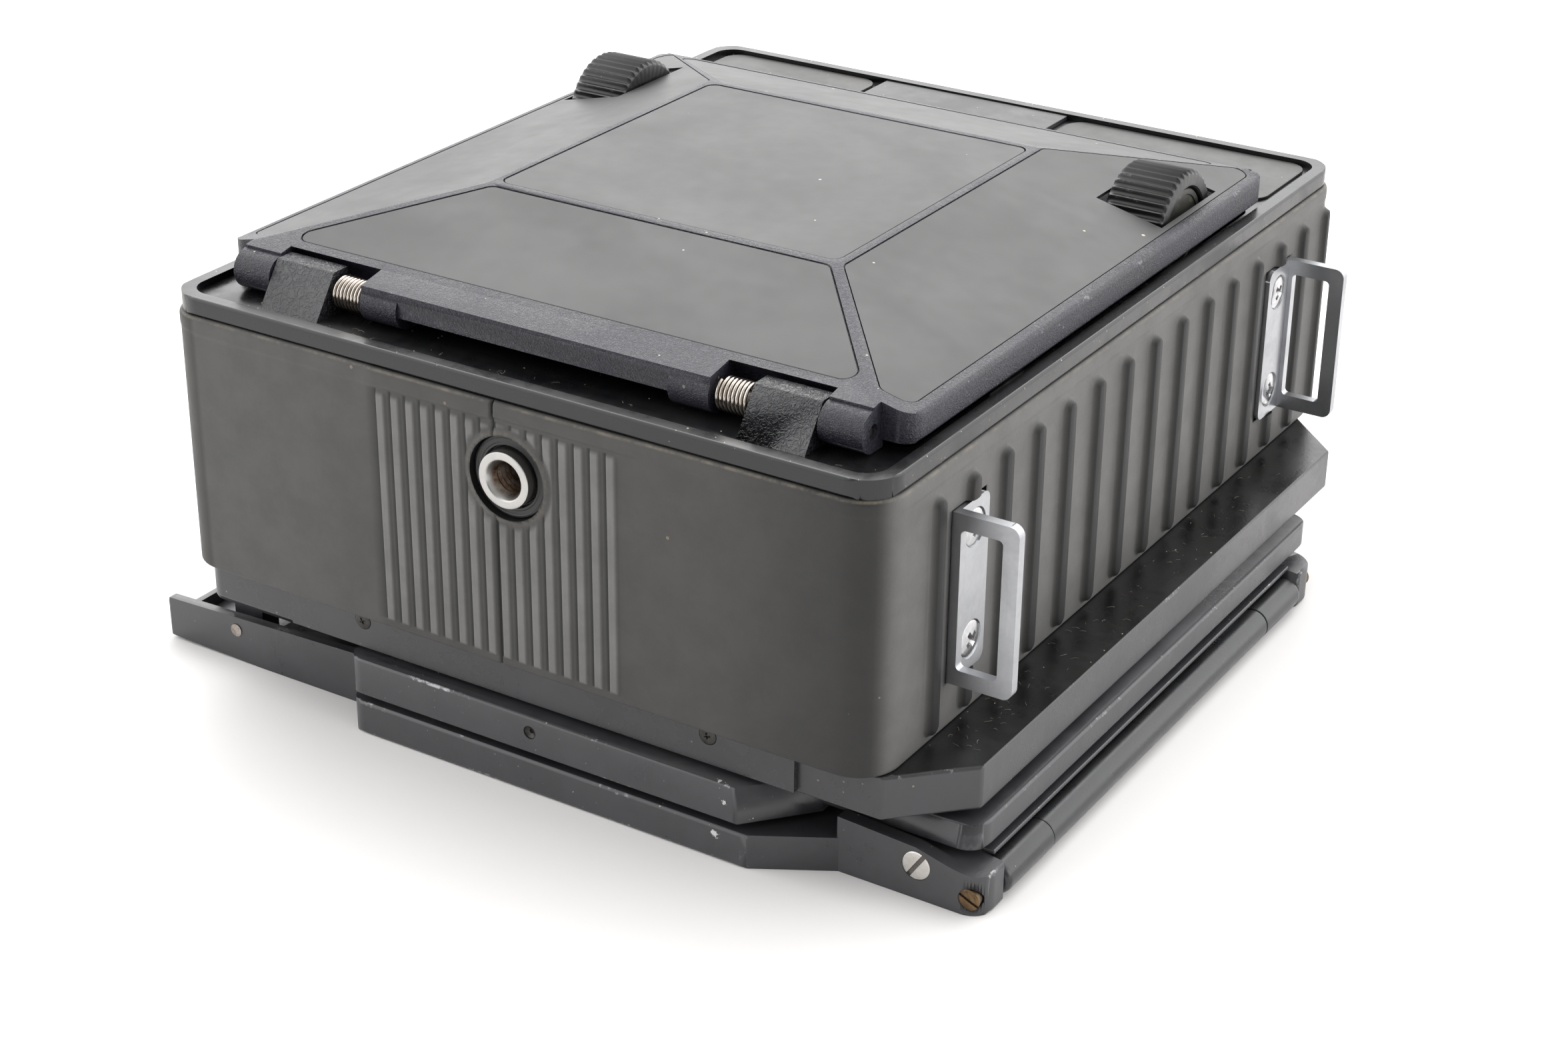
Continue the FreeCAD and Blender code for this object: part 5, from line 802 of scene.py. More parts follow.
class Mesher:
    """Ways to make and change meshes, all in metres of the frame."""

    HARD_ANGLE = math.radians(25)
    MASKS = ("edge", "hollow")

    @staticmethod
    def place(name: str, mesh: bpy.types.Mesh) -> Object:
        """Put a mesh into the scene as an object at the origin."""
        piece = bpy.data.objects.new(name, mesh)
        bpy.context.scene.collection.objects.link(piece)
        return piece

    @classmethod
    def finish(cls, name: str, bm: BMesh, sharp: float = 50.0, weighted: bool = True) -> Object:
        """Turn a bmesh into a smoothly shaded object.

        Args:
            name: name of the piece.
            bm: its bmesh, which is freed.
            sharp: edges over this angle, in degrees, stay sharp.
            weighted: keeps large flat faces flat in the shading.

        Returns:
            The new object.
        """
        for face in bm.faces:
            face.smooth = True
        mesh = bpy.data.meshes.new(name)
        bm.to_mesh(mesh)
        bm.free()
        mesh.set_sharp_from_angle(angle=math.radians(sharp))
        piece = cls.place(name, mesh)
        if weighted:
            modifier = piece.modifiers.new("weighted", "WEIGHTED_NORMAL")
            modifier.keep_sharp = True
            modifier.weight = 60
            cls.apply(piece)
        return piece

    @classmethod
    def cutter(cls, bm: BMesh) -> Object:
        """Turn a bmesh into an object that only cuts others.

        Args:
            bm: the bmesh, which is freed.

        Returns:
            The object.
        """
        mesh = bpy.data.meshes.new("cutter")
        bm.to_mesh(mesh)
        bm.free()
        return cls.place("cutter", mesh)

    @staticmethod
    def apply(piece: Object) -> None:
        """Apply every modifier of a piece.

        Args:
            piece: the piece, which gets a new mesh.
        """
        bpy.context.view_layer.update()
        graph = bpy.context.evaluated_depsgraph_get()
        mesh = bpy.data.meshes.new_from_object(piece.evaluated_get(graph), preserve_all_data_layers=True,
                                               depsgraph=graph)
        old, name = piece.data, piece.data.name
        piece.modifiers.clear()
        piece.data = mesh
        bpy.data.meshes.remove(old)
        mesh.name = name

    @classmethod
    def carve(cls, piece: Object, cutters: Sequence[Object]) -> None:
        """Cut other objects out of a piece.

        Args:
            piece: the piece.
            cutters: the objects, which are removed.
        """
        for cutter in cutters:
            modifier = piece.modifiers.new("cut", "BOOLEAN")
            modifier.operation = "DIFFERENCE"
            modifier.solver = "EXACT"
            modifier.object = cutter
        cls.apply(piece)
        for cutter in cutters:
            mesh = cutter.data
            bpy.data.objects.remove(cutter)
            bpy.data.meshes.remove(mesh)

    @classmethod
    def bevel(cls, bm: BMesh, width: float, segments: int, least: float,
              outer: Optional[Rim] = None) -> BMesh:
        """Round the hard edges of a bmesh and mark them in the masks edge and hollow.

        Args:
            bm: the bmesh, which is freed if a fresh one takes its place.
            width: width of the rounding in millimetres.
            segments: faces across the rounding.
            least: edges shorter than this many widths stay sharp.
            outer: the rim whose edges are rounded wider.

        Returns:
            The rounded bmesh.
        """
        for mask in cls.MASKS:
            bm.loops.layers.float.new(mask)
        if outer:
            rim = [e for e in cls.hard(bm) if all(outer.holds(v.co) for v in e.verts) and e.is_convex]
            cls.round_off(bm, rim, outer.width, outer.segments, False)
            bm = cls.merge([bm]) if outer.fresh else bm
        long = [e for e in cls.hard(bm) if e.calc_length() > least * width / 1000]
        cls.round_off(bm, long, width, segments, True)
        return bm

    @classmethod
    def hard(cls, bm: BMesh) -> list[bmesh.types.BMEdge]:
        """Return the edges between two faces that meet at an angle."""
        return [e for e in bm.edges if len(e.link_faces) == 2 and e.calc_face_angle(0) > cls.HARD_ANGLE]

    @classmethod
    def round_off(cls, bm: BMesh, edges: list, width: float, segments: int, clamp: bool) -> None:
        """Round chosen edges and mark their new faces.

        Args:
            bm: the bmesh.
            edges: the edges.
            width: width of the rounding in millimetres.
            segments: faces across the rounding.
            clamp: keeps roundings from running into each other.
        """
        made = bmesh.ops.bevel(bm, geom=edges, offset=width / 1000, offset_type="OFFSET", segments=segments,
                               profile=0.5, affect="EDGES", clamp_overlap=clamp, loop_slide=True)
        cls.mark(bm, made["faces"])

    @classmethod
    def mark(cls, bm: BMesh, faces: Iterable[bmesh.types.BMFace]) -> None:
        """Tell raised roundings from hollow ones in the masks.

        Args:
            bm: the bmesh.
            faces: the faces of the roundings.
        """
        edge_mask, hollow_mask = (bm.loops.layers.float[mask] for mask in cls.MASKS)
        bm.normal_update()
        for face in faces:
            centre, normal, turn = face.calc_center_median(), face.normal, 0.0
            for side in face.edges:
                for other in side.link_faces:
                    if other is not face:
                        way = (other.calc_center_median() - centre).normalized()
                        turn += normal.dot(way) * side.calc_length()
            for loop in face.loops:
                loop[edge_mask if turn < 0 else hollow_mask] = 1.0

    @classmethod
    def copy(cls, name: str, node: Object, width: float, segments: int, least: float,
             outer: Optional[Rim] = None) -> Object:
        """Copy a CAD node with its hard edges rounded.

        Args:
            name: name of the new piece.
            node: the CAD node.
            width: width of the rounding in millimetres.
            segments: faces across the rounding.
            least: edges shorter than this many widths stay sharp.
            outer: the rim whose edges are rounded wider.

        Returns:
            The new piece.
        """
        bm = bmesh.new()
        bm.from_mesh(node.data)
        bmesh.ops.remove_doubles(bm, verts=bm.verts, dist=3e-6)
        bmesh.ops.dissolve_limit(bm, angle_limit=math.radians(0.5), use_dissolve_boundaries=False,
                                 verts=bm.verts, edges=bm.edges, delimit=set())
        return cls.finish(name, cls.bevel(bm, width, segments, least, outer))

    @staticmethod
    def lathe(profile: Sequence[tuple[float, float]], centre: Point, axis: Point, sides: int = 48,
              ripple: Optional[Callable[[float, int], float]] = None) -> BMesh:
        """Turn a profile round an axis.

        Args:
            profile: points of (distance along the axis, radius) in millimetres, from end to end.
            centre: a point on the axis, in design millimetres.
            axis: direction of the axis.
            sides: faces round the axis.
            ripple: change of the radius by angle and by point of the profile, in millimetres.

        Returns:
            The bmesh, closed at points of radius 0.
        """
        bm = bmesh.new()
        along = Vector(axis).normalized()
        first = along.orthogonal().normalized()
        second = along.cross(first)
        start = at(*centre)
        rings = []
        for index, (reach, radius) in enumerate(profile):
            middle = start + along * (reach / 1000)
            if radius < 1e-6:
                rings.append([bm.verts.new(middle)])
                continue
            ring = []
            for k in range(sides):
                turn = 2 * math.pi * k / sides
                r = (radius + (ripple(turn, index) if ripple else 0)) / 1000
                ring.append(bm.verts.new(middle + (first * math.cos(turn) + second * math.sin(turn)) * r))
            rings.append(ring)
        for low, high in zip(rings, rings[1:]):
            if len(low) == 1 and len(high) == 1:
                continue
            for k in range(sides):
                j = (k + 1) % sides
                if len(low) == 1:
                    bm.faces.new((low[0], high[j], high[k]))
                elif len(high) == 1:
                    bm.faces.new((low[k], low[j], high[0]))
                else:
                    bm.faces.new((low[k], low[j], high[j], high[k]))
        bmesh.ops.recalc_face_normals(bm, faces=bm.faces)
        return bm

    @staticmethod
    def block(low: Point, high: Point) -> BMesh:
        """Make a block for cutting.

        Args:
            low: its lowest corner, in design millimetres.
            high: its highest corner.

        Returns:
            The bmesh.
        """
        bm = bmesh.new()
        a, b = at(*low), at(*high)
        for vert in bmesh.ops.create_cube(bm, size=1)["verts"]:
            vert.co = Vector(((a[i] + b[i]) / 2 + vert.co[i] * (b[i] - a[i]) for i in range(3)))
        return bm

    @staticmethod
    def tube(points: Sequence[Vector], radius: float, sides: int = 10) -> BMesh:
        """Sweep a round wire along points in metres.

        Args:
            points: the path.
            radius: radius of the wire in millimetres.
            sides: faces round the wire.

        Returns:
            The bmesh with closed ends.
        """
        bm = bmesh.new()
        rings = []
        normal: Optional[Vector] = None
        for k, point in enumerate(points):
            ahead = points[min(k + 1, len(points) - 1)] - points[max(k - 1, 0)]
            ahead.normalize()
            level = ahead.orthogonal() if normal is None else normal - ahead * normal.dot(ahead)
            normal = level.normalized()
            side = ahead.cross(normal)
            rings.append([bm.verts.new(point + (normal * math.cos(a) + side * math.sin(a)) * radius / 1000)
                          for a in (2 * math.pi * i / sides for i in range(sides))])
        for low, high in zip(rings, rings[1:]):
            for i in range(sides):
                j = (i + 1) % sides
                bm.faces.new((low[i], low[j], high[j], high[i]))
        bm.faces.new(rings[0][::-1])
        bm.faces.new(rings[-1])
        return bm

    @staticmethod
    def merge(parts: Iterable[BMesh]) -> BMesh:
        """Join several bmeshes into one.

        Args:
            parts: the bmeshes, which are freed.

        Returns:
            The whole.
        """
        whole = bmesh.new()
        for part in parts:
            mesh = bpy.data.meshes.new("part")
            part.to_mesh(mesh)
            part.free()
            whole.from_mesh(mesh)
            bpy.data.meshes.remove(mesh)
        return whole


@dataclass
class Workshop:
    """Where pieces get their finish and their body."""

    frame: dict
    slots: dict[str, str] = field(default_factory=dict)
    materials: dict[str, Material] = field(default_factory=dict)

    def __post_init__(self) -> None:
        """Read which material slot each node of the record has."""
        for row in self.frame["record"]["subparts"]:
            self.slots[row["node"]] = row["material_slot"]

    def node(self, name: str) -> Object:
        """Return a CAD node's object."""
        return self.frame["nodes"][name]

    def material(self, finish: Finish) -> Material:
        """Return a finish's material, built the first time that it is asked for."""
        if finish.name not in self.materials:
            self.materials[finish.name] = finish.build()
        return self.materials[finish.name]

    def dress(self, names: Iterable[str], finish: Finish) -> None:
        """Give CAD nodes that stay in view their finish.

        Args:
            names: the nodes.
            finish: their finish.
        """
        for name in names:
            data = self.node(name).data
            data.materials.clear()
            data.materials.append(self.material(finish))
            LOG.info("node %s in %s", name, finish.name)

    def fit(self, piece: Object, finish: Finish, name: str) -> None:
        """Dress a piece and mount it in place of a CAD node.

        Args:
            piece: the new piece.
            finish: its finish.
            name: the CAD node that it stands for.
        """
        self.join(piece, finish, name)
        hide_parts(name)

    def join(self, piece: Object, finish: Finish, name: str) -> None:
        """Dress a piece and mount it on the body of a CAD node that it adds to.

        Args:
            piece: the new piece.
            finish: its finish.
            name: the CAD node.
        """
        self.coat(piece, finish, name)
        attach(piece, self.node(name)["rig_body"])

    def coat(self, piece: Object, finish: Finish, name: str) -> None:
        """Give a piece its finish.

        Args:
            piece: the piece.
            finish: its finish.
            name: the CAD node.
        """
        piece.data.materials.clear()
        piece.data.materials.append(self.material(finish))
        for polygon in piece.data.polygons:
            polygon.material_index = 0
        LOG.info("piece %s in %s for %s", piece.name, finish.name, name)

    def refine(self, name: str, width: float, finish: Finish, segments: int = 2, least: float = 1.5,
               cutters: Sequence[Object] = (), outer: Optional[Rim] = None) -> None:
        """Replace a CAD node by a copy with rounded edges.

        Args:
            name: the CAD node.
            width: width of the rounding in millimetres.
            finish: its finish.
            segments: faces across a rounding.
            least: edges shorter than this many widths stay sharp.
            cutters: what is cut out of the copy.
            outer: the rim whose edges are rounded wider.
        """
        piece = Mesher.copy(f"{name}_shaped", self.node(name), width, segments, least, outer)
        if cutters:
            Mesher.carve(piece, cutters)
        self.fit(piece, finish, name)


# Sub-assemblies


@dataclass
class RubberCover:
    """The moulded rubber round the body, with side ribs and a ridged panel round the tripod bush."""

    half_x: float = 87.0
    length: float = 214.0
    corner: float = 9.0
    wall: float = 2.0
    high: float = 58.5
    rib_first: float = 20.6
    rib_pitch: float = 13.33
    rib_count: int = 15
    rib_proud: float = 1.55
    rib_flank: tuple[float, float] = (1.38, 2.42)
    rib_low: float = 3.7
    rib_high: float = 50.9
    tread_first: float = -30.0
    tread_pitch: float = 3.75
    tread_count: int = 16
    tread_width: float = 1.9
    tread_proud: float = 0.48
    crease_width: float = 0.36
    panel_half: float = 31.5
    tread_low: float = 2.0
    tread_high: float = 54.2
    boss_radius: float = 9.0
    seam_x: float = -0.9
    button_radius: float = 5.6
    lug_ys: tuple[tuple[float, float], ...] = ((26.4, 40.0), (173.8, 187.4))
    lug_zs: tuple[float, float] = (10.2, 47.6)
    top_round: float = 1.15
    foot_round: float = 0.45
    bead_low: float = 54.6
    cut_reach: float = 4.0
    rib_columns: tuple[float, ...] = (0, 0.6, 1.1, 1.4, 1.65, 1.9, 2.15, 2.4, 2.75, 3.3, 4.6, 6.6)
    tread_columns: tuple[float, ...] = (0, 0.45, 0.7, 0.9, 1.1, 1.35, 1.7)
    seam_columns: tuple[float, ...] = (0, 0.25, 0.5)

    @property
    def flat(self) -> float:
        """Return the straight length of the front and the far face."""
        return 2 * (self.half_x - self.corner)

    @property
    def bend(self) -> float:
        """Return the length of a corner's arc."""
        return self.corner * math.pi / 2

    @property
    def side(self) -> float:
        """Return the straight length of a side."""
        return self.length - 2 * self.corner

    def marks(self) -> tuple[np.ndarray, list[float]]:
        """Place the columns of the mesh round the outline.

        Returns:
            The columns, as distances along the outline, and the middles of the ribs.
        """
        flat, bend, side = self.flat, self.bend, self.side
        starts = np.cumsum([0, flat, bend, side, bend, flat, bend, side])
        total = float(starts[-1] + bend)
        ribs = []
        for k in range(self.rib_count):
            y = self.rib_first + k * self.rib_pitch
            run = y - self.corner
            if run > side:
                run = side + self.corner * math.asin((run - side) / self.corner)
            ribs.append(float(starts[2] + run))
            ribs.append(float(starts[6] + side - run))

        def beside(middle: float, offsets: Sequence[float]) -> set[float]:
            """Place columns on both sides of a middle."""
            return {round(middle + side * offset, 4) for offset in offsets for side in (-1, 1)}

        columns = {0.0}
        for middle in ribs:
            columns |= beside(middle, self.rib_columns)
        for k in range(self.tread_count):
            middle = self.tread_first + k * self.tread_pitch + self.tread_width / 2 + flat / 2
            columns |= beside(middle, self.tread_columns)
        columns |= beside(flat / 2 + self.seam_x, self.seam_columns)
        for start in starts[1::2]:
            columns |= {round(float(start) + bend * k / 12, 4) for k in range(13)}
        plain = ((0, flat / 2 + self.tread_first - 2, 2.5), (flat / 2 + 32, flat, 2.5),
                 (starts[4], starts[5], 3.5))
        for low, high, step in plain:
            columns |= {round(float(v), 4) for v in np.arange(low, high, step)}
        places = np.array(sorted(c % total for c in columns))
        keep = np.concatenate([[True], np.diff(places) > 0.12])
        return places[keep], ribs

    def rows(self) -> np.ndarray:
        """Place the rows of the mesh, closest where the relief changes.

        Returns:
            The rows' heights.
        """
        low = [0, 0.12, 0.35, 0.7, 1.0, 1.3, 1.6, 1.9, 2.2, 2.6, 3.0, 3.4, 3.8, 4.6]
        middle = list(np.arange(6.5, 31, 3.2)) + list(np.arange(31.5, 48.6, 0.95))
        top = [48.8, 49.4, 50, 50.6, 51.1, 51.5, 51.9, 52.3, 52.7, 53.05, 53.4, 53.8, 54.1, 54.4, 54.7, 55.0,
               55.3, 55.6, 55.9, 56.3, 56.8, 57.2, 57.55, 57.85, 58.1, 58.3, 58.42, 58.5]
        return np.array(low + middle + top)

    def outline(self, run: np.ndarray) -> tuple[np.ndarray, np.ndarray]:
        """Follow the rounded outline.

        Args:
            run: distances along it from the left end of the front face.

        Returns:
            Points (x, y) and their outward directions.
        """
        flat, bend, side = self.flat, self.bend, self.side
        lengths = [flat, bend, side, bend, flat, bend, side, bend]
        near, far = self.corner, self.length - self.corner
        corners = [(flat / 2, near), (flat / 2, far), (-flat / 2, far), (-flat / 2, near)]
        places, normals = np.zeros((len(run), 2)), np.zeros((len(run), 2))
        start = 0.0
        for index, length in enumerate(lengths):
            inside = (run >= start) & (run <= start + length)
            t = run[inside] - start
            base = -math.pi / 2 + (index // 2) * math.pi / 2
            if index % 2 == 0:
                out = np.array([math.cos(base), math.sin(base)])
                ahead = np.array([-out[1], out[0]])
                places[inside] = np.array(corners[index // 2 - 1]) + out * self.corner + ahead * t[:, None]
            else:
                angle = base + t / self.corner
                out = np.stack([np.cos(angle), np.sin(angle)], 1)
                places[inside] = np.array(corners[index // 2]) + out * self.corner
            normals[inside] = out
            start += length
        return places, normals

    def ribs(self, run: np.ndarray, z: np.ndarray, middles: list[float]) -> tuple[np.ndarray, np.ndarray]:
        """Raise the ribs of the two sides.

        Args:
            run: distances along the outline.
            z: heights.
            middles: middles of the ribs along the outline.

        Returns:
            The offset in millimetres and the ribs' mask.
        """
        total = 2 * self.flat + 2 * self.side + 4 * self.bend
        offset, mask = np.zeros_like(run), np.zeros_like(run)
        ends = np.clip(z, self.rib_low, self.rib_high)
        for middle in middles:
            away = np.abs((run - middle + total / 2) % total - total / 2)
            reach = np.hypot(away, z - ends)
            form = 1 - smoothstep(*self.rib_flank, reach)
            crown = 1 - 0.10 * np.clip(reach / 1.3, 0, 1) ** 2
            offset = np.maximum(offset, self.rib_proud * form * crown)
            mask = np.maximum(mask, form)
        return offset, mask

    def treads(self, x: np.ndarray, z: np.ndarray, front: np.ndarray,
               ring: np.ndarray) -> tuple[np.ndarray, np.ndarray]:
        """Raise the narrow treads of the ridged panel round the bush.

        Args:
            x: distances from the middle of the front face.
            z: heights.
            front: where the panel is.
            ring: distances from the bush's axis.

        Returns:
            The masks of the treads and of the creases beside them; a crease sinks the surface a little and
            carries a painted shadow line.
        """
        half, pitch = self.tread_width / 2, self.tread_pitch
        step = (x - self.tread_first - half) / pitch
        index = np.clip(np.round(step), 0, self.tread_count - 1)
        form = 1 - smoothstep(half - 0.22, half + 0.34, np.abs(step - index) * pitch)
        # Crease at the left of each tread: a shallow groove and a painted shadow line.
        crease_and_shadow = np.exp(-(((step - index) * pitch + half + 0.42) / self.crease_width) ** 2)
        top = self.tread_high - 0.55 * (x < self.seam_x)
        form = form * smoothstep(self.tread_low - 0.4, self.tread_low + 0.5, z)
        form = form * (1 - smoothstep(top - 0.9, top, z))
        form = np.where(ring < 12.5, form * smoothstep(10.3, 11.8, ring), form)
        crease_and_shadow = np.where(front & (z > self.tread_low) & (z < self.tread_high) & (ring > 10.5), crease_and_shadow, 0)
        return np.where(front, form, 0), crease_and_shadow

    def relief(self, run: np.ndarray, z: np.ndarray, facing: np.ndarray,
               middles: list[float]) -> tuple[np.ndarray, ...]:
        """Work out how far the surface stands out.

        Args:
            run: distances along the outline.
            z: heights.
            facing: how far each point faces left or right, from -1 to 1.
            middles: middles of the ribs along the outline.

        Returns:
            The offset in millimetres and the relief, bloom with painted light and shade, and fray masks.
        """
        offset, mask = self.ribs(run, z, middles)
        x = run - self.flat / 2
        face = run < self.flat
        front = face & (np.abs(x) < self.panel_half)
        left = x < self.seam_x
        ring = np.hypot(x - SOCKET_X, z - SOCKET_Z)
        tread, crease_and_shadow = self.treads(x, z, front, ring)
        offset = np.maximum(offset, self.tread_proud * tread) - 0.10 * crease_and_shadow
        dish = 0.42 * (1 - smoothstep(9.4, 11.0, ring)) + 0.10 * np.exp(-((ring - 13.4) / 0.35) ** 2)
        offset = offset + np.where(front, dish, 0)
        panel = np.where(face, 1 - smoothstep(30.6, 33.5, np.abs(x)), 0)
        bead = smoothstep(self.bead_low - 0.5 * left, self.bead_low + 1 - 0.5 * left, z)
        offset = offset + bead * (0.16 + 0.26 * panel)
        seam = np.where(face, np.exp(-((x - self.seam_x) / 0.26) ** 2), 0) * (ring > 9.2)
        offset = offset - seam * (0.35 + 0.45 * smoothstep(54, 55.5, z))
        top = np.clip(z - (self.high - self.top_round), 0, None)
        offset = offset - (self.top_round - np.sqrt(np.clip(self.top_round ** 2 - top ** 2, 0, None))) * 0.85
        foot = np.clip(self.foot_round - z, 0, None)
        offset = offset - (self.foot_round - np.sqrt(np.clip(self.foot_round ** 2 - foot ** 2, 0, None)))
        bloom_and_shade = self.bloom_and_shade(run, x, facing, mask)
        # Painted shadow: the bloom is taken out along each crease, leaving a dark line there; it is also
        # taken out along the seam.
        bloom_and_shade = np.where(front, 0.36 + 0.64 * tread, bloom_and_shade) * (1 - 0.95 * crease_and_shadow) * (1 - 0.9 * seam)
        fray = 0.8 * np.exp(-((z - 58.2) / 0.2) ** 2)
        fray = fray + 0.35 * np.where(front, np.exp(-((ring - 9.6) / 0.5) ** 2), 0)
        return offset, mask, bloom_and_shade, fray

    def bloom_and_shade(self, run: np.ndarray, x: np.ndarray, facing: np.ndarray, mask: np.ndarray) -> np.ndarray:
        """Spread the chalky bloom, which also paints light and shade: most on the sides, least at the front's
        right end and on the ribs.

        Args:
            run: distances along the outline.
            x: distances from the middle of the front face.
            facing: how far each point faces left or right, from -1 to 1.
            mask: the ribs.

        Returns:
            The strength of the bloom and of the painted light and shade.
        """
        # Painted light and shade: the front goes darker towards its right end, the far face gets little bloom
        # and the sides most, and the ribs lose it, partly as rubbed clean rubber and partly as painted shade.
        front = 0.50 - 0.14 * smoothstep(-70, 0, x) - 0.26 * smoothstep(40, 92, x)
        onward = np.where(run < self.flat + self.bend, front, 0.22)
        sideways = smoothstep(0.6, 1.0, np.abs(facing)) ** 2
        return (onward + (0.72 - onward) * sideways) * (1 - 0.97 * mask)

    def build(self, shop: Workshop) -> None:
        """Build the cover, cut its openings and mount it.

        Args:
            shop: the workshop.
        """
        run, middles = self.marks()
        rows = self.rows()
        grid_run, grid_z = np.meshgrid(run, rows)
        places, normals = self.outline(run)
        facing = np.tile(normals[:, 0], len(rows))
        offset, mask, bloom_and_shade, fray = self.relief(grid_run.ravel(), grid_z.ravel(), facing, middles)
        points = np.tile(places, (len(rows), 1)) + np.tile(normals, (len(rows), 1)) * offset[:, None]
        outer = np.column_stack([points, grid_z.ravel()])
        lining = places - normals * (self.wall - 0.02)
        inner = np.vstack([np.column_stack([lining, np.full(len(run), z)]) for z in (self.high - 0.25, 0.0)])
        verts = (np.vstack([outer, inner]) + np.array(FRAME_SHIFT)) / 1000
        count = len(run)
        faces = []
        rings = [row * count for row in range(len(rows) + 2)] + [0]
        for low, high in zip(rings, rings[1:]):
            for k in range(count):
                j = (k + 1) % count
                faces.append((low + k, low + j, high + j, high + k))
        mesh = bpy.data.meshes.new("rubber_cover_shaped")
        mesh.from_pydata(verts.tolist(), [], faces)
        for name, values in (("relief", mask), ("bloom_and_shade", bloom_and_shade), ("fray", fray)):
            layer = mesh.attributes.new(name, "FLOAT", "POINT")
            layer.data.foreach_set("value", np.concatenate([values, np.zeros(2 * count)]).astype(np.float32))
        mesh.polygons.foreach_set("use_smooth", np.ones(len(faces), dtype=bool))
        mesh.validate()
        mesh.update()
        piece = Mesher.place("rubber_cover_shaped", mesh)
        Mesher.carve(piece, self.openings())
        piece.data.set_sharp_from_angle(angle=math.radians(55))
        shop.fit(piece, RUBBER, "rubber_cover")

    def openings(self) -> list[Object]:
        """Make what cuts the openings for the bush, the latch button and the strap lugs.

        Returns:
            The cutters.
        """
        reach = self.cut_reach
        cutters = []
        for radius, centre in ((self.boss_radius, (SOCKET_X, 0, SOCKET_Z)),
                               (self.button_radius, (0, self.length, BUTTON_Z))):
            profile = [(-reach, 0), (-reach, radius), (reach, radius), (reach, 0)]
            cutters.append(Mesher.cutter(Mesher.lathe(profile, centre, (0, 1, 0), 96)))
        left, right = self.half_x - 3, self.half_x + 3
        for near, far in self.lug_ys:
            block = Mesher.block((left, near, self.lug_zs[0]), (right, far, self.lug_zs[1]))
            cutters.append(Mesher.cutter(block))
        return cutters


class Recess(Enum):
    """How a screw head is driven."""

    SLOT = "slot"
    CROSS = "cross"


@dataclass
class ScrewHead:
    """A turned screw head with its driving recess. Lengths are in millimetres."""

    centre: Point
    axis: Point
    radius: float
    recess: Recess
    depth: float = 0.9
    dome: float = 0.35
    rise: float = 0.0
    under: float = 1.2
    turn: float = 0.0
    gap: float = 0.7
    rim: float = 0.14

    def head(self) -> BMesh:
        """Turn the head's low dome and rim.

        Returns:
            The head without its recess.
        """
        r, top, crown = self.radius, self.rise, self.radius - self.rim
        profile = [(-self.under, 0), (-self.under, r * 0.8), (-0.25 + top, r), (-0.08 + top, r), (top, crown)]
        profile += [(top + self.dome * (1 - (k / 8) ** 2), crown * k / 8) for k in range(7, -1, -1)]
        return Mesher.lathe(profile, self.centre, self.axis, 40)

    def cutters(self) -> list[BMesh]:
        """Make the blades that cut the recess.

        Returns:
            One blade for a slot, two for a cross.
        """
        along = Vector(self.axis).normalized()
        level_way = Vector((0, 0, 1)).cross(along).normalized()
        first = level_way * math.cos(self.turn) + Vector((0, 0, 1)) * math.sin(self.turn)
        second = along.cross(first)
        middle = at(*self.centre)
        top = (self.rise + self.dome + 0.4) / 1000
        floor = top - (self.depth + 0.4) / 1000
        if self.recess is Recess.SLOT:
            arms, ends = [(first, second)], ((floor, 1.2, 1), (top, 1.2, 1))
        else:
            arms, ends = [(first, second), (second, first)], ((floor, 0.14, 0.8), (top, 0.68, 1.15))
        blades = []
        for long, wide in arms:
            bm = bmesh.new()
            rings = []
            for level, share, width in ends:
                length, half = self.radius * share, self.gap / 2 / 1000 * width
                base = middle + along * level
                rings.append([bm.verts.new(base + long * (sx * length / 1000) + wide * (sy * half))
                              for sx, sy in ((-1, -1), (1, -1), (1, 1), (-1, 1))])
            bm.faces.new(rings[0][::-1])
            bm.faces.new(rings[1])
            for k in range(4):
                j = (k + 1) % 4
                bm.faces.new((rings[0][k], rings[0][j], rings[1][j], rings[1][k]))
            bmesh.ops.recalc_face_normals(bm, faces=bm.faces)
            blades.append(bm)
        return blades

    def build(self, name: str) -> Object:
        """Make the head with its recess cut.

        Args:
            name: name of the piece.

        Returns:
            The head.
        """
        piece = Mesher.finish(name, self.head(), 40, weighted=False)
        Mesher.carve(piece, [Mesher.cutter(blade) for blade in self.cutters()])
        middle, along = at(*self.centre), Vector(self.axis).normalized()
        # The hollow mask marks the recess, which metal finishes fill with painted shade.
        layer = piece.data.attributes.get("hollow") or piece.data.attributes.new("hollow", "FLOAT", "POINT")
        for vert in piece.data.vertices:
            away = vert.co - middle
            reach = away.dot(along) * 1000
            aside = (away - along * away.dot(along)).length * 1000
            sunk = self.rise + self.dome * (1 - (aside / self.radius) ** 2) - reach
            inside = sunk > 0.3 * self.depth and aside < self.radius - 0.02
            layer.data[vert.index].value = 1.0 if inside else 0.0
        piece.data.set_sharp_from_angle(angle=math.radians(35))
        return piece


def screws(name: str, heads: Sequence[ScrewHead]) -> Object:
    """Make one piece of several screw heads.

    Args:
        name: name of the piece.
        heads: the heads.

    Returns:
        The piece.
    """
    made = [head.build(f"{name}_{k}") for k, head in enumerate(heads)]
    bm = bmesh.new()
    for item in made:
        bm.from_mesh(item.data)
        mesh = item.data
        bpy.data.objects.remove(item)
        bpy.data.meshes.remove(mesh)
    return Mesher.finish(name, bm, 35, weighted=False)


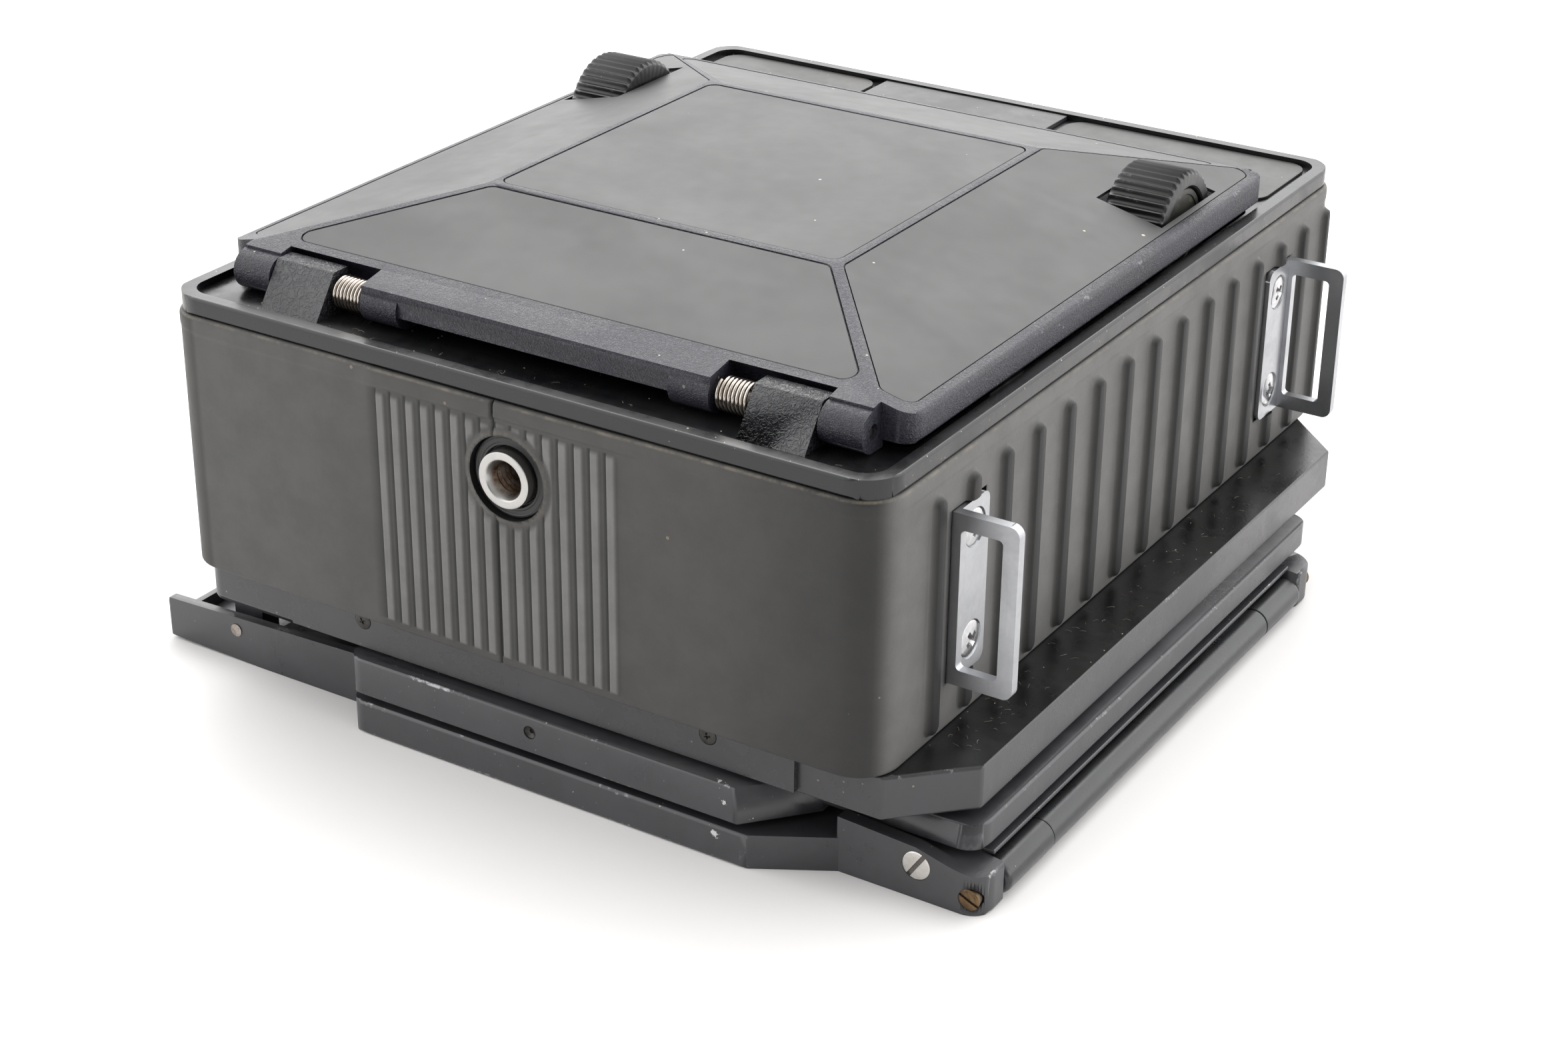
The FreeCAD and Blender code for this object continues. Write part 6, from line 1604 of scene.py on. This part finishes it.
@dataclass
class TripodSocket:
    """The turned bush with its thread, in a round black plate with a small fixing pin."""

    proud: float = -1.5
    radius: float = 6.1
    bore: float = 3.15
    depth: float = 10.5
    thread: float = 1.27
    thread_start: float = 0.9
    thread_length: float = 7.5
    thread_depth: float = 0.42
    plate_face: float = 0.8
    plate_radius: float = 8.8

    def build(self, shop: Workshop) -> None:
        """Build the bush, the plate and the pin."""
        centre, bore, radius = (SOCKET_X, 0, SOCKET_Z), self.bore, self.radius
        profile = [(self.depth, 0), (self.depth, bore)]
        for k in range(int(self.thread_length / self.thread), 0, -1):
            base = self.thread_start + k * self.thread
            profile += [(base, bore), (base - 0.5 * self.thread, bore + self.thread_depth)]
        profile += [(self.thread_start, bore + 0.05), (-0.45, bore + 0.75), (-1.15, bore + 1.05),
                    (-1.4, bore + 1.22), (self.proud, bore + 1.4), (self.proud, radius - 0.35),
                    (-1.38, radius - 0.12), (-1.15, radius), (1.0, radius), (self.depth, radius),
                    (self.depth, 0)]
        bush = Mesher.finish("tripod_bush_turned", Mesher.lathe(profile, centre, (0, 1, 0), 72), 30)
        shop.fit(bush, BUSH_STEEL, "tripod_bush")
        face, inner, outer = self.plate_face, radius + 0.45, self.plate_radius
        ring = [(1.2, inner), (0.25, inner), (0.02, inner + 0.2), (0.02, inner + 0.6), (0.12, inner + 0.75),
                (0.12, outer - 0.7), (0, outer - 0.5), (0.05, outer - 0.15), (0.25, outer),
                (1.2, outer), (1.2, inner)]
        plate = Mesher.lathe([(face + reach, r) for reach, r in ring], centre, (0, 1, 0), 72)
        shop.fit(Mesher.finish("boss_plate_turned", plate, 30), BOSS_PAINT, "tripod_plate")
        pin = ScrewHead((SOCKET_X - 6.6, face - 0.1, SOCKET_Z - 4.0), (0, -1, 0), 1.15, Recess.SLOT,
                        depth=0.25, dome=0.12, under=0.6, turn=0.5, gap=0.25)
        shop.join(screws("boss_plate_pin", [pin]), BLACK_SCREW, "tripod_plate")


@dataclass
class BodyShell:
    """The painted casing, the front frame with its deck, and the rear frame with its cover strip."""

    strip_screw_xs: tuple[float, float] = (-39.6, 47.4)
    strip_screw_z: float = -2.6
    strip_face: float = 2.8
    front_rim: Rim = Rim(-86.4, 86.4, 0.6, 213.4, 0.7)
    rear_rim: Rim = Rim(-84.6, 100.4, 4.0, 204.5, 0.7)
    lug_low: float = 61.3
    lug_far: float = 18.2
    lug_xs: tuple[float, float] = (49.0, 68.0)
    lint: int = 120
    lint_radius: float = 0.022

    def build(self, shop: Workshop) -> None:
        """Build the shell's frames, deck and small screws."""
        shop.refine("main_casing", 0.35, CASING_PAINT)
        shop.refine("front_frame", 0.3, RIM_PAINT, 3, outer=self.front_rim)
        self.lug_skins(shop)
        for name in ("deck_pad_left", "deck_pad_right"):
            shop.refine(name, 0.14, DECK_PAD)
        shop.refine("deck_plate", 0.2, DECK_PLATE)
        shop.refine("rear_frame", 0.4, REAR_PAINT, 3, outer=self.rear_rim)
        shop.refine("rear_cover_strip", 0.16, REAR_PAINT)
        heads = [ScrewHead((x, self.strip_face - 0.15, self.strip_screw_z), (0, -1, 0), 1.95, Recess.CROSS,
                           depth=0.55, dome=0.2, under=0.8, turn=turn, gap=0.42)
                 for x, turn in zip(self.strip_screw_xs, (0.5, 0.2))]
        shop.fit(screws("cover_strip_screw_heads", heads), BLACK_SCREW, "cover_strip_screws")
        shop.refine("bellows_rear_frame", 0.2, CASING_PAINT)
        shop.refine("inner_rails", 0.2, RAIL_METAL)
        shop.refine("strut_guides", 0.2, BRIGHT_STEEL)
        self.add_lint(shop)

    def lug_skins(self, shop: Workshop) -> None:
        """Dress the two hinge lugs of the front frame in rougher paint."""
        mesh = bpy.data.objects["front_frame_shaped"].data
        mesh.materials.append(shop.material(LUG_PAINT))
        near, far = self.lug_xs
        for polygon in mesh.polygons:
            x, y, z = design(polygon.center)
            if z > self.lug_low and y < self.lug_far and near < abs(x) < far:
                polygon.material_index = 1

    def add_lint(self, shop: Workshop) -> None:
        """Scatter short fibres on the ledge of the rear frame and on the front rim."""
        rng = np.random.default_rng(7)
        parts = []
        for k in range(self.lint):
            if k < self.lint * 0.7:
                x, y, z = rng.uniform(88.2, 97.5), 22 + 150 * rng.random() ** 1.5, 0.05
            else:
                x, y, z = rng.uniform(-60, 76), rng.uniform(5.0, 9.0), 60.96
            turn, bend = rng.uniform(0, 2 * math.pi), rng.uniform(-1.5, 1.5)
            length = rng.uniform(0.35, 1.8)
            points, px, py = [], x, y
            for i in range(6):
                points.append(at(px, py, z + 0.25 * math.sin(i * 0.62) * rng.uniform(0.3, 1)))
                turn += bend / 5
                px += math.cos(turn) * length / 5
                py += math.sin(turn) * length / 5
            parts.append(Mesher.tube(points, self.lint_radius, 3))
        piece = Mesher.finish("ledge_lint", Mesher.merge(parts), 60, weighted=False)
        shop.join(piece, LINT, "rear_frame")


@dataclass
class StrapLugs:
    """Two bent metal strap lugs, each held by two countersunk cross screws."""

    face: float = 88.0
    screw_ys: tuple[float, float] = (34.3, 179.5)
    screw_zs: tuple[float, float] = (16.8, 41.2)
    head: float = 3.84

    def build(self, shop: Workshop) -> None:
        """Build both lugs and their four screws."""
        for name in ("strap_lug_front", "strap_lug_far"):
            shop.refine(name, 0.38, LUG_METAL, 3, 1.2)
        turns = iter((0.62, 1.1, 0.3, 0.9))
        heads = [ScrewHead((self.face - 0.12, y, z), (1, 0, 0), self.head, Recess.CROSS, depth=1.15,
                           dome=0.45, rise=-0.05, turn=next(turns), gap=1.15)
                 for y in self.screw_ys for z in self.screw_zs]
        shop.fit(screws("lug_screw_heads", heads), SCREW_STEEL, "lug_screws")


@dataclass
class BedDoor:
    """The folding bed: wrinkle painted plate with five inset pads, hinge pins and torsion springs."""

    axis_y: float = 15.0
    axis_z: float = 65.5
    spring_radius: float = 3.2
    wire: float = 0.35
    spring_start: float = 43.0
    spring_end: float = 50.7
    turns: float = 7.75
    leg: float = 1.8
    rim: Rim = Rim(-83, 83, -50, 178, 0.9)

    def build(self, shop: Workshop) -> None:
        """Build the plate, the pads, the springs and the small parts of the hinge."""
        shop.refine("bed_plate", 0.3, BED_PAINT, 3, outer=self.rim)
        for name in ("bed_pad_centre", "bed_pad_front", "bed_pad_far", "bed_pad_left", "bed_pad_right"):
            shop.refine(name, 0.12, PAD)
        shop.dress(("hinge_pins", "strut_pins"), PIN_STEEL)
        coils = Mesher.finish("hinge_spring_coils", Mesher.merge([self.coil(-1), self.coil(1)]), 60,
                              weighted=False)
        shop.fit(coils, SPRING_NICKEL, "hinge_springs")
        shop.refine("bed_catches", 0.15, BRIGHT_STEEL)

    def coil(self, side: int) -> BMesh:
        """Wind one torsion spring with a leg down to the frame.

        Args:
            side: -1 for the left spring and 1 for the right one.

        Returns:
            The wire of the spring.
        """
        steps = int(self.turns * 36)
        wound = self.spring_end - self.spring_start - 2 * self.wire
        points = []
        for k in range(steps + 1):
            share = k / steps
            turn = 2 * math.pi * self.turns * share + 1.9
            x = side * (self.spring_start + self.wire + wound * share)
            y = self.axis_y + self.spring_radius * math.cos(turn)
            points.append(at(x, y, self.axis_z + self.spring_radius * math.sin(turn)))
        last = points[-1]
        ahead = (last - points[-2]).normalized()
        points += [last + ahead * (self.leg / 3000 * k) for k in range(1, 4)]
        return Mesher.tube(points, self.wire, 10)


@dataclass
class FocusDrive:
    """Two knurled knobs on a shaft that runs in bearing blocks under the bed."""

    axis_y: float = 145.5
    axis_z: float = 64.7
    inner: float = 63.9
    outer: float = 78.2
    radius: float = 13.6
    depth: float = 0.75
    ridges: int = 42
    recess: float = 9.8
    cap: float = 9.4
    cap_deep: float = 1.7

    def build(self, shop: Workshop) -> None:
        """Build the knobs, their caps and the drive inside."""
        for side, name in ((-1, "left"), (1, "right")):
            shop.fit(self.knob(side, name), KNOB_PLASTIC, f"focus_knob_{name}")
        caps = Mesher.merge([self.cap_disc(-1), self.cap_disc(1)])
        shop.fit(Mesher.finish("knob_cap_discs", caps, 35), CAP_METAL, "knob_caps")
        shop.dress(("pinion_shaft",), BRIGHT_STEEL)
        shop.dress(("pinion_gears", "focus_racks"), RACK_BRASS)
        shop.refine("bearing_blocks", 0.2, RACK_BRASS)

    def knob(self, side: int, name: str) -> Object:
        """Build one knob with rounded ridges and a recess for its cap.

        Args:
            side: -1 for the left knob and 1 for the right one.
            name: its name.

        Returns:
            The knob.
        """
        long, r = self.outer - self.inner, self.radius
        shoulder = [(0, r - 1.3), (0.12, r - 0.75), (0.45, r - 0.35), (0.9, r - 0.08), (1.2, r)]
        profile = [(0, 2.2)] + shoulder + [(long / 2, r)]
        profile += [(long - reach, size) for reach, size in reversed(shoulder)]
        profile += [(long, self.recess + 0.35), (long - 0.3, self.recess), (long - 1.9, self.recess - 0.2),
                    (long - 1.9, 2.2), (0, 2.2)]

        def ripple(turn: float, index: int) -> float:
            """Lower the surface between two ridges.

            Args:
                turn: angle round the knob.
                index: point of the profile.

            Returns:
                The change of the radius in millimetres.
            """
            if not 2 <= index <= 10:
                return 0.0
            wave = 0.5 + 0.5 * math.cos(turn * self.ridges)
            fade = {2: 0.35, 3: 0.7, 9: 0.7, 10: 0.35}.get(index, 1.0)
            return -self.depth * fade * (1 - wave ** 1.5)

        centre = (side * self.inner, self.axis_y, self.axis_z)
        bm = Mesher.lathe(profile, centre, (side, 0, 0), self.ridges * 8, ripple)
        crest, hollow = bm.loops.layers.float.new("edge"), bm.loops.layers.float.new("hollow")
        valley = r - self.depth
        middle = at(0, self.axis_y, self.axis_z)
        for face in bm.faces:
            for loop in face.loops:
                away = math.hypot(loop.vert.co.y - middle.y, loop.vert.co.z - middle.z) * 1000
                loop[crest] = 1.0 if away > r - 0.22 else 0.0
                loop[hollow] = 0.7 if valley - 0.1 < away < valley + 0.15 else 0.0
        return Mesher.finish(f"focus_knob_{name}_knurled", bm, 40, weighted=False)

    def cap_disc(self, side: int) -> BMesh:
        """Turn the flat cap in a knob's recess with two shallow rings.

        Args:
            side: -1 for the left knob and 1 for the right one.

        Returns:
            The cap.
        """
        r = self.cap
        profile = [(0, 0), (0, r), (0.8, r), (1.0, r - 0.2), (1.0, r - 1.3), (0.75, r - 1.5),
                   (0.75, 3.2), (0.98, 3.0), (0.98, 1.2), (0.8, 1.0), (0.8, 0)]
        centre = (side * (self.outer - self.cap_deep), self.axis_y, self.axis_z)
        return Mesher.lathe(profile, centre, (side, 0, 0), 64)


@dataclass
class BedInterior:
    """Track, focusing carriage and struts on the inner side of the bed, with the latch."""

    button: float = 4.5
    button_y: float = 208.8
    button_top: float = 6.7

    def build(self, shop: Workshop) -> None:
        """Build the inner parts of the bed and the latch."""
        shop.refine("bed_track", 0.15, RAIL_METAL)
        shop.refine("focus_carriage", 0.3, RAIL_METAL)
        for name in ("strut_left", "strut_right"):
            shop.refine(name, 0.2, BRIGHT_STEEL)
        shop.refine("strut_brackets", 0.25, SLIDE_METAL)
        shop.refine("latch_bar", 0.25, SLIDE_METAL)
        r, top = self.button, self.button_top
        profile = [(0, 0), (0, r), (top - 0.7, r), (top - 0.25, r - 0.18), (top - 0.05, r - 0.5),
                   (top - 0.05, r - 1.1), (top - 0.35, r - 1.7), (top - 0.45, 0.8), (top - 0.45, 0)]
        button = Mesher.lathe(profile, (0, self.button_y, BUTTON_Z), (0, 1, 0), 56)
        shop.fit(Mesher.finish("latch_button_dished", button, 35), KNOB_PLASTIC, "latch_button")


@dataclass
class Bellows:
    """The pleated leather bellows between the casing and the lens panel."""

    low: float = 5.0
    high: float = 31.4
    back_half: tuple[float, float] = (70.0, 58.0)
    front_half: tuple[float, float] = (49.0, 49.0)
    axis_y: float = 95.0
    fold: float = 6.6
    folds: int = 7
    corner: float = 9.0
    skin: float = 1.0

    def inset(self, level: float) -> float:
        """Return how far the pleat is drawn in at a level."""
        wave = abs(((level * self.folds) % 1) * 2 - 1)
        return self.fold * (1 - wave ** 0.85)

    def ring(self, level: float, skin: float) -> list[Point]:
        """Follow the bellows' rounded outline at one level.

        Args:
            level: share of the height, from 0 at the back to 1.
            skin: thickness taken off for the inner side.

        Returns:
            Points round the outline.
        """
        inset = self.inset(level)
        half_x, half_y = (back + (front - back) * level - inset - skin
                          for back, front in zip(self.back_half, self.front_half))
        corner = max(self.corner - inset * 0.6 - skin, 2.0)
        z = self.low + (self.high - self.low) * level
        points = []
        for quarter, (sx, sy) in enumerate(((1, 1), (-1, 1), (-1, -1), (1, -1))):
            for k in range(9):
                turn = math.pi / 2 * (quarter + k / 8)
                x = sx * (half_x - corner) + corner * math.cos(turn)
                points.append((x, self.axis_y + sy * (half_y - corner) + corner * math.sin(turn), z))
        return points

    def build(self, shop: Workshop) -> None:
        """Build the pleats as one closed skin and let them stretch with the standard."""
        bm = bmesh.new()
        edge = bm.verts.layers.float.new("edge")
        steps = self.folds * 8
        levels = [k / steps for k in range(steps + 1)]
        rings = []
        for skin, order in ((0.0, levels), (self.skin, levels[::-1])):
            for level in order:
                ring = [bm.verts.new(at(*point)) for point in self.ring(level, skin)]
                for vert in ring:
                    vert[edge] = max(0.0, 1 - self.inset(level) / 1.2) if skin == 0 else 0.0
                rings.append(ring)
        for low, high in zip(rings, rings[1:] + rings[:1]):
            for k in range(len(low)):
                j = (k + 1) % len(low)
                bm.faces.new((low[k], low[j], high[j], high[k]))
        bmesh.ops.recalc_face_normals(bm, faces=bm.faces)
        piece = Mesher.finish("bellows_pleated", bm, 75, weighted=False)
        shop.coat(piece, BELLOWS_LEATHER, "bellows")
        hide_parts("bellows")
        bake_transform(piece, "body", "standard", start=tuple(at(0, self.axis_y, self.low + 0.5)),
                 end=tuple(at(0, self.axis_y, self.high - 0.5)))


@dataclass
class LensStandard:
    """The folded front standard: foot, frame, lens panel with board, latch and knobs."""

    axis_z: float = 36.0
    axis_y: float = 95.0
    knob_low: float = 58.2
    knob_high: float = 65.2
    knob_radius: float = 5.5
    groove: float = 0.35
    grooves: int = 20

    def build(self, shop: Workshop) -> None:
        """Build the standard's parts."""
        shop.refine("standard_foot", 0.3, STANDARD_PAINT)
        shop.refine("standard_frame", 0.35, STANDARD_PAINT)
        shop.refine("lens_panel", 0.3, STANDARD_PAINT)
        shop.refine("lens_board", 0.2, BOARD_METAL)
        shop.refine("board_latch", 0.2, BRIGHT_STEEL)
        knobs = Mesher.finish("standard_knobs_grooved", Mesher.merge([self.knob(-1), self.knob(1)]), 35,
                              weighted=False)
        shop.fit(knobs, RING_METAL, "standard_knobs")

    def knob(self, side: int) -> BMesh:
        """Turn one locking knob with its grip grooves.

        Args:
            side: -1 for the left knob and 1 for the right one.

        Returns:
            The knob.
        """
        long, r = self.knob_high - self.knob_low, self.knob_radius
        profile = [(-4.0, 0), (-4.0, 2.0), (0.0, 2.0), (0.0, r - 0.5), (0.4, r), (long - 0.6, r),
                   (long - 0.1, r - 0.5), (long, r - 0.9), (long, 1.6), (long - 0.3, 1.3), (long - 0.3, 0)]

        def ripple(turn: float, index: int) -> float:
            """Cut the grooves into the two widest points of the profile."""
            return -self.groove * (0.5 - 0.5 * math.cos(turn * self.grooves)) if index in (4, 5) else 0.0

        centre = (side * self.knob_low, self.axis_y, self.axis_z)
        return Mesher.lathe(profile, centre, (side, 0, 0), 120, ripple)


@dataclass
class RevolvingBack:
    """The revolving back frame on its turntable, with its pins, lock slides and a tab hole."""

    hole: Point = (5.6, 0.0, -14.0)
    hole_radius: float = 1.5
    rim: Rim = Rim(-94.6, 102.6, 0, 190, 0.6, fresh=False)

    def build(self, shop: Workshop) -> None:
        """Build the back frame and what turns with it."""
        r = self.hole_radius
        bore = Mesher.cutter(Mesher.lathe([(-3, 0), (-3, r), (4, r), (4, 0)], self.hole, (0, 1, 0), 28))
        shop.refine("back_frame", 0.4, BACK_PAINT, 3, cutters=[bore], outer=self.rim)
        plug = [(2.2, 0), (0.75, 0.5), (0.5, r - 0.25), (0.3, r - 0.08), (2.6, r - 0.05), (2.6, 0)]
        rivet = Mesher.finish("tab_hole_rivet", Mesher.lathe(plug, self.hole, (0, 1, 0), 28), 35)
        shop.join(rivet, BLACK_SCREW, "back_frame")
        shop.refine("turntable_ring", 0.2, RING_METAL)
        shop.dress(("pivot_pins",), PIN_STEEL)
        for name in ("lock_slide_front", "lock_slide_far"):
            shop.refine(name, 0.2, SLIDE_METAL)


@dataclass
class GroundGlassBack:
    """The ground glass frame with its arms, slotted screws and grip rod."""

    arm_x: float = 91.2
    arm_z: float = -21.0
    arm_radius: float = 3.1
    rod_x: float = 103.0
    rod_z: float = -24.7
    rod_radius: float = 2.3
    grip_x: float = 103.4
    grip_radius: float = 3.7
    grip_start: float = 18.7
    grip_end: float = 162.8
    sleeve: float = 19.0
    front: float = 9.5
    far: float = 172.0
    under: float = 2.5
    rim: Rim = Rim(-103.1, 106.2, 0, 181.5, 0.8)

    def build(self, shop: Workshop) -> None:
        """Build the frame, its glass and the grip rod with its screws."""
        shop.refine("glass_frame", 0.4, BACK_PAINT, 3, outer=self.rim)
        shop.refine("ground_glass", 0.12, GLASS)
        shop.refine("glass_clips", 0.1, SLIDE_METAL)
        shop.refine("rod_bracket", 0.25, BACK_PAINT)
        arms = self.pair(self.arm_x, self.arm_z, self.arm_radius, (0.98, 0.3), depth=0.6, dome=0.15,
                         rise=-0.05, gap=0.95)
        shop.fit(screws("arm_screw_heads", arms), ARM_NICKEL, "arm_screws")
        rods = self.pair(self.rod_x, self.rod_z, self.rod_radius, (-0.42, 1.2), depth=0.5, dome=0.1,
                         rise=-0.1, gap=0.6)
        shop.fit(screws("rod_screw_heads", rods), ROD_BRASS, "rod_screws")
        shop.fit(self.rod(), ROD_PLASTIC, "grip_rod")

    def pair(self, x: float, z: float, radius: float, turns: tuple[float, float],
             **form: float) -> list[ScrewHead]:
        """Place a slotted screw head on each end of the frame, facing outward.

        Args:
            x: distance from the middle of the body.
            z: height above the rear plane of the casing.
            radius: radius of the heads.
            turns: angles of the front and the far slot.
            form: depth, dome, rise and gap of the heads.

        Returns:
            The two heads.
        """
        return [ScrewHead((x, y, z), (0, way, 0), radius, Recess.SLOT, under=self.under, turn=turn, **form)
                for y, way, turn in zip((self.front, self.far), (-1, 1), turns)]

    def rod(self) -> Object:
        """Turn the grip rod with a sleeve at each end.

        Returns:
            The rod.
        """
        start, end, r, sleeve = self.grip_start, self.grip_end, self.grip_radius, self.sleeve
        half = [(0, 0), (0, r - 1.1), (0.25, r - 0.55), (0.9, r - 0.12), (1.6, r), (sleeve, r),
                (sleeve + 0.12, r - 0.1), (sleeve + 0.12, r - 0.42), (sleeve + 0.4, r - 0.42),
                (sleeve + 0.4, r - 0.14), (sleeve + 0.6, r - 0.05)]
        profile = [(start + reach, size) for reach, size in half]
        profile += [(end - reach, size) for reach, size in reversed(half)]
        bm = Mesher.lathe(profile, (self.grip_x, 0, self.rod_z), (0, 1, 0), 48)
        return Mesher.finish("grip_rod_turned", bm, 35)


@dataclass
class Studio:
    """Pale floor, white surroundings, soft lights and the camera of the photograph."""

    azimuth: float = 31.76
    elevation: float = 26.36
    roll: float = 0.69
    eye: Point = (0.3111, -0.5059, 0.3113)
    focal: float = 4264.0
    picture_width: int = 2352
    sensor: float = 36.0
    floor_half: float = 4.0
    floor_z: float = -0.00005
    base: float = 0.33
    lobes: tuple[tuple[Point, float, float, float], ...] = (
        ((0.0, 0.97, 0.24), -0.25, 0.9, 1.4), ((-0.97, 0.1, 0.2), 0.0, 0.95, 1.1),
        ((-0.82, -0.50, 0.1), 0.2, 0.95, 1.2), ((0.72, 0.66, 0.2), 0.3, 0.97, 0.9),
        ((0.0, 0.0, 1.0), 0.2, 1.0, 0.2))
    aim: Point = (0, 0, 0.04)
    lamps: tuple[tuple[str, Point, float, float, Colour], ...] = (
        ("window_light", (-0.35, 0.75, 1.05), 1.2, 8.5, (1.0, 0.998, 0.99)),
        ("side_light", (1.4, 0.25, 0.45), 0.8, 3.6, (0.985, 0.99, 1.0)))

    def build(self, shop: Workshop) -> None:
        """Build the floor, the lights and the camera."""
        self.floor(shop)
        self.sky()
        self.lights()
        self.camera()
        scene = bpy.context.scene
        scene.view_settings.view_transform = "Standard"
        scene.view_settings.look = "None"
        scene.view_settings.exposure = 0.0
        scene.view_settings.gamma = 1.0

    def floor(self, shop: Workshop) -> None:
        """Lay the floor."""
        bm = bmesh.new()
        bmesh.ops.create_grid(bm, x_segments=24, y_segments=24, size=self.floor_half)
        for vert in bm.verts:
            vert.co.z = self.floor_z
        piece = Mesher.finish("pale_floor", bm, 60, weighted=False)
        piece.data.materials.append(shop.material(FLOOR_PAPER))

    def sky(self) -> None:
        """Surround the scene with white that is brighter behind, to the left and above."""
        world = bpy.data.worlds.new("white_room")
        bpy.context.scene.world = world
        world.use_nodes = True
        graph = Graph(world.node_tree)
        direction = graph.add("TexCoord").outputs["Generated"]
        level: Feed = self.base
        for way, low, high, gain in self.lobes:
            toward = graph.add("VectorMath", {0: direction, 1: way}, operation="DOT_PRODUCT").outputs["Value"]
            level = graph.plus(level, graph.ease(toward, low, high, 0, gain))
        soft = graph.add("Background", {"Color": (1.0, 1.0, 1.0), "Strength": level})
        plain = graph.add("Background", {"Color": (1.0, 1.0, 1.0), "Strength": 1.0})
        seen = graph.add("LightPath").outputs["Is Camera Ray"]
        joined = graph.add("MixShader", {0: seen, 1: soft.outputs[0], 2: plain.outputs[0]})
        graph.add("OutputWorld", {"Surface": joined.outputs[0]})

    def lights(self) -> None:
        """Hang two large soft lights over the object."""
        for name, place, size, power, colour in self.lamps:
            data = bpy.data.lights.new(name, "AREA")
            data.shape, data.size, data.energy, data.color = "SQUARE", size, power, colour
            lamp = bpy.data.objects.new(name, data)
            bpy.context.scene.collection.objects.link(lamp)
            lamp.location = place
            lamp.rotation_euler = (Vector(self.aim) - Vector(place)).to_track_quat("-Z", "Y").to_euler()

    def camera(self) -> None:
        """Set the camera where the photograph was taken from."""
        az, el, roll = (math.radians(v) for v in (self.azimuth, self.elevation, self.roll))
        back = Vector((math.sin(az) * math.cos(el), -math.cos(az) * math.cos(el), math.sin(el)))
        right = Vector((0, 0, 1)).cross(back).normalized()
        up = back.cross(right)
        across = right * math.cos(roll) + up * math.sin(roll)
        above = up * math.cos(roll) - right * math.sin(roll)
        data = bpy.data.cameras.new("photograph_camera")
        data.sensor_width = self.sensor
        data.lens = self.focal / self.picture_width * self.sensor
        data.clip_start, data.clip_end = 0.01, 20.0
        eye = bpy.data.objects.new("photograph_camera", data)
        bpy.context.scene.collection.objects.link(eye)
        turn = Matrix((across, above, back)).transposed()
        eye.matrix_world = Matrix.Translation(Vector(self.eye)) @ turn.to_4x4()
        bpy.context.scene.camera = eye


def main() -> None:
    """Build every sub-assembly in order."""
    logging.basicConfig(level=logging.INFO, format="%(name)s: %(message)s")
    shop = Workshop(frame)
    parts = (RubberCover(), BodyShell(), TripodSocket(), StrapLugs(), BedDoor(), FocusDrive(), BedInterior(),
             Bellows(), LensStandard(), RevolvingBack(), GroundGlassBack(), Studio())
    for part in parts:
        part.build(shop)
        LOG.info("built %s", type(part).__name__)


if __name__ == "__main__":
    main()
